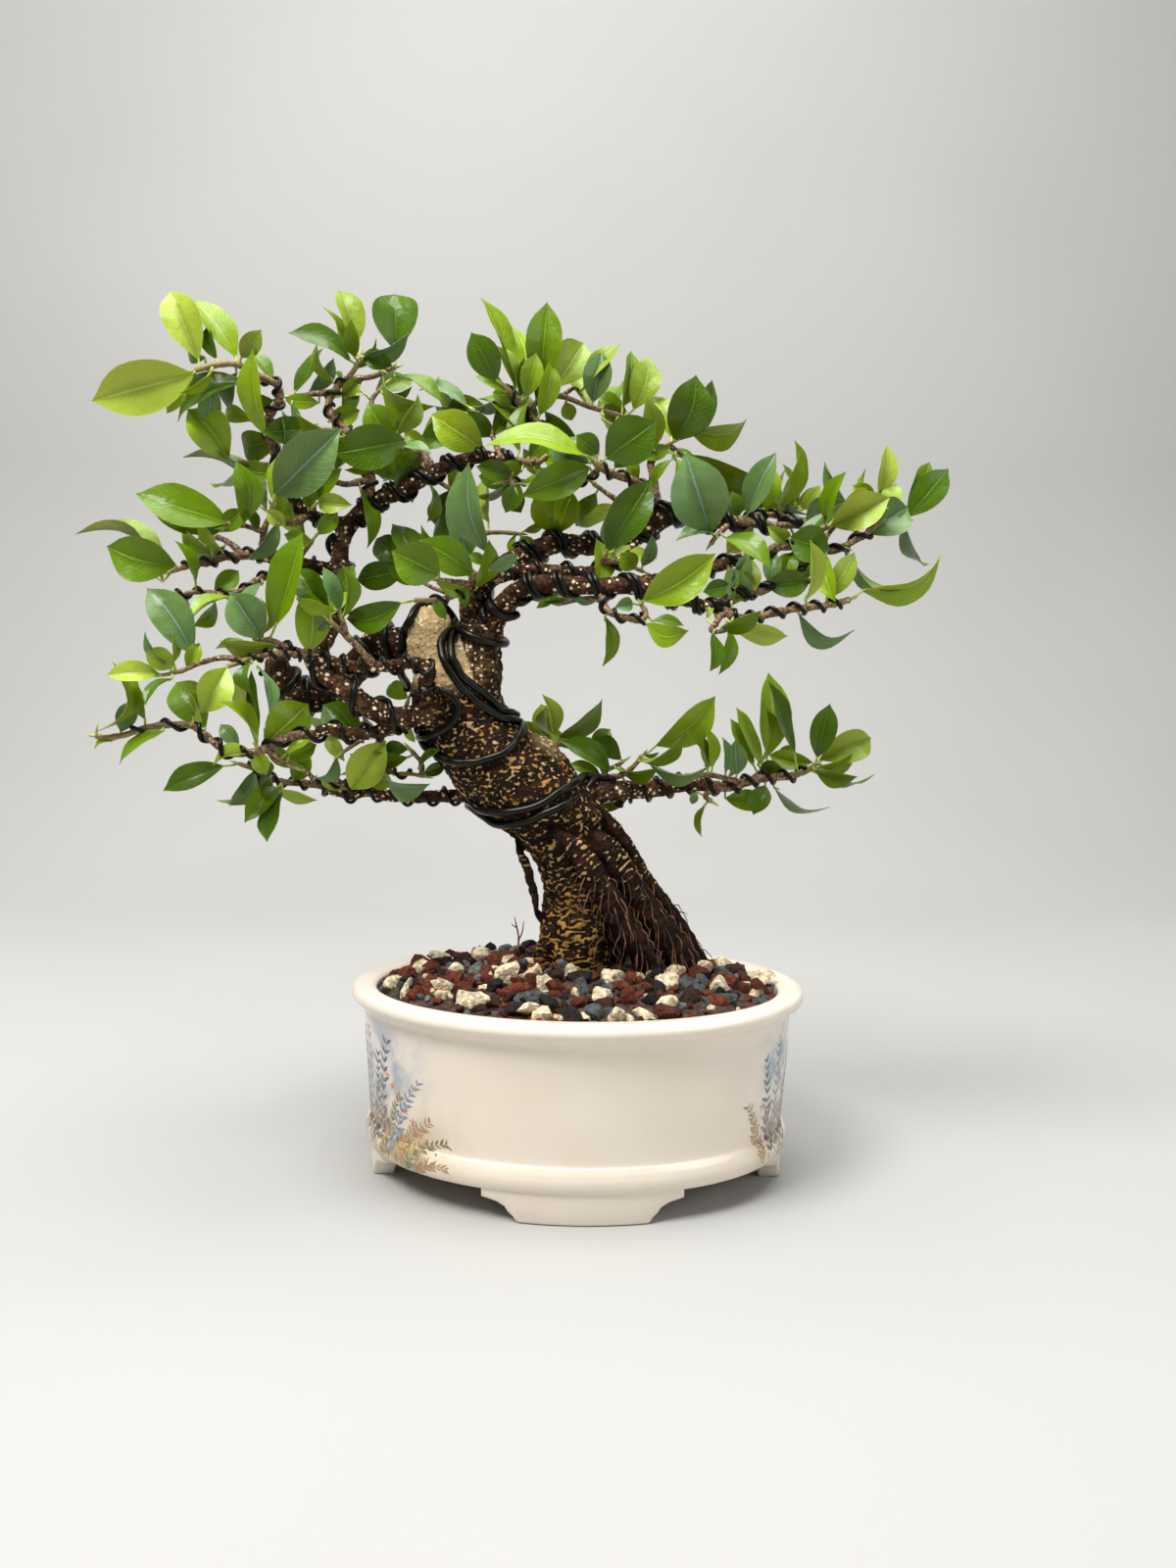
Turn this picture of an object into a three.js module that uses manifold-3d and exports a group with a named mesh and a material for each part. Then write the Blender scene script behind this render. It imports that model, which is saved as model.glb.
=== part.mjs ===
// A small ficus bonsai, trained with wire, standing in an oval glazed pot filled with gravel.
// Millimetres, z up, front of the pot towards -y. The plant is drawn as seen from the front and
// each point is pushed back or forward along the sight line from the viewpoint below.
import * as THREE from "three";
import { mergeVertices } from "three/addons/utils/BufferGeometryUtils.js";
import Module from "manifold-3d";

const wasm = await Module();
wasm.setup();
const { Manifold, Mesh: SolidMesh } = wasm;

// Viewpoint of the front drawing, measured from the middle of the pot and the table top.
const viewX = -33;
const viewDistance = 550;
const viewHeight = 225;
// Heights in the tables are counted from this level, a little above the bottom of the feet.
const drawingLevel = 7;

// Pot: outside size over the rim 205 x 152, 86 high. The oval keeps a constant offset between
// its two half axes.
const ovalOffset = 26.5;
const ovalInnerRatio = 0.7;
const ovalSegments = 28;
const potUnderside = 12;
const potFloor = 21;
const potProfile = [
    [86, 12], [93.4, 13], [95.9, 16], [96.2, 19.5], [95.6, 22.6], [94, 25.5],
    [94.8, 40], [96.8, 77.4], [100.4, 79.2], [102.5, 82.4], [101.2, 85.2], [97, 86],
    [92.4, 85.4], [90.6, 83], [88, 24], [84, 21],
];
const footTop = 14;
const footOutside = 94;
const footInside = 84;
const frontFoot = [
    [-42.3, 14], [-42.3, 9.3], [-36, 8.4], [-32.4, 6.4], [-31, 4], [-28.4, 2.2], [-27.5, 0],
    [27.5, 0], [28.4, 2.2], [31, 4], [32.4, 6.4], [36, 8.4], [42.3, 9.3], [42.3, 14],
];
const sideFoot = [
    [-25, 14], [-25, 9.3], [-20.5, 8.4], [-18, 6.4], [-17, 4], [-15.4, 2.2], [-15, 0],
    [15, 0], [15.4, 2.2], [17, 4], [18, 6.4], [20.5, 8.4], [25, 9.3], [25, 14],
];
const drainRadius = 7;
const drainX = 42;
const drainSegments = 16;

// Clearances: a hair between pieces that touch, more where wire or twigs pass wood.
const hair = 0.3;
const jointRoom = 0.6;
// Slivers smaller than these are welded away after pieces are fused.
const weldSize = 0.08;
const leafWeld = 0.3;
const woodWeld = 0.25;
const weldShares = [1, 0.85, 1.15, 0.7, 1.3, 0.5];
const pointStep = 1e-4;

// Gravel: fills the pot and rises to a low mound round the stem.
const gravelProfile = [[83.6, 21.35], [87.5, 24.4], [89.6, 83.2], [80, 86.4], [58, 89.5], [32, 92.5]];
const moundTop = 94;
const pebbleCount = 22;
const pebbleSmall = 4.4;
const pebbleLarge = 7.2;
const pebbleFlat = 0.62;
const pebbleNarrow = 0.7;
const pebbleTilt = 0.4;
const pebbleApart = 0.6;
const pebbleLift = 0.12;
const pebbleSeed = 11;
const rimClear = 2;
const stemClearing = 24;

// Leaves: pointed ovals on short stalks. A leaf that shows less face than this is left out.
const smallestFace = 140;
const leafHalfThickness = 0.45;
const leafTrueWidth = 0.44;
const leafArch = 0.1;
const stalkHalfWidth = 0.9;
const stalkHalfThick = 0.65;
const stalkDepth = 0.3;
const stalkRoot = 0.6;
const tipHalfThick = 0.35;
// Share of the leaf length, share of the half width and share of the arch at each cut.
const leafCuts = [[0, 0.1, 0], [0.4, 1, 0.96], [0.78, 0.74, 0.69]];
const slenderCuts = [[0, 0.1, 0], [0.55, 1, 1]];
const slenderLeaf = 12;
const baseShare = 0.3;
const stalkClear = 1;
const spotsPerStretch = 6;
const leafNudges = [0, 4, -4, 8, -8, 13, -13, 18, -18];
const stalkSlides = [0, 1, -1, 2, -2, 3, -3, 4, -4];

const boleSides = 8;
const limbSides = 5;
const twigSides = 4;
const shootSides = 3;
const sturdyTwig = 1.45;
const wireSides = 4;
const thickLimb = 7;
const wireStep = 8;
const coilStepsPerTurn = 5;
// Coils are drawn with wider turns than the wire has.
const coilShare = 0.7;

const colours = {
    glaze: "#f1ece6", gravel: "#6d5750", bark: "#5a4335", wire: "#17191c", leaves: "#4d7f24",
};

// Wood, one list per limb: across, height and depth of the drawing, radius.
const limbs = {
    "bole": [[0, 70, 0, 18], [-1, 90, 0, 17.5], [-1, 105, 0, 16.5], [0, 120, 1, 15], [-2, 135, 2, 16],
        [-8, 150, 2, 19], [-20, 164, 3, 21], [-32, 174, 4, 21], [-43, 184, 5, 20], [-51, 195, 5, 19.5],
        [-56, 207, 5, 19], [-59, 220, 5, 18], [-65, 230, 6, 12.5], [-67, 242, 6, 9.5]],
    "fork": [[-50, 205, 2, 12], [-47, 218, 1, 12], [-46, 229, 0, 10.5], [-44, 238, 0, 9]],
    "forkLeft": [[-45, 234, 0, 6], [-49, 244, 1, 5.2], [-48, 253, 2, 5], [-40, 262, 4, 4.8]],
    "forkRight": [[-42, 236, 0, 6], [-38, 244, -3, 5.5], [-33, 250, -8, 5], [-26, 256, -13, 4.6],
        [-17, 258, -18, 4.2], [-7, 258, -22, 4], [3, 257.4, -24, 4], [14, 257.4, -26, 3.8],
        [25, 257, -26, 3.6], [39, 252.4, -24, 3], [50.6, 250.2, -22, 2.6], [60, 248, -21, 2.4]],
    "upperRight": [[-44, 258, 3, 5], [-34, 266, 6, 4.8], [-22, 272, 8, 4.6], [-10, 276, 9, 4.4],
        [3, 275, 8, 4.4], [12, 275.5, 7, 4.2], [23, 278.5, 5, 4.2], [30, 284, 4, 5], [38, 289, 4, 5],
        [47, 290, 3, 4.4], [55, 286, 2, 3.6], [64, 286, 0, 2.8]],
    "middleRight": [[-46, 256, -2, 4], [-37, 262, -6, 3.8], [-19, 264, -9, 3.2], [-8, 263.5, -10, 3],
        [3, 263, -10, 3], [9, 265, -9, 2.8], [16, 268, -7, 2.6], [21, 272, -3, 2.4], [25, 278, 2, 2.2]],
    "rightShelf": [[14, 258, -25, 3.4], [27, 259, -20, 3.4], [40, 261, -16, 3.2], [52, 264, -14, 3],
        [62, 267, -12, 2.8], [72, 270, -10, 2.4]],
    "darkLeft": [[-60, 229, 12, 9], [-78, 231, 20, 7.6], [-90, 231, 25, 7.2], [-98, 223, 28, 7],
        [-108, 213, 29, 7], [-118, 207, 28, 7], [-128, 209, 25, 7], [-134, 216, 22, 6.6], [-136, 224, 20, 5]],
    "speckledLeft": [[-56, 200, -2, 8], [-70, 200, -11, 5.4], [-82, 198, -16, 5], [-93, 202, -19, 4.8],
        [-104, 210, -20, 4.8], [-114, 218, -18, 4.8], [-119, 224, -15, 4.6], [-116, 230, -12, 4.6],
        [-112, 238, -8, 4.4], [-109, 247, -3, 4.2], [-106, 256, 2, 4.2], [-107, 265, 6, 4],
        [-107, 274, 8, 4], [-103, 283, 10, 4], [-96, 290, 10, 4], [-88, 295.5, 9, 3.8],
        [-80, 298, 8, 3.6], [-70, 304, 5, 3.4], [-60, 309, 2, 3.2], [-48, 313, 0, 3], [-38, 313, -1, 2.6]],
    "lowLeft": [[-70, 200, -10, 4], [-80, 195.5, -12, 3.6], [-88, 192.5, -14, 3.2], [-97, 191, -16, 3],
        [-105, 191, -17, 3], [-113, 193, -18, 2.8], [-120, 190, -18, 2.4]],
    "lowestLeft": [[-40, 165, 10, 4], [-52, 163.5, 14, 3.2], [-62, 163, 16, 3], [-74, 162.5, 18, 2.8],
        [-86, 163, 18, 2.6], [-95, 165, 18, 2.6], [-103, 163.5, 18, 2.6], [-112, 165.5, 17, 2.4]],
    "hookLeft": [[-64, 205, -14, 4], [-69, 209, -21, 3.2], [-69.5, 214, -24, 3.2], [-67.5, 219, -25, 3.2],
        [-72, 222.5, -25, 3], [-80, 222, -25, 2.8], [-90, 221, -24, 2.6], [-100, 221, -22, 2.6],
        [-110, 223.5, -21, 2.4], [-119, 224.5, -22, 2.2]],
    "lowRight": [[-6, 166, 8, 6], [8, 165, 12, 5.4], [18, 166, 15, 4.6], [26, 166.5, 16, 4.2],
        [34, 167, 16, 4], [44, 169, 15, 3.8], [52, 169.5, 13, 3.4], [60, 168.5, 12, 2.8]],
    "outerLeft": [[-106, 262, 6, 3.6], [-114, 264, 8, 3.2], [-124, 266, 9, 3], [-134, 267, 9, 2.8],
        [-143, 270.5, 8, 2.6]],
    "subLeft": [[-104, 283, 10, 3.4], [-112, 285, 9, 3], [-119, 287, 7, 2.8], [-124, 291, 5, 2.6],
        [-128.6, 296, 4, 2.4]],
    "rootRight": [[-8, 156, -4, 9], [4, 146, -5, 9], [15, 133, -5, 9], [25, 118, -3, 9],
        [35, 103, -2, 10], [45, 92, 0, 9], [54, 82, 2, 6]],
    "rootFront": [[-12, 150, -12, 7], [0, 138, -15, 7], [9, 124, -16, 6.6], [18, 110, -14, 7],
        [26, 98, -12, 7.6], [33, 86, -10, 6]],
    "rootEdge": [[2, 160, 4, 6], [13, 150, 4, 5.6], [21, 140, 5, 5], [30, 126, 6, 4.4], [41, 112, 7, 4.2],
        [50, 99, 8, 4.2], [58, 86, 8, 3.4]],
    "rootLeft": [[-5, 112, -3, 10], [-9, 100, -4, 9.6], [-13, 88, -4, 8]],
    "aerialRoot": [[-24, 158, -2, 3], [-29, 149, -3, 2.6], [-26, 139, -3, 2.2], [-22, 127, -3, 1.9],
        [-19, 115, -4, 1.7], [-17, 103, -4, 1.8], [-16, 92, -4, 2]],
};

// Wires laid by hand: across, height, and side of the wood (-1 front, 0 edge, 1 back).
const laidWires = {
    "stubBand": {"wire": 1.5, "line": [[-79, 210, -0.2], [-80.5, 216, -0.5], [-80, 226, -1],
        [-78.5, 234, -1], [-75.5, 241, -0.8], [-70.8, 245.4, 0], [-66.5, 246.5, 0], [-62, 245, 0],
        [-57, 241, 0.5]]},
    "crossInner": {"wire": 1.5, "line": [[-57, 237.5, -1], [-58, 232, -1], [-57.4, 225, -1], [-54.5, 219.4, -1],
        [-49.4, 213.5, -1], [-43.6, 209, -1], [-38.2, 203, -1], [-33, 200, -0.5], [-28, 200, 0]]},
    "crossOuter": {"wire": 1.5, "line": [[-63, 233, -1], [-63.4, 227, -1], [-61.4, 219.4, -1], [-56.5, 212, -1],
        [-50.5, 206.5, -1], [-44.6, 201.4, -1], [-38.6, 197.4, -1], [-32, 195, -0.6], [-27, 193.5, 0.4]]},
    "forkBand": {"wire": 1.5, "line": [[-56.5, 241.5, -1], [-51, 236, -1], [-45, 232.5, -1], [-39, 231.5, -1],
        [-33.6, 232, 0], [-37, 234, 1]]},
    "forkPairLeft": {"wire": 1.5, "line": [[-45.5, 260, 0.4], [-45.2, 254.5, -1], [-44, 248, -1],
        [-41.4, 243, -1]]},
    "forkPairRight": {"wire": 1.5, "line": [[-41, 256.5, 1], [-40.5, 250, -1], [-38, 246.5, -1], [-33, 244, -1],
        [-29.6, 245.5, 0]]},
    "leftLoop": {"wire": 1.4, "line": [[-66, 210.5, -1], [-60.5, 209.5, -1], [-55.5, 206, -1], [-54, 201.5, -1],
        [-56, 197, -1], [-60, 193.6, -1], [-64.6, 191, -1], [-70.6, 190.5, -0.2]]},
    "waistBand": {"wire": 1.5, "line": [[-73, 194, 0.4], [-70, 188, 0], [-64, 183, -1], [-57, 179.5, -1],
        [-50, 178.6, -1], [-42.5, 179.5, -1], [-35, 182, -1], [-29.4, 187, -1], [-27, 191.6, -0.6],
        [-28.5, 196, 0.6]]},
    "lowBandUpper": {"wire": 1.5, "line": [[-51.5, 164.5, 0.2], [-46, 159.6, -1], [-40, 156.8, -1],
        [-28.6, 156.8, -1], [-17.8, 159.6, -1], [-9, 164.6, -1], [-1.6, 170, -1], [3.4, 174, 0],
        [6.5, 176, 1]]},
    "lowBandLower": {"wire": 1.5, "line": [[-50, 160, 0], [-42, 153.6, -1], [-33, 151, -1], [-24, 152, -1],
        [-15, 155, -1], [-6.7, 159.8, -1], [1.4, 165, -1], [8, 170.4, 0], [12, 169, 0], [16, 165.4, 0],
        [19.6, 162, 0]]},
};

// Wires wound round a limb and on along the main twig of a spray.
const coils = {
    "coilDarkEnd": {"wire": 1.5, "along": ["darkLeft"], "from": 0.6, "to": 0.97, "turns": 6, "phase": 0},
    "coilDarkRoot": {"wire": 1.5, "along": ["darkLeft"], "from": 0.24, "to": 0.5, "turns": 3, "phase": 2},
    "coilSpeckled": {"wire": 1.4, "along": ["speckledLeft"], "from": 0.12, "to": 0.62, "turns": 6.5, "phase": 1},
    "coilUpper": {"wire": 1.2, "along": ["upperRight", "shoulderRight"], "from": 0.1, "to": 0.92, "turns": 12,
        "phase": 2},
    "coilFork": {"wire": 1.1, "along": ["forkRight", "lowShelfRight"], "from": 0.14, "to": 0.97, "turns": 15,
        "phase": 1},
    "coilShelf": {"wire": 1, "along": ["rightShelf", "farRight"], "from": 0.14, "to": 0.9, "turns": 12,
        "phase": 0},
    "coilLowRight": {"wire": 1, "along": ["lowRight", "lowBranchRight"], "from": 0.26, "to": 0.96, "turns": 12,
        "phase": 1},
    "coilLowLeft": {"wire": 1, "along": ["lowLeft", "lowTipLeft"], "from": 0.07, "to": 0.89, "turns": 13,
        "phase": 2},
    "coilLowest": {"wire": 0.9, "along": ["lowestLeft", "lowestSpray"], "from": 0.12, "to": 0.97, "turns": 12,
        "phase": 0},
    "coilHook": {"wire": 0.9, "along": ["hookLeft", "midLeft"], "from": 0.12, "to": 0.9, "turns": 12,
        "phase": 1},
    "coilTip": {"wire": 0.9, "along": ["subLeft", "tipLeft"], "from": 0.1, "to": 0.74, "turns": 10,
        "phase": 0},
};

// Leafy sprays. Twigs: radius at each end and a line of across, height, depth. Leaves: across and
// height of the blade base and of the tip, width as seen, depth gained, tone, turning side, bend.
const sprays = {
    "tipLeft": {
        "twigs": [
            [2.2, 1.2, [[-128.6, 296, 4], [-131, 305, 2], [-135, 312, 0], [-138, 322, -3], [-138, 330, -5],
                [-134, 336, -6], [-134, 343, -7], [-141.5, 347, -9], [-151, 352, -10], [-160, 352, -12],
                [-170, 349.5, -13]]],
            [1.2, 0.9, [[-133, 308.5, 1], [-143, 309.5, 2], [-152, 310.5, 3]]]],
        "leaves": [
            [-171, 348, -216, 336, 22, -8, 3, 1, 0], [-168.5, 354, -180.5, 383.5, 16, 6, 3, -1, 0],
            [-152, 355, -173, 380, 12, 12, 2, 1, 0], [-150, 355, -141, 367, 9, 10, 3, 1, 0],
            [-140, 322, -145, 359, 10, -14, 2, -1, 1], [-148, 345, -179, 328.5, 10, 10, 0, 1, 2],
            [-163, 345, -165, 324, 10, 14, 4, 1, 0], [-174, 342, -183, 331, 6, 4, 3, 1, 0],
            [-146, 328, -158, 332, 8, 14, 2, 1, 0], [-156, 311.5, -174, 333, 18, -4, 2, 1, 2],
            [-134, 320, -150, 316, 14, 20, 1, 1, 0], [-137, 305, -150, 307, 10, 16, 2, -1, 0],
            [-136, 337, -150, 334, 9, 22, 1, 1, 0]]},
    "crownLeft": {
        "twigs": [
            [2.6, 1.1, [[-96, 290, 10], [-94, 298, 8], [-94, 305.5, 8], [-95, 312, 8], [-100, 320, 9],
                [-108, 328, 10], [-112, 335, 12], [-108, 342.5, 13], [-104, 346, 14], [-100, 351, 16],
                [-98, 356, 18]]],
            [1.4, 0.9, [[-108, 341, 13], [-120, 339.5, 16], [-129, 338.5, 18]]],
            [1.4, 0.9, [[-104, 346, 14], [-94, 347, 12], [-88, 349, 12], [-83, 351, 14]]],
            [1.6, 0.9, [[-100, 320, 9], [-92, 328, 18], [-93, 337, 26], [-87, 344, 30]]],
            [1.6, 1, [[-96, 309, 8], [-88, 315, -2], [-80, 318, -8]]],
            [1.4, 1, [[-101, 322, 9], [-110, 324, 4], [-118, 325, 2]]],
            [1.6, 1, [[-94, 303, 8], [-104, 301, 4], [-112, 302.6, 0], [-121, 301, -4]]]],
        "leaves": [
            [-101, 359, -107, 384.5, 11.5, 8, 3, 1, 0], [-82, 358, -83, 383.5, 20.6, 10, 0, 1, 0],
            [-102, 354, -129, 366, 9, -14, 0, 1, 2], [-105, 359, -113, 377, 4, 16, 2, 1, 0],
            [-110, 345, -117, 362, 5, 14, 2, -1, -2], [-127, 340, -115, 360, 6, 18, 0, -1, 2],
            [-120, 341, -109, 355, 7, 20, 4, 1, 0], [-88, 350, -66.6, 334, 8.5, -12, 2, 1, 6],
            [-97, 347, -106, 339, 7, -10, 3, 1, 0], [-84, 352, -97, 357, 9, 20, 0, 1, 0],
            [-96, 340, -112, 339, 5, 18, 3, 1, 0], [-116, 336, -131, 337, 7, -16, 2, -1, 0],
            [-120, 325, -141, 323, 12, -10, 0, 1, 0], [-112, 328, -98, 333, 9, -10, 2, 1, 0],
            [-78, 320, -110, 314, 19, -10, 0, -1, 0], [-84, 319, -95, 336, 14, -4, 1, 1, 0],
            [-82, 323, -72, 340, 7, 6, 3, 1, 0], [-91, 330, -76, 331, 11, 18, 1, 1, 0],
            [-91, 341, -75, 346, 9, 20, 1, -1, 0], [-117, 327, -128, 311, 9, 10, 1, 1, 0],
            [-100, 319, -115, 309, 10, 16, 2, 1, 0], [-85, 316, -88, 303, 9, 16, 1, 1, 0]]},
    "bigLeft": {
        "twigs": [
            [1.8, 1.2, [[-121, 287.5, 6], [-128, 284, 0], [-134, 286, -6], [-137, 291, -10]]]],
        "leaves": [
            [-136, 296, -106.5, 325, 22, -16, 4, 1, 0], [-121, 291, -121, 303, 6, -8, 1, 1, 0],
            [-117, 293, -102, 292, 9, -10, 3, 1, 0], [-118, 294, -106, 308, 8, -6, 1, -1, 0],
            [-132, 283, -140, 290, 7, 10, 3, 1, 0]]},
    "crownRidge": {
        "twigs": [
            [2, 1, [[-66, 306, 4], [-70, 314, 6], [-78, 319, 10], [-84, 321, 14]]],
            [1.6, 1, [[-70, 314, 6], [-76, 309, 15], [-85, 304, 22]]],
            [1.4, 0.9, [[-74, 310.5, 12], [-66, 304, 18], [-58, 299, 20]]]],
        "leaves": [
            [-68, 315, -79, 324, 8, 12, 2, 1, 0], [-84, 320, -96, 311, 13, 22, 2, 1, 0],
            [-84, 300, -72, 318, 12, 24, 2, 1, 0], [-74, 302, -88, 313, 11, -8, 0, 1, 0],
            [-77, 306, -75, 293, 7, 18, 3, 1, 0], [-58, 299, -65, 283, 13, 12, 0, 1, 0],
            [-59, 300, -52, 312, 10, 24, 3, 1, 0], [-72, 316, -60, 326, 12, 20, 1, -1, 0],
            [-82, 322, -76, 335, 9, 26, 1, 1, 0]]},
    "ridgeEnd": {
        "twigs": [
            [2, 1.2, [[-40, 313, -1], [-33, 312.5, -2], [-26, 311, -2], [-20, 311, -2], [-16, 314, -2]]],
            [1.3, 0.9, [[-36, 313, -2], [-39, 320, 6], [-42, 328, 14], [-48, 333, 18]]],
            [1.3, 0.9, [[-30, 312, -2], [-32, 305, -8], [-30, 300, -10]]]],
        "leaves": [
            [-44, 317, -67, 331.5, 17, -12, 2, 1, 0], [-51, 335, -72, 343.5, 6, 10, 4, 1, 0],
            [-50, 333, -66, 334, 7, -4, 0, -1, 0], [-43, 335, -60, 334, 9, 16, 1, 1, 0],
            [-41, 322, -51, 333, 9, -8, 0, 1, 0], [-40, 322, -28, 335, 10, 18, 1, -1, 0],
            [-19, 317, -46, 339, 13, 6, 1, 1, 1], [-31, 306, -47, 309, 9, -4, 0, 1, 0],
            [-27, 307, -36, 310, 7, 10, 2, 1, 0], [-28, 302, -34, 289, 9, 4, 0, 1, 0],
            [-24, 313, -14, 323, 9, 20, 1, 1, 0], [-18, 314, -4, 309, 9, 14, 2, 1, 0]]},
    "crownMiddle": {
        "twigs": [
            [2, 1.1, [[-22, 311, -2], [-15, 318, 4], [-18, 326, 6], [-24, 331, 6], [-28, 336, 5],
                [-31, 340, 4], [-35, 344, 3]]],
            [1.5, 1, [[-25, 332, 6], [-21, 336.5, 8], [-15, 338, 10], [-10, 339.6, 12], [0, 336, 14],
                [10, 333, 16], [18, 331, 18]]],
            [1, 0.8, [[-10, 339.6, 12], [-4, 343, 16], [-1, 340, 20]]]],
        "leaves": [
            [-38, 346, -49.5, 366.5, 14, -6, 0, 1, 0], [-29, 344, -44, 382, 6.5, 4, 2, 1, -4],
            [-30, 343, -39, 362, 6, -8, 3, 1, 0], [-28, 339, -26, 356, 7, -10, 0, 1, 0],
            [-25, 343, -31, 369, 12, 14, 2, 1, 0], [-25, 339, -21, 358, 10, -4, 2, -1, 0],
            [-19, 344, -16.5, 379.5, 16, -4, 1, 1, 0], [-21, 338, -13.5, 351, 9, -8, 0, 1, 0],
            [-13, 343, 0, 363, 18, 12, 3, 1, 0], [4, 337, 7.7, 359, 13, -4, 4, 1, 0],
            [17, 335, 20, 359, 9, 10, 3, 1, 0], [22, 334, 28, 357, 14, 6, 3, 1, 2],
            [19, 333, 6, 339, 10, 14, 2, 1, 0], [20, 330, 7, 333, 9, -8, 1, 1, 0],
            [-17, 333, -3, 321.5, 7, -6, 0, 1, 0], [-8, 337, -5, 329, 7, 6, 2, 1, 0],
            [-27, 338, -40, 341, 10, 24, 1, 1, 0], [12, 331, 16, 345, 10, 24, 1, -1, 0],
            [2, 335, -6, 350, 10, 28, 2, 1, 0]]},
    "crownKnot": {
        "twigs": [
            [2.2, 1.4, [[29, 286, 3], [30, 293, 0], [28, 299, -3], [22, 303.5, -6], [13.6, 306, -9],
                [8, 309, -11], [5, 312, -12]]],
            [1.3, 0.9, [[8, 309, -11], [3, 305, -4], [-4, 301.5, 2], [-14, 301, 6], [-27, 303, 8],
                [-36, 302, 8]]],
            [1.4, 1, [[29, 296, -1], [20, 293, 6], [12, 297, 8], [5, 302, 8]]]],
        "leaves": [
            [10, 313, 32, 329, 21, -10, 0, -1, 0], [2, 314, -42, 321, 9.5, -10, 3, 1, 0],
            [3, 311, -16, 317.5, 9, 6, 4, 1, 0], [7, 315, -3, 323, 10, 10, 0, 1, 0],
            [3, 309, -26.6, 296.5, 15, -12, 1, 1, 0], [-12, 304, -12, 279, 22, 8, 2, 1, 0],
            [6, 298, -3, 283, 11, 20, 1, 1, 0], [-30, 302, -46, 305, 9, 8, 0, -1, 0],
            [-34, 301, -27, 289, 10, -6, 0, 1, 0], [14, 309, 24, 320, 9, 14, 1, 1, 0]]},
    "tallTwig": {
        "twigs": [
            [2.2, 1.1, [[34, 290, 4], [32.5, 297, 4], [31, 305, 5], [30, 312, 6], [33, 316.5, 6],
                [36, 318.5, 6], [39, 320, 6]]],
            [1.2, 0.9, [[37, 319, 6], [42, 316, 8], [44, 314, 9]]]],
        "leaves": [
            [40, 321, 49, 349, 20, -12, 0, -1, 3], [42, 321, 57, 347, 10, 6, 0, 1, 0],
            [39, 322, 29, 340, 10, 14, 2, 1, 0], [46, 326, 73, 329, 11, 18, 2, 1, 2],
            [44, 315, 81.5, 297, 22, 10, 1, -1, 6], [38, 318, 26, 313, 7, 16, 1, 1, 0]]},
    "centreTwigs": {
        "twigs": [
            [1.8, 1.1, [[-44, 252, 0], [-50, 256, -6], [-46, 262, -12], [-42, 265, -16]]],
            [1.3, 0.9, [[-46, 261, -11], [-52, 266, -6], [-56, 272, 0], [-52, 278, 4], [-44, 280, 6],
                [-36, 280.5, 8], [-28, 280, 10]]],
            [1.3, 0.9, [[-49, 258, -8], [-58, 259, -14], [-66, 260, -16]]]],
        "leaves": [
            [-42, 272, -50, 311, 14.5, -12, 4, -1, -2], [-50, 268, -57, 300, 13, -4, 4, 1, -2],
            [-48, 262, -72, 277, 15, -8, 1, 1, 1], [-41, 264, -28, 271, 6, -8, 4, 1, 0],
            [-42, 267, -50, 271, 5, -8, 1, 1, 0], [-26, 281, -16, 286, 4, 2, 3, 1, 0],
            [-27, 279, -22, 271, 8, 8, 1, 1, 0], [-29, 280, -31, 270, 3, 4, 2, 1, 0],
            [-63, 262, -84, 272, 19, -10, 1, 1, 0], [-64, 258, -50, 254, 8, -8, 2, 1, 0],
            [-52, 258, -52, 247, 5, 10, 1, 1, 0], [-54, 279, -66, 284, 12, 16, 0, 1, 0]]},
    "longShelf": {
        "twigs": [
            [1.5, 0.9, [[-42, 255, 2], [-52, 254, -6], [-62, 251, -12], [-74, 250.5, -16]]],
            [1, 0.8, [[-55, 253, -8], [-66, 256, 0], [-76, 262, 6]]]],
        "leaves": [
            [-80, 249.5, -105, 242, 13, 12, 0, 1, -3], [-78, 264, -100, 259, 13, 8, 0, 1, 0],
            [-77, 265, -92, 278, 13, 14, 0, -1, 0], [-70, 259, -84, 284, 12, 20, 1, 1, 0],
            [-66, 252, -60, 242, 5, 6, 1, 1, 0]]},
    "middleLoop": {
        "twigs": [
            [1.4, 1, [[8, 257, -25], [10.5, 249, -32], [14, 245, -35], [20, 243.5, -36], [26, 242, -35],
                [29, 245, -32], [27, 249, -30]]],
            [1.2, 0.9, [[10.3, 250, -31], [5, 252, -22], [-3, 251, -14], [-10, 249.5, -11], [-16, 251, -8]]]],
        "leaves": [
            [27.5, 251, 59.5, 272, 17, -14, 3, 1, 2], [29, 241, 48, 238, 9.5, -6, 2, 1, 4],
            [23, 250, 15, 248, 6, -4, 4, 1, 0], [-14, 252, -28, 252, 5, 10, 2, 1, 0],
            [-13, 250, -20, 247.5, 3, -4, 2, 1, 0], [-5, 254, 9, 252.5, 4, 10, 4, 1, 0]]},
    "middleUp": {
        "twigs": [
            [1.5, 1, [[6, 264, -10], [9, 268, -14], [11, 272, -16]]],
            [1.3, 0.9, [[9, 268, -14], [16, 268, -14], [22, 266, -12], [27, 264, -10]]]],
        "leaves": [
            [11, 273, 30.4, 304.3, 17, -8, 0, -1, 0], [24, 265, 17, 272, 9, 8, 2, 1, 0],
            [27, 266, 31, 280, 6, 6, 4, 1, 0]]},
    "shoulderRight": {
        "twigs": [
            [2.4, 1.4, [[63, 286, 0], [72, 286, -2], [84, 284, -4], [96, 285, -6], [104, 283, -8],
                [109, 284, -9]]],
            [1.8, 1, [[70, 286.5, -2], [80, 289, 6], [90, 288, 10], [98, 287, 13]]],
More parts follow.
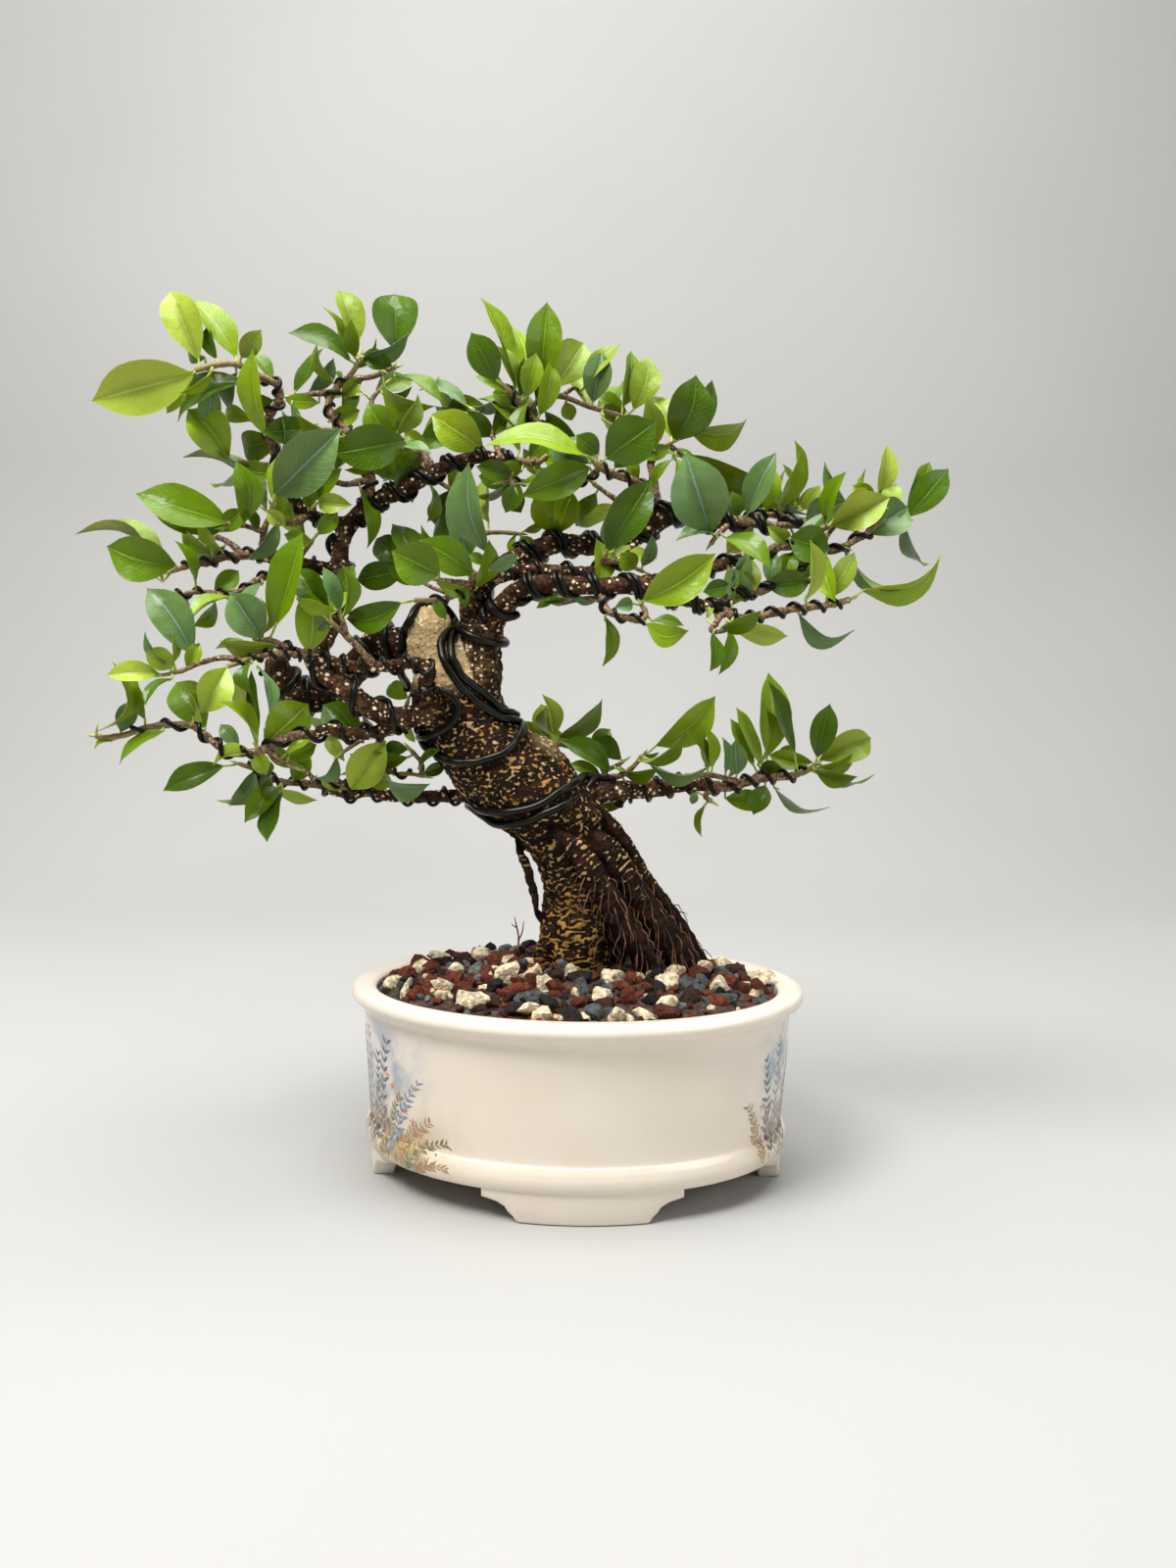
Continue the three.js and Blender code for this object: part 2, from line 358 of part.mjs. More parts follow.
            [1.4, 0.9, [[66, 286, -1], [60, 280, -10], [57, 276, -14]]],
            [1.1, 0.9, [[84, 288.5, 8], [90, 291, 18], [95, 292, 26]]]],
        "leaves": [
            [57, 281, 45, 315.5, 24, -14, 4, 1, 0], [73, 289, 85, 316, 12, -8, 4, -1, 0],
            [69, 288, 66, 299, 8, 10, 0, 1, 0], [100, 289, 89.5, 310, 5, 16, 4, -1, -5],
            [95, 292, 88, 311, 3.5, 10, 1, 1, 0], [93, 291, 86, 299, 4, 12, 1, 1, 0],
            [97, 291, 105, 302, 7, 14, 3, 1, 0], [99, 286.5, 117, 295.5, 14, -6, 4, 1, 0],
            [110, 284.5, 136, 297, 15, -10, 3, 1, 0], [113, 290, 128, 298, 11, 10, 3, 1, 0],
            [88, 290, 76, 294, 8, 24, 1, 1, 0], [94, 293, 106, 298, 10, 26, 2, 1, 0],
            [60, 279, 42, 278.5, 4.5, -12, 4, 1, 2], [76, 284, 64, 272, 9, 12, 3, 1, 0],
            [86, 283, 92, 277, 6, 4, 3, 1, 0]]},
    "farRight": {
        "twigs": [
            [2, 1, [[70, 270, -10], [80, 273, -12], [88, 275, -13], [96, 275, -12], [105, 274, -11],
                [112, 273.5, -10], [119, 277, -9], [126, 281, -8], [133, 287, -6], [139, 288, -4],
                [143, 287.5, -2]]],
            [1.2, 0.9, [[126, 281, -8], [129, 288, 2], [130.5, 294, 6]]],
            [1.2, 0.9, [[105, 274, -11], [110, 282, 0], [116, 289, 10]]]],
        "leaves": [
            [118, 292, 106, 312, 5, 16, 4, -1, 2], [130.5, 297, 133.5, 319.5, 8, 2, 3, 1, 0],
            [129, 296, 119, 302, 8, 14, 2, 1, 0], [126, 281, 144, 293, 17, 6, 4, 1, 0],
            [144, 288.5, 161, 309.5, 13.5, 4, 0, 1, 0], [116, 275, 156, 261.5, 4.5, -8, 4, 1, 6],
            [92, 279, 110, 274, 16, -6, 0, 1, 0], [97, 277, 97, 259, 12, 8, 0, 1, 0],
            [91, 277, 82, 284, 6, -6, 3, 1, 0], [134, 289, 138, 303, 9, 14, 2, 1, 0],
            [122, 281, 112, 296, 10, 22, 1, 1, 0]]},
    "lowShelfRight": {
        "twigs": [
            [2, 1, [[60, 248, -21], [64, 252, -20], [72, 255, -19], [80, 255.5, -18], [88, 259, -16],
                [95, 262, -14], [97, 268, -12], [94, 274, -14]]],
            [2, 1.3, [[61.5, 249.5, -21], [64, 247, -23], [69, 244, -24], [77, 244, -24], [86, 246, -23],
                [96, 248, -22], [106, 249, -21], [114, 250.5, -20], [119, 252, -19]]],
            [1.3, 0.9, [[63.5, 247, -22.6], [60, 241, -27], [58, 238.5, -31], [60, 237.5, -32],
                [65, 238.5, -30], [67, 242, -27]]]],
        "leaves": [
            [125, 256, 161, 271, 10, 6, 2, 1, 3], [67, 242, 92.5, 234.5, 9, 4, 3, 1, -1],
            [97, 245.5, 122, 239, 7, 8, 4, 1, 5], [65, 266, 73.5, 250.5, 11, -12, 4, 1, 0],
            [66, 258, 54, 255, 8, 10, 0, 1, 0], [82, 258, 102, 260, 12, 10, 0, 1, 0],
            [89, 260, 93, 273, 9, 12, 1, 1, 0], [84, 258, 85, 273, 8, 18, 4, 1, 0],
            [78, 257, 69, 264, 6, 14, 3, 1, 0], [98, 263, 108, 270, 5, 8, 3, 1, 0],
            [97, 261, 109, 262, 3, 4, 2, 1, 0], [56, 243, 54, 252, 3, -4, 3, 1, 0],
            [61, 240, 57, 249, 3, 4, 3, 1, 0]]},
    "lowBranchRight": {
        "twigs": [
            [2.6, 1.2, [[59, 168.5, 12], [66, 168, 11], [74, 170, 10], [84, 172.5, 10], [94, 173, 10],
                [101, 175, 11], [106, 178, 12]]],
            [1.4, 1, [[73, 170.2, 9.6], [66, 172, 5], [58, 173.6, 3], [48, 173, 4]]],
            [1.5, 1, [[61, 168.3, 12], [57, 164, 7], [60, 161.5, 4]]],
            [1.2, 0.9, [[77.5, 171.2, 10.3], [80, 174, 20], [84, 177, 26]]]],
        "leaves": [
            [58, 176.5, 60, 191.5, 9, -4, 3, 1, 0], [66, 174.5, 65, 190.5, 4.5, 12, 4, 1, 0],
            [71, 173.5, 70, 189, 10.5, -4, 4, 1, 0], [79, 177, 69, 199.5, 5.5, -4, 2, 1, -4],
            [83, 177, 72, 204.5, 6, 2, 2, 1, -4], [84.5, 182, 84, 219.5, 14.5, 6, 2, 1, 0],
            [97, 182, 85, 216, 6, -8, 0, 1, -4], [105, 179.5, 85, 183, 9, -6, 2, 1, -2],
            [88, 180, 97, 187, 6, 14, 1, 1, 0], [107, 181.5, 112, 206, 12, 2, 0, 1, 0],
            [108, 180.5, 131.5, 191, 15, 10, 3, 1, 0], [108, 178.5, 133, 173, 3.5, -6, 0, 1, 3],
            [66, 163, 83, 160, 10, 2, 1, 1, -1], [84, 169, 79, 155.5, 10, -4, 0, 1, 0],
            [88, 168, 113, 158, 3.5, 8, 4, 1, 2], [53, 166, 51, 160, 4, -4, 4, 1, 0],
            [81, 175, 92, 176, 10, 10, 1, 1, 0]]},
    "behindTrunk": {
        "twigs": [
            [1.8, 1.1, [[12, 167, 13], [12, 172, 18], [10, 178, 24], [4, 183, 30], [-4, 186, 34],
                [-12, 187, 36]]],
            [1.2, 0.9, [[11.5, 175, 20], [16, 177, 22], [20, 179.5, 24]]],
            [1.4, 1, [[12, 172, 18], [19, 173, 12], [24, 176.5, 8], [28, 181.5, 6]]]],
        "leaves": [
            [34.5, 186.5, 60.5, 209, 14, -4, 2, 1, 2], [30, 180.5, 59, 176, 4.5, -4, 4, 1, 2],
            [29, 182, 36, 183, 2, 6, 2, 1, 0],
            [14, 175, -8.5, 188.5, 10.5, -6, 0, 1, 1], [19, 180, 4, 187, 10, 8, 0, 1, 3],
            [10, 172, -5, 178, 6, 4, 1, 1, 0], [24, 166, 9, 159, 10, 10, 2, -1, 0],
            [-13, 189, -17.5, 205, 12.5, 6, 2, 1, 0], [-9.5, 190, 10.5, 207, 9, 4, 1, 1, 2],
            [-13, 188, -30, 195, 9, 10, 2, 1, 0], [17, 171, 18, 178, 3, -4, 3, 1, 0],
            [5, 184, 14, 194, 9, 22, 1, 1, 0]]},
    "farLeft": {
        "twigs": [
            [2.2, 1, [[-142, 270.5, 8], [-150, 269.5, 6], [-158, 269, 3], [-166, 266.5, 0], [-174, 265, -2],
                [-182, 262.5, -4]]],
            [1.6, 0.9, [[-150, 269.5, 6], [-156, 275, 8], [-163, 278, 10], [-169, 277, 10]]],
            [2, 1.1, [[-141, 270.5, 8], [-141, 278, 4], [-140, 283, 2], [-137, 288, 0]]],
            [1.3, 0.9, [[-140.5, 280, 3], [-147, 282, -2], [-152, 283, -6], [-158, 282, -8]]]],
        "leaves": [
            [-180, 265, -211, 273.5, 19.5, -6, 1, 1, -2], [-186, 258, -223.5, 280, 5.5, -8, 3, 1, 6],
            [-156, 284, -197.5, 297, 17, -4, 2, 1, -2], [-168.5, 279, -191, 292, 11.5, -10, 0, 1, 1],
            [-149.5, 284, -153, 311, 12, -10, 1, -1, 4], [-139.5, 289, -174.5, 315, 6, 14, 4, 1, 2],
            [-143, 281, -150, 291, 5, 6, 0, 1, 0], [-160, 280, -150, 290, 9, 20, 1, 1, 0]]},
    "outLow": {
        "twigs": [
            [1.9, 0.9, [[-122, 266, 9], [-130, 263.5, 4], [-139, 261, 0], [-145, 258, -3], [-151, 254, -6],
                [-160, 252.5, -8], [-170, 253.5, -10], [-178, 252.5, -11], [-186, 253, -12]]],
            [1.3, 0.9, [[-130, 263.5, 4], [-124, 270, 0], [-119, 277, -2]]]],
        "leaves": [
            [-185, 252, -177, 241, 13, 8, 4, 1, 0],
            [-174, 251, -177, 247, 2, 2, 3, 1, 0], [-119, 275, -132, 279, 7, 8, 2, 1, 0],
            [-117, 279, -108, 289, 8, 10, 1, 1, 0], [-163, 254, -152, 263, 9, 18, 1, 1, 0]]},
    "midLeft": {
        "twigs": [
            [2, 1, [[-118, 224.5, -22], [-126, 227.5, -23], [-133, 230, -24], [-139, 232.5, -25],
                [-145, 231.5, -26]]],
            [1.8, 0.9, [[-121, 225.5, -22], [-130, 226.5, -26], [-140, 226, -29], [-150, 223, -31],
                [-158, 220.5, -32]]],
            [1.3, 0.8, [[-150, 223, -31], [-160, 224.5, -28], [-170, 222, -26], [-178, 218.5, -26],
                [-187, 216.5, -27]]]],
        "leaves": [
            [-136, 239, -124, 280, 14, -8, 1, -1, 3], [-121.5, 227, -121.5, 255, 15, -8, 2, 1, 2],
            [-142, 233, -156, 253.5, 17, -4, 4, 1, 0],
            [-145, 232, -158, 241, 3, -8, 3, 1, 0], [-145, 233, -143, 251, 3, -6, 3, 1, 3],
            [-158, 220, -169.5, 199.5, 15, -8, 3, 1, 0], [-173, 226, -193.5, 255.5, 17, 6, 4, 1, 2],
            [-188, 217, -212, 216.5, 9, -4, 3, 1, 0], [-181, 220.5, -194.5, 227, 10, -4, 3, 1, 0],
            [-182, 222, -182, 237, 4, 4, 3, 1, 0], [-147, 223, -147, 208, 6, 12, 0, 1, 4],
            [-176, 220, -170, 231, 7, 16, 2, 1, 0]]},
    "innerLeft": {
        "twigs": [
            [1.8, 1, [[-92, 221, -24], [-98, 228, -27], [-106, 236, -28], [-112, 241, -28]]],
            [1.2, 0.9, [[-104, 234, -28], [-107, 244, -30], [-110, 252, -30]]]],
        "leaves": [
            [-113, 242, -128, 264.5, 13, 8, 0, 1, 1], [-107, 246, -114, 265, 7, -6, 4, 1, -1],
            [-111, 242, -119, 238, 6, 10, 4, 1, 0], [-109, 253, -101, 266, 8, 6, 1, 1, 0]]},
    "lowTipLeft": {
        "twigs": [
            [2, 1.1, [[-119, 190.5, -18], [-128, 190, -20], [-136, 187, -21], [-143, 183, -22],
                [-150, 182, -22], [-157, 182, -22], [-163, 185.5, -22], [-169, 190.5, -22], [-176, 194.5, -22],
                [-187, 194, -22], [-195, 193, -22], [-203, 190, -22], [-211, 188.5, -22], [-217, 189, -22]]],
            [1.5, 0.8, [[-141, 184, -22], [-134, 178, -20], [-128, 175.5, -18]]]],
        "leaves": [
            [-217, 191, -209, 222.5, 7, -8, 3, 1, 8], [-206, 191, -201, 205, 9, 8, 4, 1, 0],
            [-210, 187, -218.5, 184, 2, -4, 3, 1, 0], [-168, 193, -181, 214, 17, 8, 1, 1, 0],
            [-145, 186, -146, 219, 5.5, 6, 0, 1, -7], [-153, 184.5, -161.5, 195, 7, -4, 4, 1, 0],
            [-141, 186, -121.5, 204.5, 19, 6, 2, -1, 0], [-146, 183, -141, 172, 8, 8, 2, 1, 0],
            [-131, 180, -118, 186, 9, 16, 1, 1, 0]]},
    "lowMidLeft": {
        "twigs": [
            [1.5, 0.9, [[-80, 195, -12], [-84, 195, -3], [-92, 192, 1], [-100, 187, 1], [-107, 182, -1]]],
            [1.2, 0.8, [[-84, 195, -3], [-79, 201, 2], [-77, 206, 4]]],
            [1.2, 0.8, [[-92, 192, 1], [-96, 197, 4], [-97, 200, 6]]]],
        "leaves": [
            [-97, 187, -115, 204, 16, 12, 0, 1, 0], [-106, 179, -114, 190, 7, 6, 3, 1, 0],
            [-77, 207, -86, 213, 9, 6, 1, 1, 0], [-78, 196, -74, 187, 4, 8, 2, 1, 0],
            [-98, 199, -84, 206, 10, 14, 1, 1, 0]]},
    "lowestSpray": {
        "twigs": [
            [1.9, 1, [[-110, 165.5, 17], [-117, 167.5, 15], [-126, 168.5, 12], [-134, 169, 10],
                [-141, 171.5, 8], [-147, 175, 6], [-153, 177, 4]]],
            [1.4, 0.9, [[-117, 167.5, 15], [-110, 169, 8], [-102, 167, 6], [-95, 170, 5], [-88, 175, 4],
                [-83, 173, 2], [-76, 173, 0], [-70, 172, 0]]],
            [1.2, 0.9, [[-118, 168, 15], [-122, 173, 6], [-128, 176, 2]]],
            [1.2, 0.9, [[-71, 172.2, 0], [-71, 178, 2], [-76, 184, 0]]]],
        "leaves": [
            [-160, 176, -187.5, 164.5, 11, -4, 0, 1, -1], [-146, 174, -158, 158, 9, -6, 4, 1, -3],
            [-144, 173, -142.5, 158, 12, 4, 0, 1, 0], [-139, 167, -118, 160.5, 5, 6, 3, 1, -2],
            [-103, 166, -87, 188, 17, -4, 3, 1, 0], [-104, 166, -117, 171, 7, 6, 3, 1, 0],
            [-95, 172, -83.5, 168, 9, -6, 3, 1, 0], [-77, 184, -88, 185, 7, -2, 0, 1, 0],
            [-119, 171, -109, 181, 6, -6, 4, 1, 3], [-70, 173, -60, 177, 6, 10, 0, 1, 0],
            [-98, 168, -90, 171, 6, 16, 0, 1, 0], [-129, 170, -121, 181, 9, 14, 1, 1, 0]]},
};

// A point of the front drawing at a given depth behind the middle plane (minus is nearer).
function drawn(x, z, depth) {
    const spread = (viewDistance + depth) / viewDistance;
    return new THREE.Vector3(
        viewX + (x - viewX) * spread,
        depth,
        viewHeight + (z + drawingLevel - viewHeight) * spread,
    );
}

function spreadAt(depth) {
    return (viewDistance + depth) / viewDistance;
}

function solidOf(points, triangles) {
    const vertProperties = new Float32Array(points.flatMap((p) => [p.x, p.y, p.z]));
    const triVerts = new Uint32Array(triangles.flat());
    return new Manifold(new SolidMesh({ numProp: 3, vertProperties, triVerts }));
}

function solidOfGeometry(geometry) {
    geometry.deleteAttribute("normal");
    geometry.deleteAttribute("uv");
    const merged = mergeVertices(geometry, 1e-4);
    const spots = merged.getAttribute("position");
    return new Manifold(new SolidMesh({
        numProp: 3,
        vertProperties: new Float32Array(spots.array),
        triVerts: new Uint32Array(merged.getIndex().array),
    }));
}

function fuse(solids) {
    return Manifold.union(solids);
}

// Side walls and end faces over a stack of rings with the same number of points.
function loftTriangles(ringCount, sides) {
    const triangles = [];
    for (let ring = 0; ring + 1 < ringCount; ring += 1) {
        for (let k = 0; k < sides; k += 1) {
            const a = ring * sides + k;
            const b = ring * sides + ((k + 1) % sides);
            triangles.push([a, b, b + sides], [a, b + sides, a + sides]);
        }
    }
    const last = (ringCount - 1) * sides;
    for (let k = 1; k + 1 < sides; k += 1) {
        triangles.push([0, k + 1, k], [last, last + k, last + k + 1]);
    }
    return triangles;
}

// Frames that do not twist, carried along a line of points.
function framesAlong(points) {
    const frames = [];
    let across = new THREE.Vector3(0, 1, 0);
    points.forEach((point, i) => {
        const before = points[Math.max(i - 1, 0)];
        const after = points[Math.min(i + 1, points.length - 1)];
        const along = after.clone().sub(before).normalize();
        across = across.clone().addScaledVector(along, -across.dot(along));
        if (across.lengthSq() < 1e-6) {
            across = new THREE.Vector3(1, 0, 0).addScaledVector(along, -along.x);
        }
        across.normalize();
        frames.push({ along, across, up: along.clone().cross(across) });
    });
    return frames;
}

// A round bar through points with a radius at each.
function bar(points, radii, sides) {
    const frames = framesAlong(points);
    const rings = [];
    points.forEach((point, i) => {
        for (let k = 0; k < sides; k += 1) {
            const angle = (2 * Math.PI * k) / sides;
            rings.push(point.clone()
                .addScaledVector(frames[i].across, Math.cos(angle) * radii[i])
                .addScaledVector(frames[i].up, Math.sin(angle) * radii[i]));
        }
    });
    return solidOf(rings, loftTriangles(points.length, sides));
}

function limbLine(rows) {
    return rows.map(([x, z, depth, radius]) => ({
        point: drawn(x, z, depth),
        radius: radius * spreadAt(depth),
    }));
}

function limbSolid(rows, grow) {
    const line = limbLine(rows);
    const widest = Math.max(...line.map((spot) => spot.radius));
    const slim = widest < thickLimb ? limbSides : boleSides;
    return bar(line.map((spot) => spot.point), line.map((spot) => spot.radius + grow), slim);
}

function trunkSolid(grow) {
    return fuse(Object.values(limbs).map((rows) => limbSolid(rows, grow)));
}

function ovalDepth(halfLength) {
    return Math.max(halfLength - ovalOffset, halfLength * ovalInnerRatio);
}

function ovalRing(halfLength, height) {
    const ring = [];
    for (let k = 0; k < ovalSegments; k += 1) {
        const angle = (2 * Math.PI * k) / ovalSegments;
        ring.push(new THREE.Vector3(
            halfLength * Math.cos(angle),
            ovalDepth(halfLength) * Math.sin(angle),
            height,
        ));
    }
    return ring;
}

// A body swept round the oval from a profile that starts and ends on the upright middle line.
function ovalBody(profile, startHeight, endHeight) {
    const points = profile.flatMap(([halfLength, height]) => ovalRing(halfLength, height));
    const bottom = points.length;
    const top = bottom + 1;
    points.push(new THREE.Vector3(0, 0, startHeight), new THREE.Vector3(0, 0, endHeight));
    const triangles = [];
    const last = (profile.length - 1) * ovalSegments;
    for (let k = 0; k < ovalSegments; k += 1) {
        const next = (k + 1) % ovalSegments;
        for (let ring = 0; ring + 1 < profile.length; ring += 1) {
            const a = ring * ovalSegments + k;
            const b = ring * ovalSegments + next;
            triangles.push([a, b, b + ovalSegments], [a, b + ovalSegments, a + ovalSegments]);
        }
        triangles.push([bottom, next, k], [top, last + k, last + next]);
    }
    return solidOf(points, triangles);
}

function footOutline(outline) {
    const shape = new THREE.Shape(outline.map(([across, height]) => new THREE.Vector2(across, height)));
    const slab = new THREE.ExtrudeGeometry(shape, { depth: 2 * footOutside, bevelEnabled: false });
    slab.translate(0, 0, -footOutside);
    slab.rotateX(Math.PI / 2);
    return slab;
}

function feet() {
    const front = solidOfGeometry(footOutline(frontFoot));
    const side = solidOfGeometry(footOutline(sideFoot).rotateZ(Math.PI / 2));
    const outside = ovalBody([[footOutside, 0], [footOutside, footTop]], 0, footTop);
    const inside = ovalBody([[footInside, -1], [footInside, footTop - 1]], -1, footTop - 1);
    return fuse([front, side]).intersect(outside).subtract(inside);
}

function drainHole(x) {
    const hole = new THREE.CylinderGeometry(drainRadius, drainRadius, potFloor, drainSegments);
    hole.rotateX(Math.PI / 2);
    hole.translate(x, 0, potFloor - potFloor / 2 + 1);
    return solidOfGeometry(hole);
}

function potSolid() {
    const body = ovalBody(potProfile, potUnderside, potFloor);
    return fuse([body, feet()]).subtract(drainHole(-drainX)).subtract(drainHole(drainX));
}

function seededDraw(seed) {
    let state = seed;
    return () => {
        state = (state * 1103515245 + 12345) % 2147483648;
        return state / 2147483648;
    };
}

// Height of the gravel mound at a place in plan.
function gravelHeight(x, y) {
    const reach = Math.hypot(x, y / ovalInnerRatio);
    const steps = [[0, moundTop], ...gravelProfile.slice(2).reverse()];
    for (let i = 0; i + 1 < steps.length; i += 1) {
        if (reach <= steps[i + 1][0]) {
            const share = (reach - steps[i][0]) / (steps[i + 1][0] - steps[i][0]);
            return steps[i][1] + share * (steps[i + 1][1] - steps[i][1]);
        }
    }
    return steps[steps.length - 1][1];
}

function pebble(draw) {
    const size = pebbleSmall + (pebbleLarge - pebbleSmall) * draw();
    const stone = new THREE.IcosahedronGeometry(1, 0);
    const narrow = THREE.MathUtils.lerp(pebbleNarrow, 1, draw());
    stone.scale(size, size * narrow, size * pebbleFlat);
    stone.rotateZ(Math.PI * draw());
    stone.rotateX(pebbleTilt * (draw() - 0.5));
    return { stone, size };
}

function pebbles() {
    const draw = seededDraw(pebbleSeed);
    const rimReach = gravelProfile[2][0];
    const placed = [];
    while (placed.length < pebbleCount) {
        const { stone, size } = pebble(draw);
        const reach = (rimReach - size - rimClear) * Math.sqrt(draw());
        const angle = 2 * Math.PI * draw();
        const x = reach * Math.cos(angle);
        const y = reach * Math.sin(angle) * ovalInnerRatio;
        const clear = placed.every((other) => (
            Math.hypot(other.x - x, other.y - y) > other.size + size * pebbleApart
        ));
        if (clear && Math.hypot(x, y) > stemClearing) {
            stone.translate(x, y, gravelHeight(x, y) + size * pebbleLift);
            placed.push({ x, y, size, solid: solidOfGeometry(stone) });
        }
    }
    return placed.map((spot) => spot.solid);
}

function gravelSolid(trunkRoom) {
    const bed = ovalBody(gravelProfile, gravelProfile[0][1], moundTop);
    return fuse([bed, ...pebbles()]).subtract(trunkRoom);
}

// Depth that lays a wire on the front (-1) or back (1) of the limbs at a place in the drawing.
function seatedDepth(x, z, side, wire) {
    let best = null;
    let nearest = Infinity;
    let nearestDepth = 0;
    for (const rows of Object.values(limbs)) {
        for (let i = 0; i + 1 < rows.length; i += 1) {
            const [ax, az, ay, ar] = rows[i];
            const [bx, bz, by, br] = rows[i + 1];
            const run = (bx - ax) ** 2 + (bz - az) ** 2;
            const share = THREE.MathUtils.clamp(((x - ax) * (bx - ax) + (z - az) * (bz - az)) / run, 0, 1);
            const away = Math.hypot(x - ax - share * (bx - ax), z - az - share * (bz - az));
            const middle = ay + share * (by - ay);
            const reach = ar + share * (br - ar) + wire + hair;
            if (away - reach < nearest) {
                nearest = away - reach;
                nearestDepth = middle;
            }
            if (away < reach) {
                const seat = middle + side * Math.sqrt(reach ** 2 - away ** 2);
                best = best === null || side * seat > side * best ? seat : best;
            }
        }
    }
    return best === null ? nearestDepth : best;
}

// Even steps along the hand drawn points of a wire, each laid on the wood below it.
function laidLine({ wire, line }) {
    const spots = line.map(([x, z, side]) => new THREE.Vector3(x, z, side));
    const curve = new THREE.CatmullRomCurve3(spots);
    const count = Math.ceil(curve.getLength() / wireStep);
    return curve.getPoints(count).map((spot) => {
        const side = THREE.MathUtils.clamp(spot.z, -1, 1);
        const middle = (seatedDepth(spot.x, spot.y, -1, wire) + seatedDepth(spot.x, spot.y, 1, wire)) / 2;
        const seat = seatedDepth(spot.x, spot.y, side < 0 ? -1 : 1, wire);
        return drawn(spot.x, spot.y, middle + Math.abs(side) * (seat - middle));
    });
}

// The limb and twig that a coil follows, as one line.
function carrierLine(names) {
    const rows = names.flatMap((name, i) => {
        const source = limbs[name] ?? mainTwigRows(sprays[name]);
        return i === 0 ? source : source.slice(1);
    });
    return limbLine(rows);
}

function mainTwigRows(spray) {
    const [thick, thin, spots] = spray.twigs[0];
    return spots.map(([x, z, depth], i) => [x, z, depth, thick + ((thin - thick) * i) / (spots.length - 1)]);
}

// A wire wound round its carrier from one share of the length to another.
function woundLine({ wire, along, from, to, turns, phase }) {
    const line = carrierLine(along);
    const drawnTurns = turns * coilShare;
    const steps = Math.ceil(drawnTurns * coilStepsPerTurn);
    const lengths = [0];
    for (let i = 1; i < line.length; i += 1) {
        lengths.push(lengths[i - 1] + line[i].point.distanceTo(line[i - 1].point));
    }
    const total = lengths[lengths.length - 1];
    const centres = [];
    const radii = [];
    let segment = 0;
    for (let step = 0; step <= steps; step += 1) {
        const place = total * (from + ((to - from) * step) / steps);
        while (segment + 2 < lengths.length && lengths[segment + 1] < place) {
            segment += 1;
        }
        const share = (place - lengths[segment]) / (lengths[segment + 1] - lengths[segment]);
        centres.push(line[segment].point.clone().lerp(line[segment + 1].point, share));
        radii.push(THREE.MathUtils.lerp(line[segment].radius, line[segment + 1].radius, share));
    }
    const frames = framesAlong(centres);
    const reach = 1 / Math.cos(Math.PI / coilStepsPerTurn);
    return centres.map((centre, step) => {
        const angle = phase + (2 * Math.PI * drawnTurns * step) / steps;
        const radius = (radii[step] + hair) * reach + wire;
        return centre
            .addScaledVector(frames[step].across, Math.cos(angle) * radius)
            .addScaledVector(frames[step].up, Math.sin(angle) * radius);
    });
}

// Every stretch of wood in space, with the name of its limb or spray.
function woodStretches() {
    const stretches = [];
    const add = (name, line) => {
        for (let i = 0; i + 1 < line.length; i += 1) {
            stretches.push({ name, from: line[i].point, to: line[i + 1].point, radius: line[i].radius });
        }
    };
    Object.entries(limbs).forEach(([name, rows]) => add(name, limbLine(rows)));
    Object.entries(sprays).forEach(([name, spray]) => spray.twigs.forEach(([thick, , spots], i) => {
        const line = spots.map(([x, z, depth]) => ({ point: drawn(x, z, depth), radius: thick }));
        add(i === 0 ? name : `${name} side`, line);
    }));
    return stretches;
}

// The longest run of a wire that keeps clear of all wood but its carrier and of the other wires.
function clearRun(points, { wire, along }, wood, wires) {
    const nearest = new THREE.Vector3();
    const blocked = points.map((point) => [...wood, ...wires].some((stretch) => {
        if (along.includes(stretch.name)) {
            return false;
        }
        new THREE.Line3(stretch.from, stretch.to).closestPointToPoint(point, true, nearest);
        return nearest.distanceTo(point) < stretch.radius + wire + jointRoom * 2;
    }));
    let best = [];
    let run = [];
    points.forEach((point, i) => {
        run = blocked[i] ? [] : [...run, point];
        best = run.length > best.length ? run : best;
    });
    return best;
}

function wireStretches(points, wire) {
    return points.slice(1).map((to, i) => ({ name: "wire", from: points[i], to, radius: wire }));
}

function wireSolid(points, wire) {
    return bar(points, points.map(() => wire), wireSides);
}

// Twigs of a spray as spots every few millimetres, used to find where a leaf stalk starts.
function twigSpots(spray) {
    const spots = [];
    for (const [thick, thin, line] of spray.twigs) {
        for (let i = 0; i + 1 < line.length; i += 1) {
            for (let part = 0; part < spotsPerStretch; part += 1) {
                const share = part / spotsPerStretch;
                const mix = line[i].map((value, axis) => value + (line[i + 1][axis] - value) * share);
                spots.push({ spot: mix, radius: thick + ((thin - thick) * i) / (line.length - 1) });
            }
        }
        spots.push({ spot: line[line.length - 1], radius: thin });
    }
    return spots.filter(({ spot }) => clearOfLimbs(drawn(...spot)));
}

function clearOfLimbs(point) {
    const nearest = new THREE.Vector3();
    return Object.values(limbs).every((rows) => limbLine(rows).every((spot, i, line) => {
        const next = line[Math.min(i + 1, line.length - 1)].point;
        new THREE.Line3(spot.point, next).closestPointToPoint(point, true, nearest);
        return nearest.distanceTo(point) > spot.radius + stalkClear;
    }));
}

function nearestSpot(spots, x, z) {
    const away = spots.map(({ spot }) => Math.hypot(spot[0] - x, spot[1] - z));
    return away.indexOf(Math.min(...away));
}

// Corner points of one cut through the blade, anticlockwise about the leaf.
function bladeCut(centre, across, face, halfWidth, halfThick) {
    return [[1, 1], [-1, 1], [-1, -1], [1, -1]].map(([side, top]) => centre.clone()
        .addScaledVector(across, side * halfWidth)
        .addScaledVector(face, top * halfThick));
}

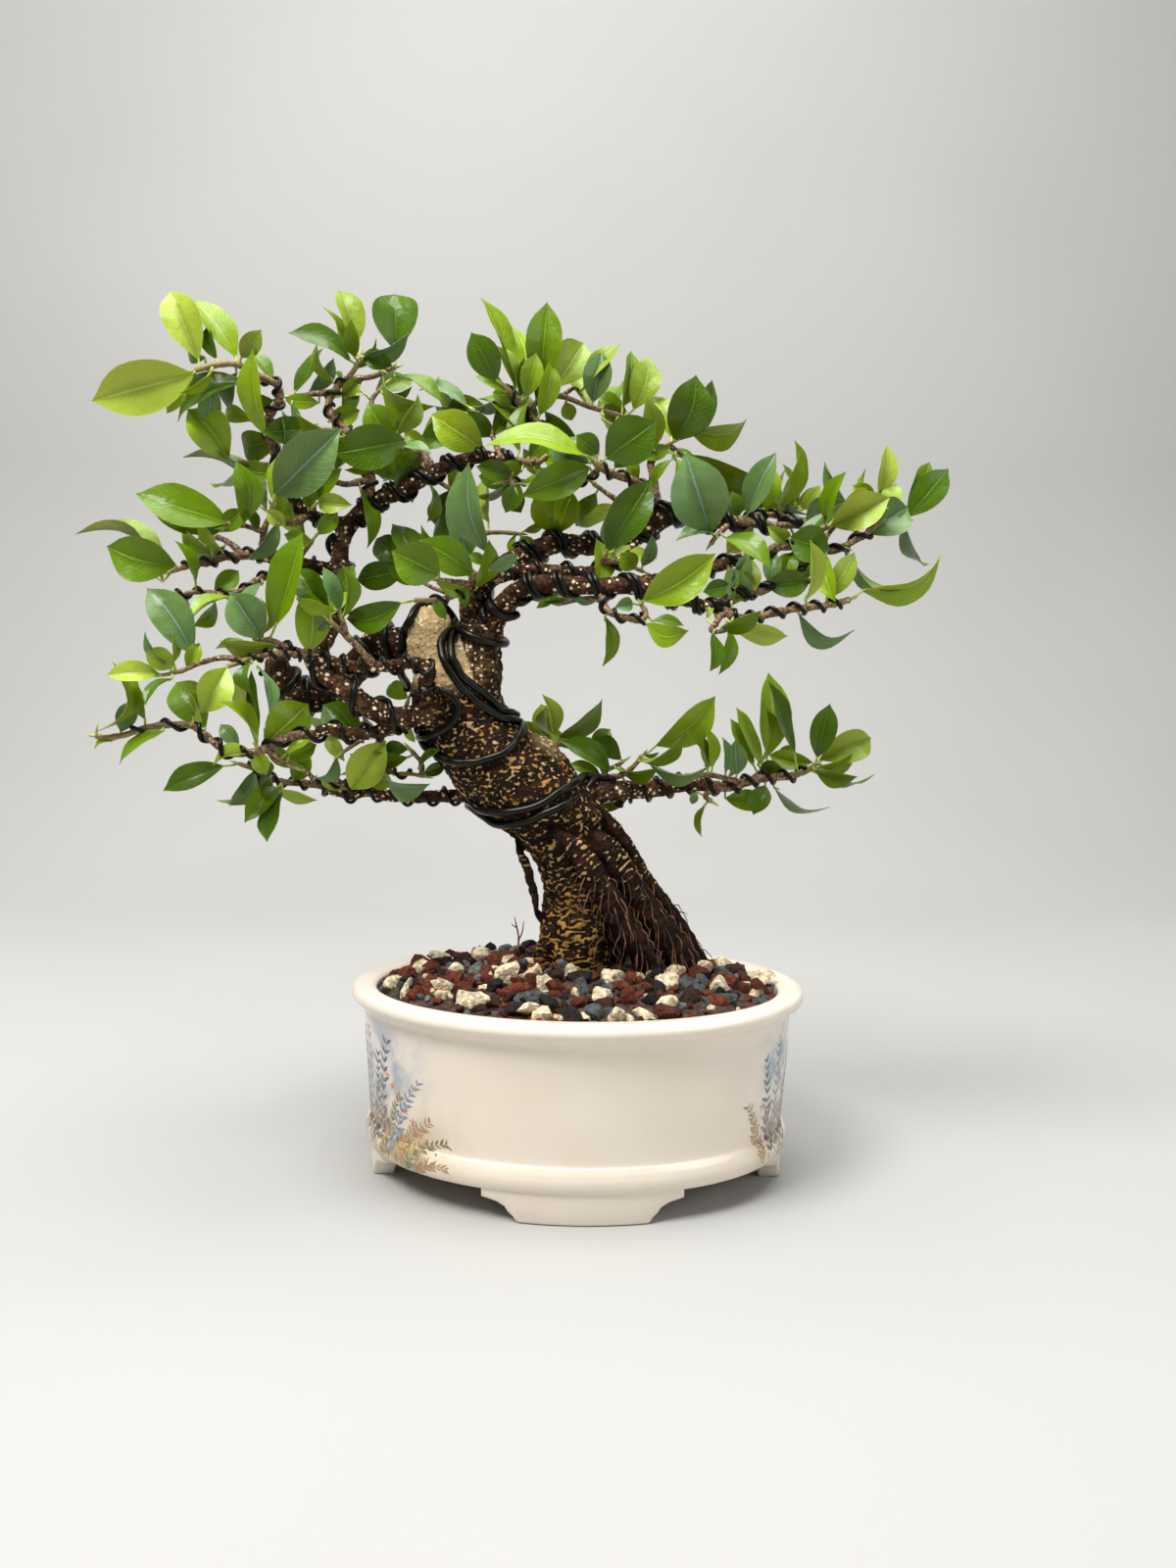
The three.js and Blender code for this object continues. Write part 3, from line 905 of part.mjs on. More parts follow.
// Stalk and blade as one closed body. Front and back of the blade are split the same way.
function leafSolid(row, start, nudge, grow, withStalk = true) {
    const [baseX, baseZ, tipX, tipZ, seenWidth, out, , side, bend] = row;
    const [startX, startZ, startDepth] = start.spot;
    const root = drawn(startX, startZ, startDepth);
    const base = drawn(baseX, baseZ, startDepth + (out + nudge) * baseShare);
    const tip = drawn(tipX, tipZ, startDepth + out + nudge);
    const length = base.distanceTo(tip);
    const along = tip.clone().sub(base).normalize();
    const toViewer = new THREE.Vector3(viewX, -viewDistance, viewHeight).sub(base).normalize();
    toViewer.addScaledVector(along, -toViewer.dot(along)).normalize();
    const flat = toViewer.clone().cross(along);
    const trueWidth = Math.max(seenWidth, leafTrueWidth * length);
    const turn = side * Math.acos(seenWidth / trueWidth);
    const across = flat.clone().multiplyScalar(Math.cos(turn)).addScaledVector(toViewer, Math.sin(turn));
    const face = along.clone().cross(across);
    const stalk = base.clone().sub(root).normalize();
    const foot = withStalk ? root.addScaledVector(stalk, -stalkDepth * start.radius)
        : base.clone().addScaledVector(along, -stalkHalfWidth);
    const points = bladeCut(foot, across, face, stalkRoot + grow, stalkRoot + grow);
    const cuts = seenWidth < slenderLeaf ? slenderCuts : leafCuts;
    cuts.forEach(([share, width, arch], i) => {
        const centre = base.clone().lerp(tip, share)
            .addScaledVector(face, leafArch * length * arch)
            .addScaledVector(flat, -bend * arch);
        const halfWidth = i === 0 ? stalkHalfWidth : (trueWidth / 2) * width;
        const halfThick = i === 0 ? stalkHalfThick : leafHalfThickness;
        points.push(...bladeCut(centre, across, face, halfWidth + grow, halfThick + grow));
    });
    const end = tip.clone().addScaledVector(along, grow);
    points.push(end.clone().addScaledVector(face, tipHalfThick + grow));
    points.push(end.clone().addScaledVector(face, -tipHalfThick - grow));
    return solidOf(points, leafTriangles(cuts.length));
}

// Four points to the stalk root and to each cut, then the two points of the tip edge.
function leafTriangles(cutCount) {
    const triangles = [[0, 2, 1], [0, 3, 2]];
    for (let cut = 0; cut < cutCount; cut += 1) {
        const [a, b, c, d] = [0, 1, 2, 3].map((corner) => corner + 4 * cut);
        triangles.push([a, b, b + 4], [a, b + 4, a + 4], [b, c, c + 4], [b, c + 4, b + 4]);
        triangles.push([c, d, c + 4], [d, d + 4, c + 4], [d, a, a + 4], [d, a + 4, d + 4]);
    }
    const [a, b, c, d] = [0, 1, 2, 3].map((corner) => corner + 4 * cutCount);
    const [front, back] = [d + 1, d + 2];
    triangles.push([a, b, front], [c, d, back], [b, c, back], [b, back, front]);
    triangles.push([d, a, front], [d, front, back]);
    return triangles;
}

function twigSolid([thick, thin, spots], grow) {
    const points = spots.map(([x, z, depth]) => drawn(x, z, depth));
    const radii = spots.map((spot, i) => thick + ((thin - thick) * i) / (spots.length - 1) + grow);
    return bar(points, radii, thick > sturdyTwig ? twigSides : shootSides);
}

function woodSolid(spray, grow) {
    return fuse(spray.twigs.map((twig) => twigSolid(twig, grow)));
}

function boxed(solid) {
    return { solid, box: solid.boundingBox() };
}

function meets(one, other) {
    const apart = [0, 1, 2].some((axis) => one.box.max[axis] < other.box.min[axis]
        || other.box.max[axis] < one.box.min[axis]);
    return !apart && one.solid.intersect(other.solid).volume() > 0;
}

// Scraps of leaf that show very little face are left out.
function showsFace([baseX, baseZ, tipX, tipZ, seenWidth]) {
    return Math.hypot(tipX - baseX, tipZ - baseZ) * seenWidth > smallestFace;
}

// Places a leaf on its twig, nudged along the sight line or along the twig until it is clear.
function clearLeaf(row, spots, taken, blades) {
    const nearest = nearestSpot(spots, row[0], row[1]);
    for (const nudge of leafNudges) {
        for (const slide of stalkSlides) {
            const start = spots[THREE.MathUtils.clamp(nearest + slide, 0, spots.length - 1)];
            const room = boxed(leafSolid(row, start, nudge, hair));
            const blade = boxed(leafSolid(row, start, nudge, 0, false));
            if (!taken.some((other) => meets(room, other)) && !blades.some((other) => meets(blade, other))) {
                blades.push(blade);
                return leafSolid(row, start, nudge, 0);
            }
        }
    }
    return null;
}

// The number of edges that don't join exactly two faces once close points are taken as one.
function touchingEdges(solid) {
    const { vertProperties, triVerts } = solid.getMesh();
    const rounded = (v) => Math.round(v / pointStep);
    const pointOf = (i) => Array.from(vertProperties.slice(3 * i, 3 * i + 3), rounded).join(" ");
    const uses = new Map();
    for (let t = 0; t < triVerts.length; t += 3) {
        const corners = [0, 1, 2].map((k) => pointOf(triVerts[t + k]));
        corners.forEach((corner, k) => {
            const next = corners[(k + 1) % 3];
            const edge = [corner, next].sort().join("|");
            uses.set(edge, (uses.get(edge) ?? 0) + (corner === next ? 2 : 1));
        });
    }
    return [...uses.values()].filter((count) => count !== 2).length;
}

// The main body of a solid, with slivers under the weld size taken out and no edge touching another.
function largestPiece(solid, weld = weldSize) {
    let first = null;
    for (const share of weldShares) {
        const pieces = solid.simplify(weld * share).decompose();
        const largest = pieces.reduce((best, piece) => (piece.volume() > best.volume() ? piece : best));
        if (touchingEdges(largest) === 0) {
            return largest;
        }
        first ??= largest;
    }
    return first;
}

function meshOf(name, solid, colour, roughness) {
    const { vertProperties, triVerts } = solid.getMesh();
    const geometry = new THREE.BufferGeometry();
    geometry.setAttribute("position", new THREE.BufferAttribute(new Float32Array(vertProperties), 3));
    geometry.setIndex(new THREE.BufferAttribute(new Uint32Array(triVerts), 1));
    const material = new THREE.MeshStandardMaterial({ color: colour, roughness });
    const mesh = new THREE.Mesh(geometry, material);
    mesh.name = name;
    return mesh;
}

// Wires laid over the trunk, then wires wound round limbs and twigs.
function addWires(group, trunkRoom, taken) {
    const wood = woodStretches();
    const wires = [];
    for (const [name, row] of Object.entries({ ...laidWires, ...coils })) {
        const points = row.line ? laidLine(row) : clearRun(woundLine(row), row, wood, wires);
        const solid = wireSolid(points, row.wire);
        const cut = row.line ? solid.subtract(trunkRoom) : solid;
        group.add(meshOf(name, largestPiece(cut), colours.wire, 0.45));
        wires.push(...wireStretches(points, row.wire));
        taken.push(boxed(solid));
    }
}

function addSprays(group, trunkRoom, taken) {
    const names = Object.keys(sprays);
    const wood = names.map((name) => boxed(woodSolid(sprays[name], 0)));
    const rooms = names.map((name) => boxed(woodSolid(sprays[name], jointRoom)));
    const clear = names.map((name, i) => {
        const others = rooms.slice(0, i).filter((other) => meets(wood[i], other)).map((other) => other.solid);
        return largestPiece(wood[i].solid.subtract(fuse([trunkRoom, ...others])), woodWeld);
    });
    const leafRooms = [];
    names.forEach((name, i) => {
        const spots = twigSpots(sprays[name]);
        const others = [...taken, ...wood.filter((other, k) => k !== i), ...leafRooms];
        const blades = [];
        const placed = sprays[name].leaves.filter(showsFace)
            .map((row) => clearLeaf(row, spots, others, blades))
            .filter(Boolean);
        leafRooms.push(...placed.map(boxed));
        const solid = largestPiece(fuse([clear[i], ...placed]), leafWeld);
        group.add(meshOf(name, solid, colours.leaves, 0.4));
    });
}

function build() {
    const group = new THREE.Group();
    const trunk = trunkSolid(0);
    const trunkRoom = trunkSolid(jointRoom);
    group.add(meshOf("pot", largestPiece(potSolid()), colours.glaze, 0.25));
    group.add(meshOf("gravel", largestPiece(gravelSolid(trunkRoom)), colours.gravel, 0.9));
    group.add(meshOf("trunk", largestPiece(trunk, woodWeld), colours.bark, 0.85));
    const taken = [boxed(trunk)];
    addWires(group, trunkRoom, taken);
    addSprays(group, trunkRoom, taken);
    return group;
}

// Moves everything so the middle of the whole object stands over the origin.
function centred(group) {
    const box = new THREE.Box3().setFromObject(group);
    const middle = box.getCenter(new THREE.Vector3());
    group.children.forEach((mesh) => mesh.geometry.translate(-middle.x, -middle.y, -box.min.z));
    return group;
}

export default centred(build());
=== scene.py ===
import math
import random

import bmesh
import bpy
import numpy as np
from mathutils import Matrix, Vector, noise
from mathutils.bvhtree import BVHTree


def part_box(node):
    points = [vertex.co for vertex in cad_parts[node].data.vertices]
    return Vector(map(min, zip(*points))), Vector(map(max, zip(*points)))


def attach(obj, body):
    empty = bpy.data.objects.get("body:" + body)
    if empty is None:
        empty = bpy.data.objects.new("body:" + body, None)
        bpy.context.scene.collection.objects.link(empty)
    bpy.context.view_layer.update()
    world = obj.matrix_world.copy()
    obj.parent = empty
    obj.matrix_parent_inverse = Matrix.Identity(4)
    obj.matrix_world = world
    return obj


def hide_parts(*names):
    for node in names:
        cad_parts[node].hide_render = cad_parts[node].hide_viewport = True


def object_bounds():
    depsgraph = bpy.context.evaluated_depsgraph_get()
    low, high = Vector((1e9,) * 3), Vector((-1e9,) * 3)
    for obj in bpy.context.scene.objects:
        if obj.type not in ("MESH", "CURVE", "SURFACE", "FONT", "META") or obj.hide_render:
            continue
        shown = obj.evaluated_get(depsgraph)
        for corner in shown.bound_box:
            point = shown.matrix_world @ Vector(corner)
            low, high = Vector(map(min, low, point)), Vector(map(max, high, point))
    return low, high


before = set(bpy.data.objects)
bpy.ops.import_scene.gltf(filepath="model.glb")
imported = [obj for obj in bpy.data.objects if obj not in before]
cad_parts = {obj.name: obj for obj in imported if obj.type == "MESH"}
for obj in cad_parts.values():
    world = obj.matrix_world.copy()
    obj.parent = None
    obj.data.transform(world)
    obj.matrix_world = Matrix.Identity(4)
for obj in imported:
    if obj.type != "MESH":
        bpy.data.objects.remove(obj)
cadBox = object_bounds()
mm = 0.001
potLow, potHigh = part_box("pot")
potMiddleX = (potLow.x + potHigh.x) / 2 / mm
print("frame loaded")

# The tables hold x, z and depth as drawn from this viewpoint, measured from the pot's middle.
sight = {"x": -33, "distance": 550, "height": 225, "level": 7}
eye = Vector((potMiddleX + sight["x"], -sight["distance"], sight["height"])) * mm


def spreadAt(depth):
    return (sight["distance"] + depth) / sight["distance"]


def drawn(x, z, depth):
    spread = spreadAt(depth)
    across = potMiddleX + sight["x"] + (x - sight["x"]) * spread
    height = sight["height"] + (z + sight["level"] - sight["height"]) * spread
    return Vector((across, depth, height)) * mm


# Wood: across, height and depth of the drawing, and radius
limbs = {
    "bole": [[0, 70, 0, 18], [-1, 90, 0, 17.5], [-1, 105, 0, 16.5], [0, 120, 1, 15], [-2, 135, 2, 16],
        [-8, 150, 2, 19], [-20, 164, 3, 21], [-32, 174, 4, 21], [-43, 184, 5, 20], [-51, 195, 5, 19.5],
        [-56, 207, 5, 19], [-59, 220, 5, 18], [-65, 230, 6, 12.5], [-67, 242, 6, 9.5]],
    "fork": [[-50, 205, 2, 12], [-47, 218, 1, 12], [-46, 229, 0, 10.5], [-44, 238, 0, 9]],
    "forkLeft": [[-45, 234, 0, 6], [-49, 244, 1, 5.2], [-48, 253, 2, 5], [-40, 262, 4, 4.8]],
    "forkRight": [[-42, 236, 0, 6], [-38, 244, -3, 5.5], [-33, 250, -8, 5], [-26, 256, -13, 4.6],
        [-17, 258, -18, 4.2], [-7, 258, -22, 4], [3, 257.4, -24, 4], [14, 257.4, -26, 3.8],
        [25, 257, -26, 3.6], [39, 252.4, -24, 3], [50.6, 250.2, -22, 2.6], [60, 248, -21, 2.4]],
    "upperRight": [[-44, 258, 3, 5], [-34, 266, 6, 4.8], [-22, 272, 8, 4.6], [-10, 276, 9, 4.4],
        [3, 275, 8, 4.4], [12, 275.5, 7, 4.2], [23, 278.5, 5, 4.2], [30, 284, 4, 5], [38, 289, 4, 5],
        [47, 290, 3, 4.4], [55, 286, 2, 3.6], [64, 286, 0, 2.8]],
    "middleRight": [[-46, 256, -2, 4], [-37, 262, -6, 3.8], [-19, 264, -9, 3.2], [-8, 263.5, -10, 3],
        [3, 263, -10, 3], [9, 265, -9, 2.8], [16, 268, -7, 2.6], [21, 272, -3, 2.4], [25, 278, 2, 2.2]],
    "rightShelf": [[14, 258, -25, 3.4], [27, 259, -20, 3.4], [40, 261, -16, 3.2], [52, 264, -14, 3],
        [62, 267, -12, 2.8], [72, 270, -10, 2.4]],
    "darkLeft": [[-60, 229, 12, 9], [-78, 231, 20, 7.6], [-90, 231, 25, 7.2], [-98, 223, 28, 7],
        [-108, 213, 29, 7], [-118, 207, 28, 7], [-128, 209, 25, 7], [-134, 216, 22, 6.6],
        [-136, 224, 20, 5]],
    "speckledLeft": [[-56, 200, -2, 8], [-70, 200, -11, 5.4], [-82, 198, -16, 5], [-93, 202, -19, 4.8],
        [-104, 210, -20, 4.8], [-114, 218, -18, 4.8], [-119, 224, -15, 4.6], [-116, 230, -12, 4.6],
        [-112, 238, -8, 4.4], [-109, 247, -3, 4.2], [-106, 256, 2, 4.2], [-107, 265, 6, 4],
        [-107, 274, 8, 4], [-103, 283, 10, 4], [-96, 290, 10, 4], [-88, 295.5, 9, 3.8], [-80, 298, 8, 3.6],
        [-70, 304, 5, 3.4], [-60, 309, 2, 3.2], [-48, 313, 0, 3], [-38, 313, -1, 2.6]],
    "lowLeft": [[-70, 200, -10, 4], [-80, 195.5, -12, 3.6], [-88, 192.5, -14, 3.2], [-97, 191, -16, 3],
        [-105, 191, -17, 3], [-113, 193, -18, 2.8], [-120, 190, -18, 2.4]],
    "lowestLeft": [[-40, 165, 10, 4], [-52, 163.5, 14, 3.2], [-62, 163, 16, 3], [-74, 162.5, 18, 2.8],
        [-86, 163, 18, 2.6], [-95, 165, 18, 2.6], [-103, 163.5, 18, 2.6], [-112, 165.5, 17, 2.4]],
    "hookLeft": [[-64, 205, -14, 4], [-69, 209, -21, 3.2], [-69.5, 214, -24, 3.2], [-67.5, 219, -25, 3.2],
        [-72, 222.5, -25, 3], [-80, 222, -25, 2.8], [-90, 221, -24, 2.6], [-100, 221, -22, 2.6],
        [-110, 223.5, -21, 2.4], [-119, 224.5, -22, 2.2]],
    "lowRight": [[-6, 166, 8, 6], [8, 165, 12, 5.4], [18, 166, 15, 4.6], [26, 166.5, 16, 4.2],
        [34, 167, 16, 4], [44, 169, 15, 3.8], [52, 169.5, 13, 3.4], [60, 168.5, 12, 2.8]],
    "outerLeft": [[-106, 262, 6, 3.6], [-114, 264, 8, 3.2], [-124, 266, 9, 3], [-134, 267, 9, 2.8],
        [-143, 270.5, 8, 2.6]],
    "subLeft": [[-104, 283, 10, 3.4], [-112, 285, 9, 3], [-119, 287, 7, 2.8], [-124, 291, 5, 2.6],
        [-128.6, 296, 4, 2.4]],
    "rootRight": [[-8, 156, -4, 9], [4, 146, -5, 9], [15, 133, -5, 9], [25, 118, -3, 9], [35, 103, -2, 10],
        [45, 92, 0, 9], [54, 82, 2, 6]],
    "rootFront": [[-12, 150, -12, 7], [0, 138, -15, 7], [9, 124, -16, 6.6], [18, 110, -14, 7],
        [26, 98, -12, 7.6], [33, 86, -10, 6]],
    "rootEdge": [[2, 160, 4, 6], [13, 150, 4, 5.6], [21, 140, 5, 5], [30, 126, 6, 4.4], [41, 112, 7, 4.2],
        [50, 99, 8, 4.2], [58, 86, 8, 3.4]],
    "rootLeft": [[-5, 112, -3, 10], [-9, 100, -4, 9.6], [-13, 88, -4, 8]],
    "aerialRoot": [[-24, 158, -2, 3], [-29, 149, -3, 2.6], [-26, 139, -3, 2.2], [-22, 127, -3, 1.9],
        [-19, 115, -4, 1.7], [-17, 103, -4, 1.8], [-16, 92, -4, 2]],
}

# Sprays: twigs have a radius at both ends and the spots of their line; leaves have base, tip, the width
# that shows, how far out the tip lies, tone (4 is a grey-blue painted sheen), and where they are given the
# side it turns and its bend
sprays = {
    "tipLeft": {
        "twigs": [
            [2.2, 1.2, [[-128.6, 296, 4], [-131, 305, 2], [-135, 312, 0], [-138, 322, -3], [-138, 330, -5],
                [-134, 336, -6], [-134, 343, -7], [-141.5, 347, -9], [-151, 352, -10], [-160, 352, -12],
                [-170, 349.5, -13]]],
            [1.2, 0.9, [[-133, 308.5, 1], [-143, 309.5, 2], [-152, 310.5, 3]]]],
        "leaves": [
            [-171, 348, -216, 336, 22, -8, 3], [-168.5, 354, -180.5, 383.5, 16, 6, 3, -1, 0],
            [-152, 355, -173, 380, 12, 12, 2], [-150, 355, -141, 367, 9, 10, 3],
            [-140, 322, -145, 359, 10, -14, 2, -1, 1], [-148, 345, -179, 328.5, 10, 10, 0, 1, 2],
            [-163, 345, -165, 324, 10, 14, 4], [-174, 342, -183, 331, 6, 4, 3],
            [-146, 328, -158, 332, 8, 14, 2], [-156, 311.5, -174, 333, 18, -4, 2, 1, 2],
            [-134, 320, -150, 316, 14, 20, 1], [-137, 305, -150, 307, 10, 16, 2, -1, 0],
            [-136, 337, -150, 334, 9, 22, 1]]},
    "crownLeft": {
        "twigs": [
            [2.6, 1.1, [[-96, 290, 10], [-94, 298, 8], [-94, 305.5, 8], [-95, 312, 8], [-100, 320, 9],
                [-108, 328, 10], [-112, 335, 12], [-108, 342.5, 13], [-104, 346, 14], [-100, 351, 16],
                [-98, 356, 18]]],
            [1.4, 0.9, [[-108, 341, 13], [-120, 339.5, 16], [-129, 338.5, 18]]],
            [1.4, 0.9, [[-104, 346, 14], [-94, 347, 12], [-88, 349, 12], [-83, 351, 14]]],
            [1.6, 0.9, [[-100, 320, 9], [-92, 328, 18], [-93, 337, 26], [-87, 344, 30]]],
            [1.6, 1, [[-96, 309, 8], [-88, 315, -2], [-80, 318, -8]]],
            [1.4, 1, [[-101, 322, 9], [-110, 324, 4], [-118, 325, 2]]],
            [1.6, 1, [[-94, 303, 8], [-104, 301, 4], [-112, 302.6, 0], [-121, 301, -4]]]],
        "leaves": [
            [-101, 359, -107, 384.5, 11.5, 8, 3], [-82, 358, -83, 383.5, 20.6, 10, 0],
            [-102, 354, -129, 366, 9, -14, 0, 1, 2], [-105, 359, -113, 377, 4, 16, 2],
            [-110, 345, -117, 362, 5, 14, 2, -1, -2], [-127, 340, -115, 360, 6, 18, 0, -1, 2],
            [-120, 341, -109, 355, 7, 20, 4], [-88, 350, -66.6, 334, 8.5, -12, 2, 1, 6],
            [-97, 347, -106, 339, 7, -10, 3], [-84, 352, -97, 357, 9, 20, 0],
            [-96, 340, -112, 339, 5, 18, 3], [-116, 336, -131, 337, 7, -16, 2, -1, 0],
            [-120, 325, -141, 323, 12, -10, 0], [-112, 328, -98, 333, 9, -10, 2],
            [-78, 320, -110, 314, 19, -10, 0, -1, 0], [-84, 319, -95, 336, 14, -4, 1],
            [-82, 323, -72, 340, 7, 6, 3], [-91, 330, -76, 331, 11, 18, 1],
            [-91, 341, -75, 346, 9, 20, 1, -1, 0], [-117, 327, -128, 311, 9, 10, 1],
            [-100, 319, -115, 309, 10, 16, 2], [-85, 316, -88, 303, 9, 16, 1]]},
    "bigLeft": {
        "twigs": [
            [1.8, 1.2, [[-121, 287.5, 6], [-128, 284, 0], [-134, 286, -6], [-137, 291, -10]]]],
        "leaves": [
            [-136, 296, -106.5, 325, 22, -16, 4], [-121, 291, -121, 303, 6, -8, 1],
            [-117, 293, -102, 292, 9, -10, 3], [-118, 294, -106, 308, 8, -6, 1, -1, 0],
            [-132, 283, -140, 290, 7, 10, 3]]},
    "crownRidge": {
        "twigs": [
            [2, 1, [[-66, 306, 4], [-70, 314, 6], [-78, 319, 10], [-84, 321, 14]]],
            [1.6, 1, [[-70, 314, 6], [-76, 309, 15], [-85, 304, 22]]],
            [1.4, 0.9, [[-74, 310.5, 12], [-66, 304, 18], [-58, 299, 20]]]],
        "leaves": [
            [-68, 315, -79, 324, 8, 12, 2], [-84, 320, -96, 311, 13, 22, 2],
            [-84, 300, -72, 318, 12, 24, 2], [-74, 302, -88, 313, 11, -8, 0],
            [-77, 306, -75, 293, 7, 18, 3], [-58, 299, -65, 283, 13, 12, 0],
            [-59, 300, -52, 312, 10, 24, 3], [-72, 316, -60, 326, 12, 20, 1, -1, 0],
            [-82, 322, -76, 335, 9, 26, 1]]},
    "ridgeEnd": {
        "twigs": [
            [2, 1.2, [[-40, 313, -1], [-33, 312.5, -2], [-26, 311, -2], [-20, 311, -2], [-16, 314, -2]]],
            [1.3, 0.9, [[-36, 313, -2], [-39, 320, 6], [-42, 328, 14], [-48, 333, 18]]],
            [1.3, 0.9, [[-30, 312, -2], [-32, 305, -8], [-30, 300, -10]]]],
        "leaves": [
            [-44, 317, -67, 331.5, 17, -12, 2], [-51, 335, -72, 343.5, 6, 10, 4],
            [-50, 333, -66, 334, 7, -4, 0, -1, 0], [-43, 335, -60, 334, 9, 16, 1],
            [-41, 322, -51, 333, 9, -8, 0], [-40, 322, -28, 335, 10, 18, 1, -1, 0],
            [-19, 317, -46, 339, 13, 6, 1, 1, 1], [-31, 306, -47, 309, 9, -4, 0],
            [-27, 307, -36, 310, 7, 10, 2], [-28, 302, -34, 289, 9, 4, 0], [-24, 313, -14, 323, 9, 20, 1],
            [-18, 314, -4, 309, 9, 14, 2]]},
    "crownMiddle": {
        "twigs": [
            [2, 1.1, [[-22, 311, -2], [-15, 318, 4], [-18, 326, 6], [-24, 331, 6], [-28, 336, 5],
                [-31, 340, 4], [-35, 344, 3]]],
            [1.5, 1, [[-25, 332, 6], [-21, 336.5, 8], [-15, 338, 10], [-10, 339.6, 12], [0, 336, 14],
                [10, 333, 16], [18, 331, 18]]],
            [1, 0.8, [[-10, 339.6, 12], [-4, 343, 16], [-1, 340, 20]]]],
        "leaves": [
            [-38, 346, -49.5, 366.5, 14, -6, 0], [-29, 344, -44, 382, 6.5, 4, 2, 1, -4],
            [-30, 343, -39, 362, 6, -8, 3], [-28, 339, -26, 356, 7, -10, 0],
            [-25, 343, -31, 369, 12, 14, 2], [-25, 339, -21, 358, 10, -4, 2, -1, 0],
            [-19, 344, -16.5, 379.5, 16, -4, 1], [-21, 338, -13.5, 351, 9, -8, 0],
            [-13, 343, 0, 363, 18, 12, 3], [4, 337, 7.7, 359, 13, -4, 4], [17, 335, 20, 359, 9, 10, 3],
            [22, 334, 28, 357, 14, 6, 3, 1, 2], [19, 333, 6, 339, 10, 14, 2], [20, 330, 7, 333, 9, -8, 1],
            [-17, 333, -3, 321.5, 7, -6, 0], [-8, 337, -5, 329, 7, 6, 2], [-27, 338, -40, 341, 10, 24, 1],
            [12, 331, 16, 345, 10, 24, 1, -1, 0], [2, 335, -6, 350, 10, 28, 2]]},
    "crownKnot": {
        "twigs": [
            [2.2, 1.4, [[29, 286, 3], [30, 293, 0], [28, 299, -3], [22, 303.5, -6], [13.6, 306, -9],
                [8, 309, -11], [5, 312, -12]]],
            [1.3, 0.9, [[8, 309, -11], [3, 305, -4], [-4, 301.5, 2], [-14, 301, 6], [-27, 303, 8],
                [-36, 302, 8]]],
            [1.4, 1, [[29, 296, -1], [20, 293, 6], [12, 297, 8], [5, 302, 8]]]],
        "leaves": [
            [10, 313, 32, 329, 21, -10, 0, -1, 0], [2, 314, -42, 321, 9.5, -10, 2],
            [3, 311, -16, 317.5, 9, 6, 4], [7, 315, -3, 323, 10, 10, 0],
            [3, 309, -26.6, 296.5, 15, -12, 1], [-12, 304, -12, 279, 22, 8, 2],
            [6, 298, -3, 283, 11, 20, 1], [-30, 302, -46, 305, 9, 8, 0, -1, 0],
            [-34, 301, -27, 289, 10, -6, 0], [14, 309, 24, 320, 9, 14, 1]]},
    "tallTwig": {
        "twigs": [
            [2.2, 1.1, [[34, 290, 4], [32.5, 297, 4], [31, 305, 5], [30, 312, 6], [33, 316.5, 6],
                [36, 318.5, 6], [39, 320, 6]]],
            [1.2, 0.9, [[37, 319, 6], [42, 316, 8], [44, 314, 9]]]],
        "leaves": [
            [40, 321, 49, 349, 20, -12, 0, -1, 3], [42, 321, 57, 347, 10, 6, 0],
            [39, 322, 29, 340, 10, 14, 2], [46, 326, 73, 329, 11, 18, 2, 1, 2],
            [44, 315, 81.5, 297, 22, 10, 1, -1, 6], [38, 318, 26, 313, 7, 16, 1]]},
    "centreTwigs": {
        "twigs": [
            [1.8, 1.1, [[-44, 252, 0], [-50, 256, -6], [-46, 262, -12], [-42, 265, -16]]],
            [1.3, 0.9, [[-46, 261, -11], [-52, 266, -6], [-56, 272, 0], [-52, 278, 4], [-44, 280, 6],
                [-36, 280.5, 8], [-28, 280, 10]]],
            [1.3, 0.9, [[-49, 258, -8], [-58, 259, -14], [-66, 260, -16]]]],
        "leaves": [
            [-42, 272, -50, 311, 14.5, -12, 4, -1, -2], [-50, 268, -57, 300, 13, -4, 4, 1, -2],
            [-48, 262, -72, 277, 15, -8, 1, 1, 1], [-41, 264, -28, 271, 6, -8, 4],
            [-42, 267, -50, 271, 5, -8, 1], [-26, 281, -16, 286, 4, 2, 3], [-27, 279, -22, 271, 8, 8, 1],
            [-29, 280, -31, 270, 3, 4, 2], [-63, 262, -84, 272, 19, -10, 1],
            [-64, 258, -50, 254, 8, -8, 2], [-52, 258, -52, 247, 5, 10, 1],
            [-54, 279, -66, 284, 12, 16, 0]]},
    "longShelf": {
        "twigs": [
            [1.5, 0.9, [[-42, 255, 2], [-52, 254, -6], [-62, 251, -12], [-74, 250.5, -16]]],
            [1, 0.8, [[-55, 253, -8], [-66, 256, 0], [-76, 262, 6]]]],
        "leaves": [
            [-80, 249.5, -105, 242, 13, 12, 0, 1, -3], [-78, 264, -100, 259, 13, 8, 0],
            [-77, 265, -92, 278, 13, 14, 0, -1, 0], [-70, 259, -84, 284, 12, 20, 1],
            [-66, 252, -60, 242, 5, 6, 1]]},
    "middleLoop": {
        "twigs": [
            [1.4, 1, [[8, 257, -25], [10.5, 249, -32], [14, 245, -35], [20, 243.5, -36], [26, 242, -35],
                [29, 245, -32], [27, 249, -30]]],
            [1.2, 0.9, [[10.3, 250, -31], [5, 252, -22], [-3, 251, -14], [-10, 249.5, -11],
                [-16, 251, -8]]]],
        "leaves": [
            [27.5, 251, 59.5, 272, 17, -14, 2, 1, 2], [29, 241, 48, 238, 9.5, -6, 2, 1, 4],
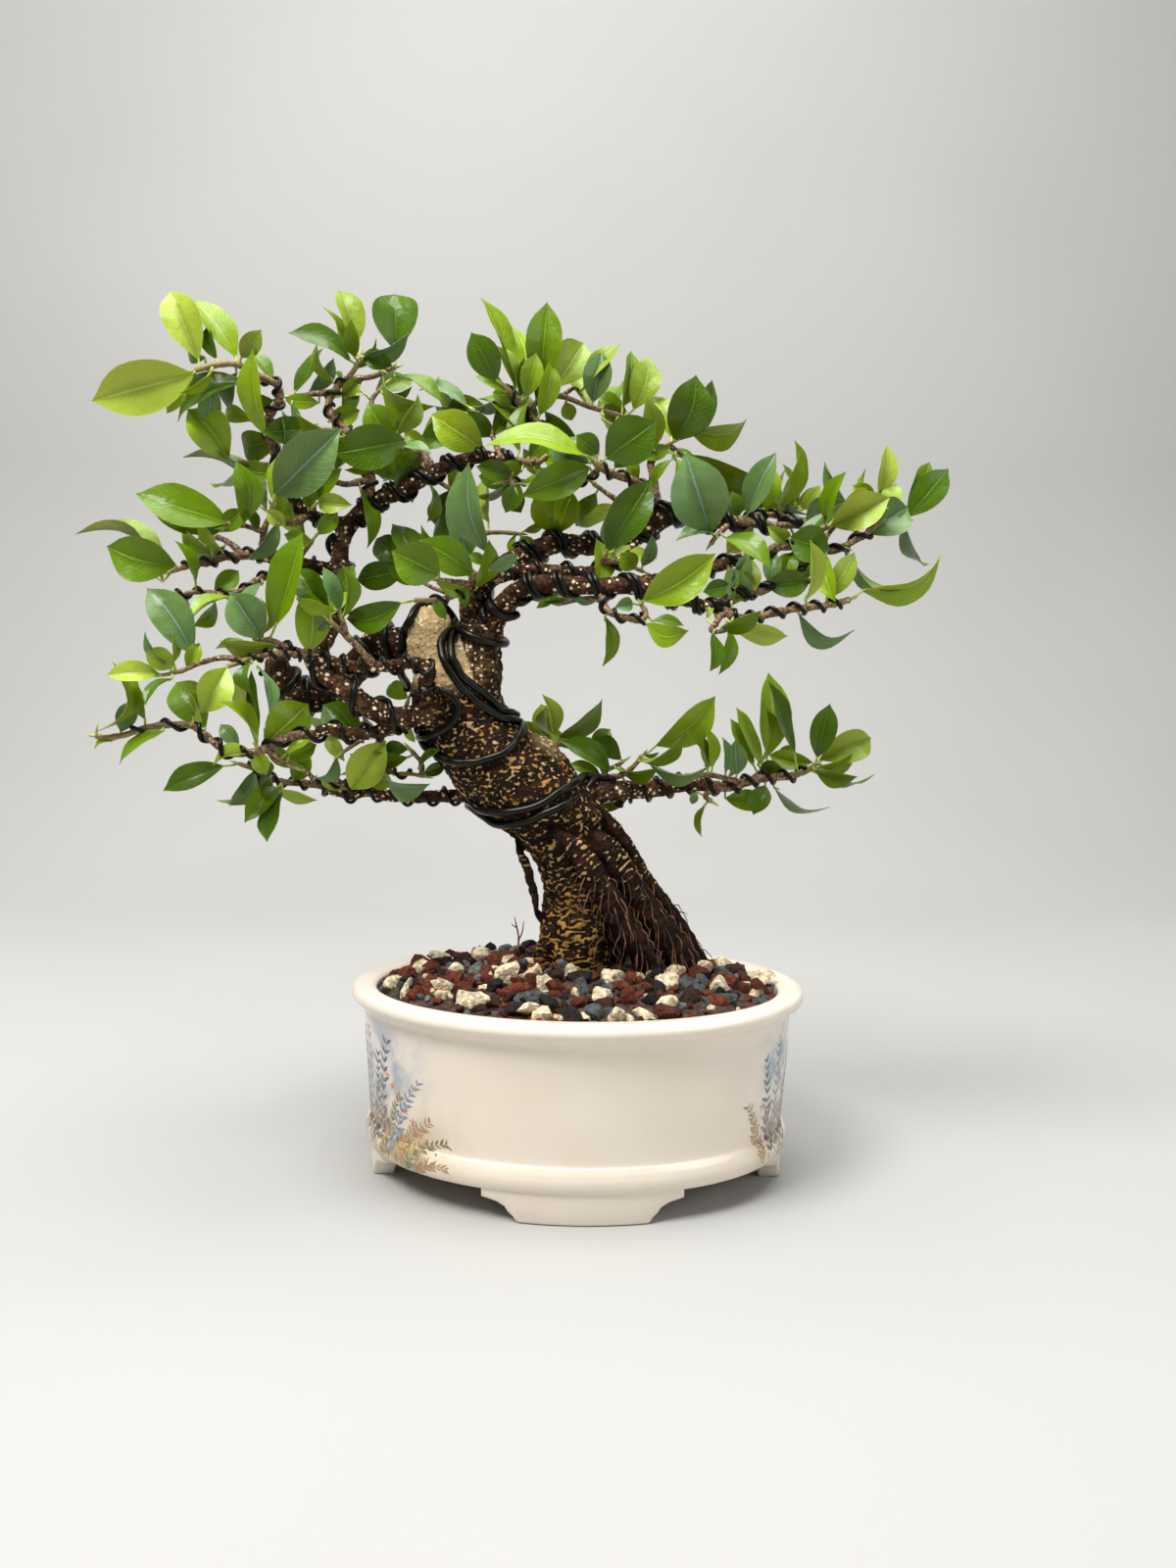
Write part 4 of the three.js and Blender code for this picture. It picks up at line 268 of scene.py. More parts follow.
            [23, 250, 15, 248, 6, -4, 4], [-14, 252, -28, 252, 5, 10, 2], [-13, 250, -20, 247.5, 3, -4, 2],
            [-5, 254, 9, 252.5, 4, 10, 4]]},
    "middleUp": {
        "twigs": [
            [1.5, 1, [[6, 264, -10], [9, 268, -14], [11, 272, -16]]],
            [1.3, 0.9, [[9, 268, -14], [16, 268, -14], [22, 266, -12], [27, 264, -10]]]],
        "leaves": [
            [11, 273, 30.4, 304.3, 17, -8, 0, -1, 0], [24, 265, 17, 272, 9, 8, 2],
            [27, 266, 31, 280, 6, 6, 4]]},
    "shoulderRight": {
        "twigs": [
            [2.4, 1.4, [[63, 286, 0], [72, 286, -2], [84, 284, -4], [96, 285, -6], [104, 283, -8],
                [109, 284, -9]]],
            [1.8, 1, [[70, 286.5, -2], [80, 289, 6], [90, 288, 10], [98, 287, 13]]],
            [1.4, 0.9, [[66, 286, -1], [60, 280, -10], [57, 276, -14]]],
            [1.1, 0.9, [[84, 288.5, 8], [90, 291, 18], [95, 292, 26]]]],
        "leaves": [
            [57, 281, 45, 315.5, 24, -14, 4], [73, 289, 85, 316, 12, -8, 4, -1, 0],
            [69, 288, 66, 299, 8, 10, 0], [100, 289, 89.5, 310, 5, 16, 4, -1, -5],
            [95, 292, 88, 311, 3.5, 10, 1], [93, 291, 86, 299, 4, 12, 1], [97, 291, 105, 302, 7, 14, 3],
            [99, 286.5, 117, 295.5, 14, -6, 4], [110, 284.5, 136, 297, 15, -10, 3],
            [113, 290, 128, 298, 11, 10, 3], [88, 290, 76, 294, 8, 24, 1], [94, 293, 106, 298, 10, 26, 2],
            [60, 279, 42, 278.5, 4.5, -12, 4, 1, 2], [76, 284, 64, 272, 9, 12, 3],
            [86, 283, 92, 277, 6, 4, 3]]},
    "farRight": {
        "twigs": [
            [2, 1, [[70, 270, -10], [80, 273, -12], [88, 275, -13], [96, 275, -12], [105, 274, -11],
                [112, 273.5, -10], [119, 277, -9], [126, 281, -8], [133, 287, -6], [139, 288, -4],
                [143, 287.5, -2]]],
            [1.2, 0.9, [[126, 281, -8], [129, 288, 2], [130.5, 294, 6]]],
            [1.2, 0.9, [[105, 274, -11], [110, 282, 0], [116, 289, 10]]]],
        "leaves": [
            [118, 292, 106, 312, 5, 16, 4, -1, 2], [130.5, 297, 133.5, 319.5, 8, 2, 3],
            [129, 296, 119, 302, 8, 14, 2], [126, 281, 144, 293, 17, 6, 4],
            [144, 288.5, 161, 309.5, 13.5, 4, 0], [116, 275, 156, 261.5, 4.5, -8, 4, 1, 6],
            [92, 279, 110, 274, 16, -6, 0], [97, 277, 97, 259, 12, 8, 0], [91, 277, 82, 284, 6, -6, 3],
            [134, 289, 138, 303, 9, 14, 2], [122, 281, 112, 296, 10, 22, 1]]},
    "lowShelfRight": {
        "twigs": [
            [2, 1, [[60, 248, -21], [64, 252, -20], [72, 255, -19], [80, 255.5, -18], [88, 259, -16],
                [95, 262, -14], [97, 268, -12], [94, 274, -14]]],
            [2, 1.3, [[61.5, 249.5, -21], [64, 247, -23], [69, 244, -24], [77, 244, -24], [86, 246, -23],
                [96, 248, -22], [106, 249, -21], [114, 250.5, -20], [119, 252, -19]]],
            [1.3, 0.9, [[63.5, 247, -22.6], [60, 241, -27], [58, 238.5, -31], [60, 237.5, -32],
                [65, 238.5, -30], [67, 242, -27]]]],
        "leaves": [
            [125, 256, 161, 271, 10, 6, 2, 1, 3], [67, 242, 92.5, 234.5, 9, 4, 3, 1, -1],
            [97, 245.5, 122, 239, 7, 8, 4, 1, 5], [65, 266, 73.5, 250.5, 11, -12, 4],
            [66, 258, 54, 255, 8, 10, 0], [82, 258, 102, 260, 12, 10, 0], [89, 260, 93, 273, 9, 12, 1],
            [84, 258, 85, 273, 8, 18, 4], [78, 257, 69, 264, 6, 14, 3], [98, 263, 108, 270, 5, 8, 3],
            [97, 261, 109, 262, 3, 4, 2], [56, 243, 54, 252, 3, -4, 3], [61, 240, 57, 249, 3, 4, 3]]},
    "lowBranchRight": {
        "twigs": [
            [2.6, 1.2, [[59, 168.5, 12], [66, 168, 11], [74, 170, 10], [84, 172.5, 10], [94, 173, 10],
                [101, 175, 11], [106, 178, 12]]],
            [1.4, 1, [[73, 170.2, 9.6], [66, 172, 5], [58, 173.6, 3], [48, 173, 4]]],
            [1.5, 1, [[61, 168.3, 12], [57, 164, 7], [60, 161.5, 4]]],
            [1.2, 0.9, [[77.5, 171.2, 10.3], [80, 174, 20], [84, 177, 26]]]],
        "leaves": [
            [58, 176.5, 60, 191.5, 9, -4, 3], [66, 174.5, 65, 190.5, 4.5, 12, 4],
            [71, 173.5, 70, 189, 10.5, -4, 4], [79, 177, 69, 199.5, 5.5, -4, 2, 1, -4],
            [83, 177, 72, 204.5, 6, 2, 2, 1, -4], [84.5, 182, 84, 219.5, 14.5, 6, 2],
            [97, 182, 85, 216, 6, -8, 0, 1, -4], [105, 179.5, 85, 183, 9, -6, 2, 1, -2],
            [88, 180, 97, 187, 6, 14, 1], [107, 181.5, 112, 206, 12, 2, 0],
            [108, 180.5, 131.5, 191, 15, 10, 3], [108, 178.5, 133, 173, 3.5, -6, 0, 1, 3],
            [66, 163, 83, 160, 10, 2, 1, 1, -1], [84, 169, 79, 155.5, 10, -4, 0],
            [88, 168, 113, 158, 3.5, 8, 4, 1, 2], [53, 166, 51, 160, 4, -4, 4],
            [81, 175, 92, 176, 10, 10, 1]]},
    "behindTrunk": {
        "twigs": [
            [1.8, 1.1, [[12, 167, 13], [12, 172, 18], [10, 178, 24], [4, 183, 30], [-4, 186, 34],
                [-12, 187, 36]]],
            [1.2, 0.9, [[11.5, 175, 20], [16, 177, 22], [20, 179.5, 24]]],
            [1.4, 1, [[12, 172, 18], [19, 173, 12], [24, 176.5, 8], [28, 181.5, 6]]]],
        "leaves": [
            [34.5, 186.5, 60.5, 209, 14, -4, 2, 1, 2], [30, 180.5, 59, 176, 4.5, -4, 4, 1, 2],
            [29, 182, 36, 183, 2, 6, 2], [14, 175, -8.5, 188.5, 10.5, -6, 0, 1, 1],
            [19, 180, 4, 187, 10, 8, 0, 1, 3], [10, 172, -5, 178, 6, 4, 1],
            [24, 166, 9, 159, 10, 10, 2, -1, 0], [-13, 189, -17.5, 205, 12.5, 6, 2],
            [-9.5, 190, 10.5, 207, 9, 4, 1, 1, 2], [-13, 188, -30, 195, 9, 10, 2],
            [17, 171, 18, 178, 3, -4, 3], [5, 184, 14, 194, 9, 22, 1]]},
    "farLeft": {
        "twigs": [
            [2.2, 1, [[-142, 270.5, 8], [-150, 269.5, 6], [-158, 269, 3], [-166, 266.5, 0],
                [-174, 265, -2], [-182, 262.5, -4]]],
            [1.6, 0.9, [[-150, 269.5, 6], [-156, 275, 8], [-163, 278, 10], [-169, 277, 10]]],
            [2, 1.1, [[-141, 270.5, 8], [-141, 278, 4], [-140, 283, 2], [-137, 288, 0]]],
            [1.3, 0.9, [[-140.5, 280, 3], [-147, 282, -2], [-152, 283, -6], [-158, 282, -8]]]],
        "leaves": [
            [-180, 265, -211, 273.5, 19.5, -6, 1, 1, -2], [-186, 258, -223.5, 280, 5.5, -8, 3, 1, 6],
            [-156, 284, -197.5, 297, 17, -4, 1, 1, -2], [-168.5, 279, -191, 292, 11.5, -10, 0, 1, 1],
            [-149.5, 284, -153, 311, 12, -10, 1, -1, 4], [-139.5, 289, -174.5, 315, 6, 14, 4, 1, 2],
            [-143, 281, -150, 291, 5, 6, 0], [-160, 280, -150, 290, 9, 20, 1]]},
    "outLow": {
        "twigs": [
            [1.9, 0.9, [[-122, 266, 9], [-130, 263.5, 4], [-139, 261, 0], [-145, 258, -3], [-151, 254, -6],
                [-160, 252.5, -8], [-170, 253.5, -10], [-178, 252.5, -11], [-186, 253, -12]]],
            [1.3, 0.9, [[-130, 263.5, 4], [-124, 270, 0], [-119, 277, -2]]]],
        "leaves": [
            [-185, 252, -177, 241, 13, 8, 4], [-174, 251, -177, 247, 2, 2, 3],
            [-119, 275, -132, 279, 7, 8, 2], [-117, 279, -108, 289, 8, 10, 1],
            [-163, 254, -152, 263, 9, 18, 1]]},
    "midLeft": {
        "twigs": [
            [2, 1, [[-118, 224.5, -22], [-126, 227.5, -23], [-133, 230, -24], [-139, 232.5, -25],
                [-145, 231.5, -26]]],
            [1.8, 0.9, [[-121, 225.5, -22], [-130, 226.5, -26], [-140, 226, -29], [-150, 223, -31],
                [-158, 220.5, -32]]],
            [1.3, 0.8, [[-150, 223, -31], [-160, 224.5, -28], [-170, 222, -26], [-178, 218.5, -26],
                [-187, 216.5, -27]]]],
        "leaves": [
            [-136, 239, -124, 280, 14, -8, 1, -1, 3], [-121.5, 227, -121.5, 255, 15, -8, 2, 1, 2],
            [-142, 233, -156, 253.5, 17, -4, 4], [-145, 232, -158, 241, 3, -8, 3],
            [-145, 233, -143, 251, 3, -6, 3, 1, 3], [-158, 220, -169.5, 199.5, 15, -8, 3],
            [-173, 226, -193.5, 255.5, 17, 6, 4, 1, 2], [-188, 217, -212, 216.5, 9, -4, 3],
            [-181, 220.5, -194.5, 227, 10, -4, 3], [-182, 222, -182, 237, 4, 4, 3],
            [-147, 223, -147, 208, 6, 12, 0, 1, 4], [-176, 220, -170, 231, 7, 16, 2]]},
    "innerLeft": {
        "twigs": [
            [1.8, 1, [[-92, 221, -24], [-98, 228, -27], [-106, 236, -28], [-112, 241, -28]]],
            [1.2, 0.9, [[-104, 234, -28], [-107, 244, -30], [-110, 252, -30]]]],
        "leaves": [
            [-113, 242, -128, 264.5, 13, 8, 0, 1, 1], [-107, 246, -114, 265, 7, -6, 4, 1, -1],
            [-111, 242, -119, 238, 6, 10, 4], [-109, 253, -101, 266, 8, 6, 1]]},
    "lowTipLeft": {
        "twigs": [
            [2, 1.1, [[-119, 190.5, -18], [-128, 190, -20], [-136, 187, -21], [-143, 183, -22],
                [-150, 182, -22], [-157, 182, -22], [-163, 185.5, -22], [-169, 190.5, -22],
                [-176, 194.5, -22], [-187, 194, -22], [-195, 193, -22], [-203, 190, -22],
                [-211, 188.5, -22], [-217, 189, -22]]],
            [1.5, 0.8, [[-141, 184, -22], [-134, 178, -20], [-128, 175.5, -18]]]],
        "leaves": [
            [-217, 191, -209, 222.5, 7, -8, 3, 1, 8], [-206, 191, -201, 205, 9, 8, 4],
            [-210, 187, -218.5, 184, 2, -4, 3], [-168, 193, -181, 214, 17, 8, 1],
            [-145, 186, -146, 219, 5.5, 6, 0, 1, -7], [-153, 184.5, -161.5, 195, 7, -4, 4],
            [-141, 186, -121.5, 204.5, 19, 6, 2, -1, 0], [-146, 183, -141, 172, 8, 8, 2],
            [-131, 180, -118, 186, 9, 16, 1]]},
    "lowMidLeft": {
        "twigs": [
            [1.5, 0.9, [[-80, 195, -12], [-84, 195, -3], [-92, 192, 1], [-100, 187, 1], [-107, 182, -1]]],
            [1.2, 0.8, [[-84, 195, -3], [-79, 201, 2], [-77, 206, 4]]],
            [1.2, 0.8, [[-92, 192, 1], [-96, 197, 4], [-97, 200, 6]]]],
        "leaves": [
            [-97, 187, -115, 204, 16, 12, 0], [-106, 179, -114, 190, 7, 6, 3],
            [-77, 207, -86, 213, 9, 6, 1], [-78, 196, -74, 187, 4, 8, 2],
            [-98, 199, -84, 206, 10, 14, 1]]},
    "lowestSpray": {
        "twigs": [
            [1.9, 1, [[-110, 165.5, 17], [-117, 167.5, 15], [-126, 168.5, 12], [-134, 169, 10],
                [-141, 171.5, 8], [-147, 175, 6], [-153, 177, 4]]],
            [1.4, 0.9, [[-117, 167.5, 15], [-110, 169, 8], [-102, 167, 6], [-95, 170, 5], [-88, 175, 4],
                [-83, 173, 2], [-76, 173, 0], [-70, 172, 0]]],
            [1.2, 0.9, [[-118, 168, 15], [-122, 173, 6], [-128, 176, 2]]],
            [1.2, 0.9, [[-71, 172.2, 0], [-71, 178, 2], [-76, 184, 0]]]],
        "leaves": [
            [-160, 176, -187.5, 164.5, 11, -4, 0, 1, -1], [-146, 174, -158, 158, 9, -6, 4, 1, -3],
            [-144, 173, -142.5, 158, 12, 4, 0], [-139, 167, -118, 160.5, 5, 6, 3, 1, -2],
            [-103, 166, -87, 188, 17, -4, 3], [-104, 166, -117, 171, 7, 6, 3],
            [-95, 172, -83.5, 168, 9, -6, 3], [-77, 184, -88, 185, 7, -2, 0],
            [-119, 171, -109, 181, 6, -6, 4, 1, 3], [-70, 173, -60, 177, 6, 10, 0],
            [-98, 168, -90, 171, 6, 16, 0], [-129, 170, -121, 181, 9, 14, 1]]},
}

# Laid wires: radius, and across, height and side of their line (-1 in front, 1 behind)
laidWires = {
    "stubBand": (1.5, [[-79, 210, -0.2], [-80.5, 216, -0.5], [-80, 226, -1], [-78.5, 234, -1],
        [-75.5, 241, -0.8], [-70.8, 245.4, 0], [-66.5, 246.5, 0], [-62, 245, 0], [-57, 241, 0.5]]),
    "crossInner": (1.5, [[-57, 237.5, -1], [-58, 232, -1], [-57.4, 225, -1], [-54.5, 219.4, -1],
        [-49.4, 213.5, -1], [-43.6, 209, -1], [-38.2, 203, -1], [-33, 200, -0.5], [-28, 200, 0]]),
    "crossOuter": (1.5, [[-59.5, 238, -1], [-61.8, 232.5, -1], [-61.6, 226.5, -1], [-59.4, 220, -1],
        [-54.6, 213, -1], [-49, 207.6, -1], [-43.6, 203, -1], [-38, 198.4, -1], [-32, 195.8, -0.6],
        [-27, 194, 0.4]]),
    "forkBand": (1.5, [[-56.5, 241.5, -1], [-51, 236, -1], [-45, 232.5, -1], [-39, 231.5, -1],
        [-33.6, 232, 0], [-37, 234, 1]]),
    "forkPairLeft": (1.5, [[-45.5, 260, 0.4], [-45.2, 254.5, -1], [-44, 248, -1], [-41.4, 243, -1]]),
    "forkPairRight": (1.5, [[-41, 256.5, 1], [-40.5, 250, -1], [-38, 246.5, -1], [-33, 244, -1],
        [-29.6, 245.5, 0]]),
    "leftLoop": (1.4, [[-66, 210.5, -1], [-60.5, 209.5, -1], [-55.5, 206, -1], [-54, 201.5, -1],
        [-56, 197, -1], [-60, 193.6, -1], [-64.6, 191, -1], [-70.6, 190.5, -0.2]]),
    "waistBand": (1.5, [[-73, 194, 0.4], [-70, 188, 0], [-64, 183, -1], [-57, 179.5, -1], [-50, 178.6, -1],
        [-42.5, 179.5, -1], [-35, 182, -1], [-29.4, 187, -1], [-27, 191.6, -0.6], [-28.5, 196, 0.6]]),
    "lowBandUpper": (1.5, [[-51.5, 164.5, 0.2], [-46, 159.6, -1], [-40, 156.8, -1], [-28.6, 156.8, -1],
        [-17.8, 159.6, -1], [-9, 164.6, -1], [-1.6, 170, -1], [3.4, 174, 0], [6.5, 176, 1]]),
    "lowBandLower": (1.5, [[-50, 160, 0], [-42, 153.6, -1], [-33, 151, -1], [-24, 152, -1], [-15, 155, -1],
        [-6.7, 159.8, -1], [1.4, 165, -1], [8, 170.4, 0], [12, 169, 0], [16, 165.4, 0], [19.6, 162, 0]]),
}

# Wound wires: radius, turns, start and end as shares of the length, phase, strands, twig of the spray,
# and the limb or spray, or both in turn, that the wire is wound on
coils = {
    "coilDarkEnd": (1.5, 6, 0.56, 0.95, 0, 1, 0, "darkLeft"),
    "coilDarkRoot": (1.5, 3, 0.24, 0.5, 2, 1, 0, "darkLeft"),
    "coilSpeckled": (1.4, 7.5, 0.12, 0.62, 1, 1, 0, "speckledLeft"),
    "coilRidge": (1, 9, 0.6, 0.95, 0, 2, 0, "speckledLeft", "ridgeEnd"),
    "coilUpper": (1.2, 12, 0.1, 0.92, 2, 2, 0, "upperRight", "shoulderRight"),
    "coilFork": (1.1, 14, 0.14, 0.95, 1, 2, 0, "forkRight", "lowShelfRight"),
    "coilMiddle": (1, 6, 0.14, 0.86, 3, 1, 0, "middleRight"),
    "coilShelf": (1, 12, 0.14, 0.9, 0, 1, 0, "rightShelf", "farRight"),
    "coilLowRight": (1, 12, 0.26, 0.96, 1, 1, 0, "lowRight", "lowBranchRight"),
    "coilLowLeft": (1, 13, 0.07, 0.89, 2, 1, 0, "lowLeft", "lowTipLeft"),
    "coilLowest": (0.9, 12, 0.12, 0.97, 0, 1, 0, "lowestLeft", "lowestSpray"),
    "coilHook": (0.9, 12, 0.12, 0.9, 1, 1, 0, "hookLeft", "midLeft"),
    "coilOuter": (0.9, 9, 0.14, 0.93, 2, 1, 0, "outerLeft", "farLeft"),
    "coilTip": (0.9, 10, 0.1, 0.74, 0, 1, 0, "subLeft", "tipLeft"),
    "coilCrown": (0.8, 6, 0.12, 0.94, 0, 1, 0, "crownMiddle"),
    "coilKnot": (0.8, 5, 0.14, 0.94, 1, 1, 0, "crownKnot"),
    "coilOutLow": (0.8, 8, 0.12, 0.92, 1, 1, 0, "outLow"),
    "coilShelfLow": (0.9, 9, 0.04, 0.97, 0, 1, 1, "lowShelfRight"),
    "coilShoulder": (0.8, 6, 0.1, 0.92, 2, 1, 1, "shoulderRight"),
    "coilMidLow": (0.8, 7, 0.1, 0.92, 1, 1, 1, "midLeft"),
    "coilKnotLow": (0.7, 7, 0.1, 0.9, 0, 1, 1, "crownKnot"),
    "coilCrownLeft": (0.8, 11, 0.06, 0.84, 2, 1, 0, "crownLeft"),
    "coilLoop": (0.9, 5, 0.1, 0.9, 0, 1, 0, "middleLoop"),
    "coilLowInner": (0.8, 8, 0.08, 0.9, 1, 1, 1, "lowestSpray"),
    "coilLongShelf": (0.8, 4, 0.1, 0.8, 0, 1, 0, "longShelf"),
}


# Plain mesh work shared by the pieces
def newParts():
    return {"points": [], "faces": [], "slots": [], "uv": [], "tint": []}


def addPoints(parts, points, tint, uvs=None):
    first = len(parts["points"])
    parts["points"].extend(points)
    parts["tint"].extend([tint] * len(points) if isinstance(tint, tuple) else tint)
    parts["uv"].extend(uvs if uvs is not None else [(0.5, 0.5)] * len(points))
    return first


def addFaces(parts, faces, slot=0):
    parts["faces"].extend(faces)
    parts["slots"].extend([slot] * len(faces))


# Four-sided faces between rings of points; turned rings run the other way round
def bandFaces(first, rings, size, turned=False):
    faces = []
    for i in range(rings - 1):
        for k in range(size):
            a, b = first + i * size + k, first + i * size + (k + 1) % size
            faces.append((a, a + size, b + size, b) if turned else (a, b, b + size, a + size))
    return faces


def newObject(name, data):
    piece = bpy.data.objects.new(name, data)
    bpy.context.scene.collection.objects.link(piece)
    return piece


def evaluatedMesh(piece):
    return bpy.data.meshes.new_from_object(piece.evaluated_get(bpy.context.evaluated_depsgraph_get()))


def treeOf(piece):
    mesh = piece.data
    return BVHTree.FromPolygons([v.co for v in mesh.vertices], [tuple(p.vertices) for p in mesh.polygons])


def meshFrom(name, parts, materials, sharpAngle=60):
    mesh = bpy.data.meshes.new(name)
    mesh.from_pydata([tuple(p) for p in parts["points"]], [], parts["faces"])
    for material in materials:
        mesh.materials.append(material)
    mesh.polygons.foreach_set("material_index", parts["slots"])
    tint = mesh.attributes.new("tint", "FLOAT_COLOR", "POINT")
    tint.data.foreach_set("color", np.array([(*t, 1.0) for t in parts["tint"]], np.float32).ravel())
    layer = mesh.uv_layers.new(name="surface")
    corners = np.zeros(len(mesh.loops), np.int32)
    mesh.loops.foreach_get("vertex_index", corners)
    layer.data.foreach_set("uv", np.array(parts["uv"], np.float32)[corners].ravel())
    mesh.polygons.foreach_set("use_smooth", [True] * len(mesh.polygons))
    mesh.set_sharp_from_angle(angle=math.radians(sharpAngle))
    mesh.validate()
    mesh.update()
    return newObject(name, mesh)


def keepPiece(piece, slotName, *nodes):
    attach(piece, "root")
    if nodes:
        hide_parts(*nodes)
    return piece


# A copy of the faces of a piece that a test on middle and normal allows; middles are from the pot's own
def patchOf(piece, name, allowed):
    ground = bmesh.new()
    ground.from_mesh(piece.data)
    shift = Vector((potMiddleX, 0, 0))
    unwanted = [face for face in ground.faces
                if not allowed(face.calc_center_median() / mm - shift, face.normal)]
    bmesh.ops.delete(ground, geom=unwanted, context="FACES")
    mesh = bpy.data.meshes.new(name)
    ground.to_mesh(mesh)
    ground.free()
    return newObject(name, mesh)


# A smooth line through points, with any number of values (radius and so on) carried along
def smoothLine(points, steps):
    rows = np.array(points, float)
    padded = np.vstack([2 * rows[0] - rows[1], rows, 2 * rows[-1] - rows[-2]])
    out = []
    for i in range(1, len(padded) - 2):
        a, b, c, d = padded[i - 1:i + 3]
        for step in range(steps):
            t = step / steps
            out.append(0.5 * (2 * b + (c - a) * t + (2 * a - 5 * b + 4 * c - d) * t * t
                              + (3 * b - a - 3 * c + d) * t ** 3))
    out.append(rows[-1])
    return np.array(out)


def framesAlong(points):
    frames = []
    across = Vector((0, 1, 0))
    for i in range(len(points)):
        along = (points[min(i + 1, len(points) - 1)] - points[max(i - 1, 0)]).normalized()
        across = across - along * across.dot(along)
        if across.length < 1e-4:
            across = Vector((1, 0, 0)) - along * along.x
        across = across.normalized()
        frames.append((along, across, along.cross(across)))
    return frames


# A round bar through points with a radius at each, closed with small domes
def addTube(parts, points, radii, sides, tints=(0, 0, 0), slot=0, dome=0.6, wobble=0.0, seed=0):
    draw = random.Random(seed)
    if isinstance(tints, tuple):
        tints = [tints] * len(points)
    points = [Vector(p) for p in points]
    frames = framesAlong(points)
    first = len(parts["points"])
    last = len(points) - 1
    along = 0.0
    rings = [(points[0] - frames[0][0] * radii[0] * dome, radii[0] * 0.5, 0, tints[0])]
    rings += [(points[i], radii[i], i, tints[i]) for i in range(len(points))]
    rings += [(points[-1] + frames[-1][0] * radii[-1] * dome, radii[-1] * 0.5, last, tints[-1])]
    for number, (centre, radius, frameNumber, tint) in enumerate(rings):
        if number:
            along += (centre - rings[number - 1][0]).length
        _, across, up = frames[frameNumber]
        ring = []
        for k in range(sides):
            angle = 2 * math.pi * k / sides
            size = radius * (1 + wobble * (draw.random() - 0.5))
            ring.append(centre + across * (math.cos(angle) * size) + up * (math.sin(angle) * size))
        addPoints(parts, ring, tint, [(k / sides, along / mm) for k in range(sides)])
    faces = bandFaces(first, len(rings), sides)
    end = first + (len(rings) - 1) * sides
    faces.append(tuple(first + k for k in reversed(range(sides))))
    faces.append(tuple(end + k for k in range(sides)))
    addFaces(parts, faces, slot)


# The same for a line in millimetres that carries its own radius
def addBar(parts, line, sides):
    addTube(parts, [Vector(p[:3]) * mm for p in line], list(line[:, 3] * mm), sides)


def limbLine(rows):
    return [(*(drawn(x, z, depth) / mm), radius * spreadAt(depth)) for x, z, depth, radius in rows]


def twigRows(spray, number=0):
    thick, thin, spots = spray["twigs"][number]
    last = len(spots) - 1
    return [(x, z, depth, thick + (thin - thick) * i / last) for i, (x, z, depth) in enumerate(spots)]


# A plain value or another node's socket goes into a node's input
def feed(tree, node, socket, value):
    if isinstance(value, bpy.types.NodeSocket):
        tree.links.new(value, node.inputs[socket])
    else:
        node.inputs[socket].default_value = value


def addNode(tree, kind, inputs=None, **settings):
    node = tree.nodes.new(kind)
    for key, value in settings.items():
        setattr(node, key, value)
    for socket, value in (inputs or {}).items():
        feed(tree, node, socket, value)
    return node


def mathNode(tree, operation, *values, clamp=False):
    node = addNode(tree, "ShaderNodeMath", dict(enumerate(values)), operation=operation, use_clamp=clamp)
    return node.outputs[0]


def times(tree, a, b, clamp=False):
    return mathNode(tree, "MULTIPLY", a, b, clamp=clamp)


def vectorNode(tree, operation, *values, **inputs):
    inputs = {**dict(enumerate(values)), **inputs}
    return addNode(tree, "ShaderNodeVectorMath", inputs, operation=operation).outputs[0]


# A node group: inputs are (label, kind, start) and outputs (label, kind)
def startGroup(name, treeKind, inputs, outputs):
    tree = bpy.data.node_groups.new(name, treeKind)
    for label, kind, start in inputs:
        socket = tree.interface.new_socket(label, in_out="INPUT", socket_type="NodeSocket" + kind)
        if start is not None:
            socket.default_value = start
    for label, kind in outputs:
        tree.interface.new_socket(label, in_out="OUTPUT", socket_type="NodeSocket" + kind)
    return tree, tree.nodes.new("NodeGroupInput"), tree.nodes.new("NodeGroupOutput")


# A Geometry Nodes group with a mesh and a finish going in
def startGeometry(name, inputs):
    inputs = [("Geometry", "Geometry", None), *inputs, ("Finish", "Material", None)]
    return startGroup(name, "GeometryNodeTree", inputs, [("Geometry", "Geometry")])


# The main line of such a group, from node to node; its end is realized and given the finish
def threadGeometry(tree, given, out, *nodes):
    real = addNode(tree, "GeometryNodeRealizeInstances")
    finish = addNode(tree, "GeometryNodeSetMaterial", {"Material": given.outputs["Finish"]})
    line = (given, *nodes, real, finish, out)
    for before, after in zip(line, line[1:]):
        tree.links.new(before.outputs[0], after.inputs[0])


# Sets a modifier's inputs by label, evaluates it and keeps the result as a plain mesh
def madeWithNodes(carrier, tree, values, name):
    modifier = carrier.modifiers.new("made", "NODES")
    modifier.node_group = tree
    for item in tree.interface.items_tree:
        if item.item_type == "SOCKET" and item.in_out == "INPUT" and item.name in values:
            modifier[item.identifier] = values[item.name]
    carrier.update_tag()
    made = evaluatedMesh(carrier)
    carrier.modifiers.remove(modifier)
    bpy.data.objects.remove(carrier)
    return newObject(name, made)


# Shader node helpers
def rest(tree, value):
    return mathNode(tree, "SUBTRACT", 1.0, value)


def mixColour(tree, share, a, b, blend="MIX"):
    node = addNode(tree, "ShaderNodeMix", data_type="RGBA", blend_type=blend)
    for socket, value in ((0, share), (6, a), (7, b)):
        feed(tree, node, socket, (*value, 1) if isinstance(value, tuple) else value)
    return node.outputs[2]


def tinted(tree, colour, tint):
    return mixColour(tree, 1.0, colour, tint, "MULTIPLY")


# Colours laid over one another: each layer is a mask, a tone and, where given, the mask's strength
def layered(tree, colour, *layers):
    for mask, tone, *strength in layers:
        colour = mixColour(tree, times(tree, mask, *strength) if strength else mask, colour, tone)
    return colour


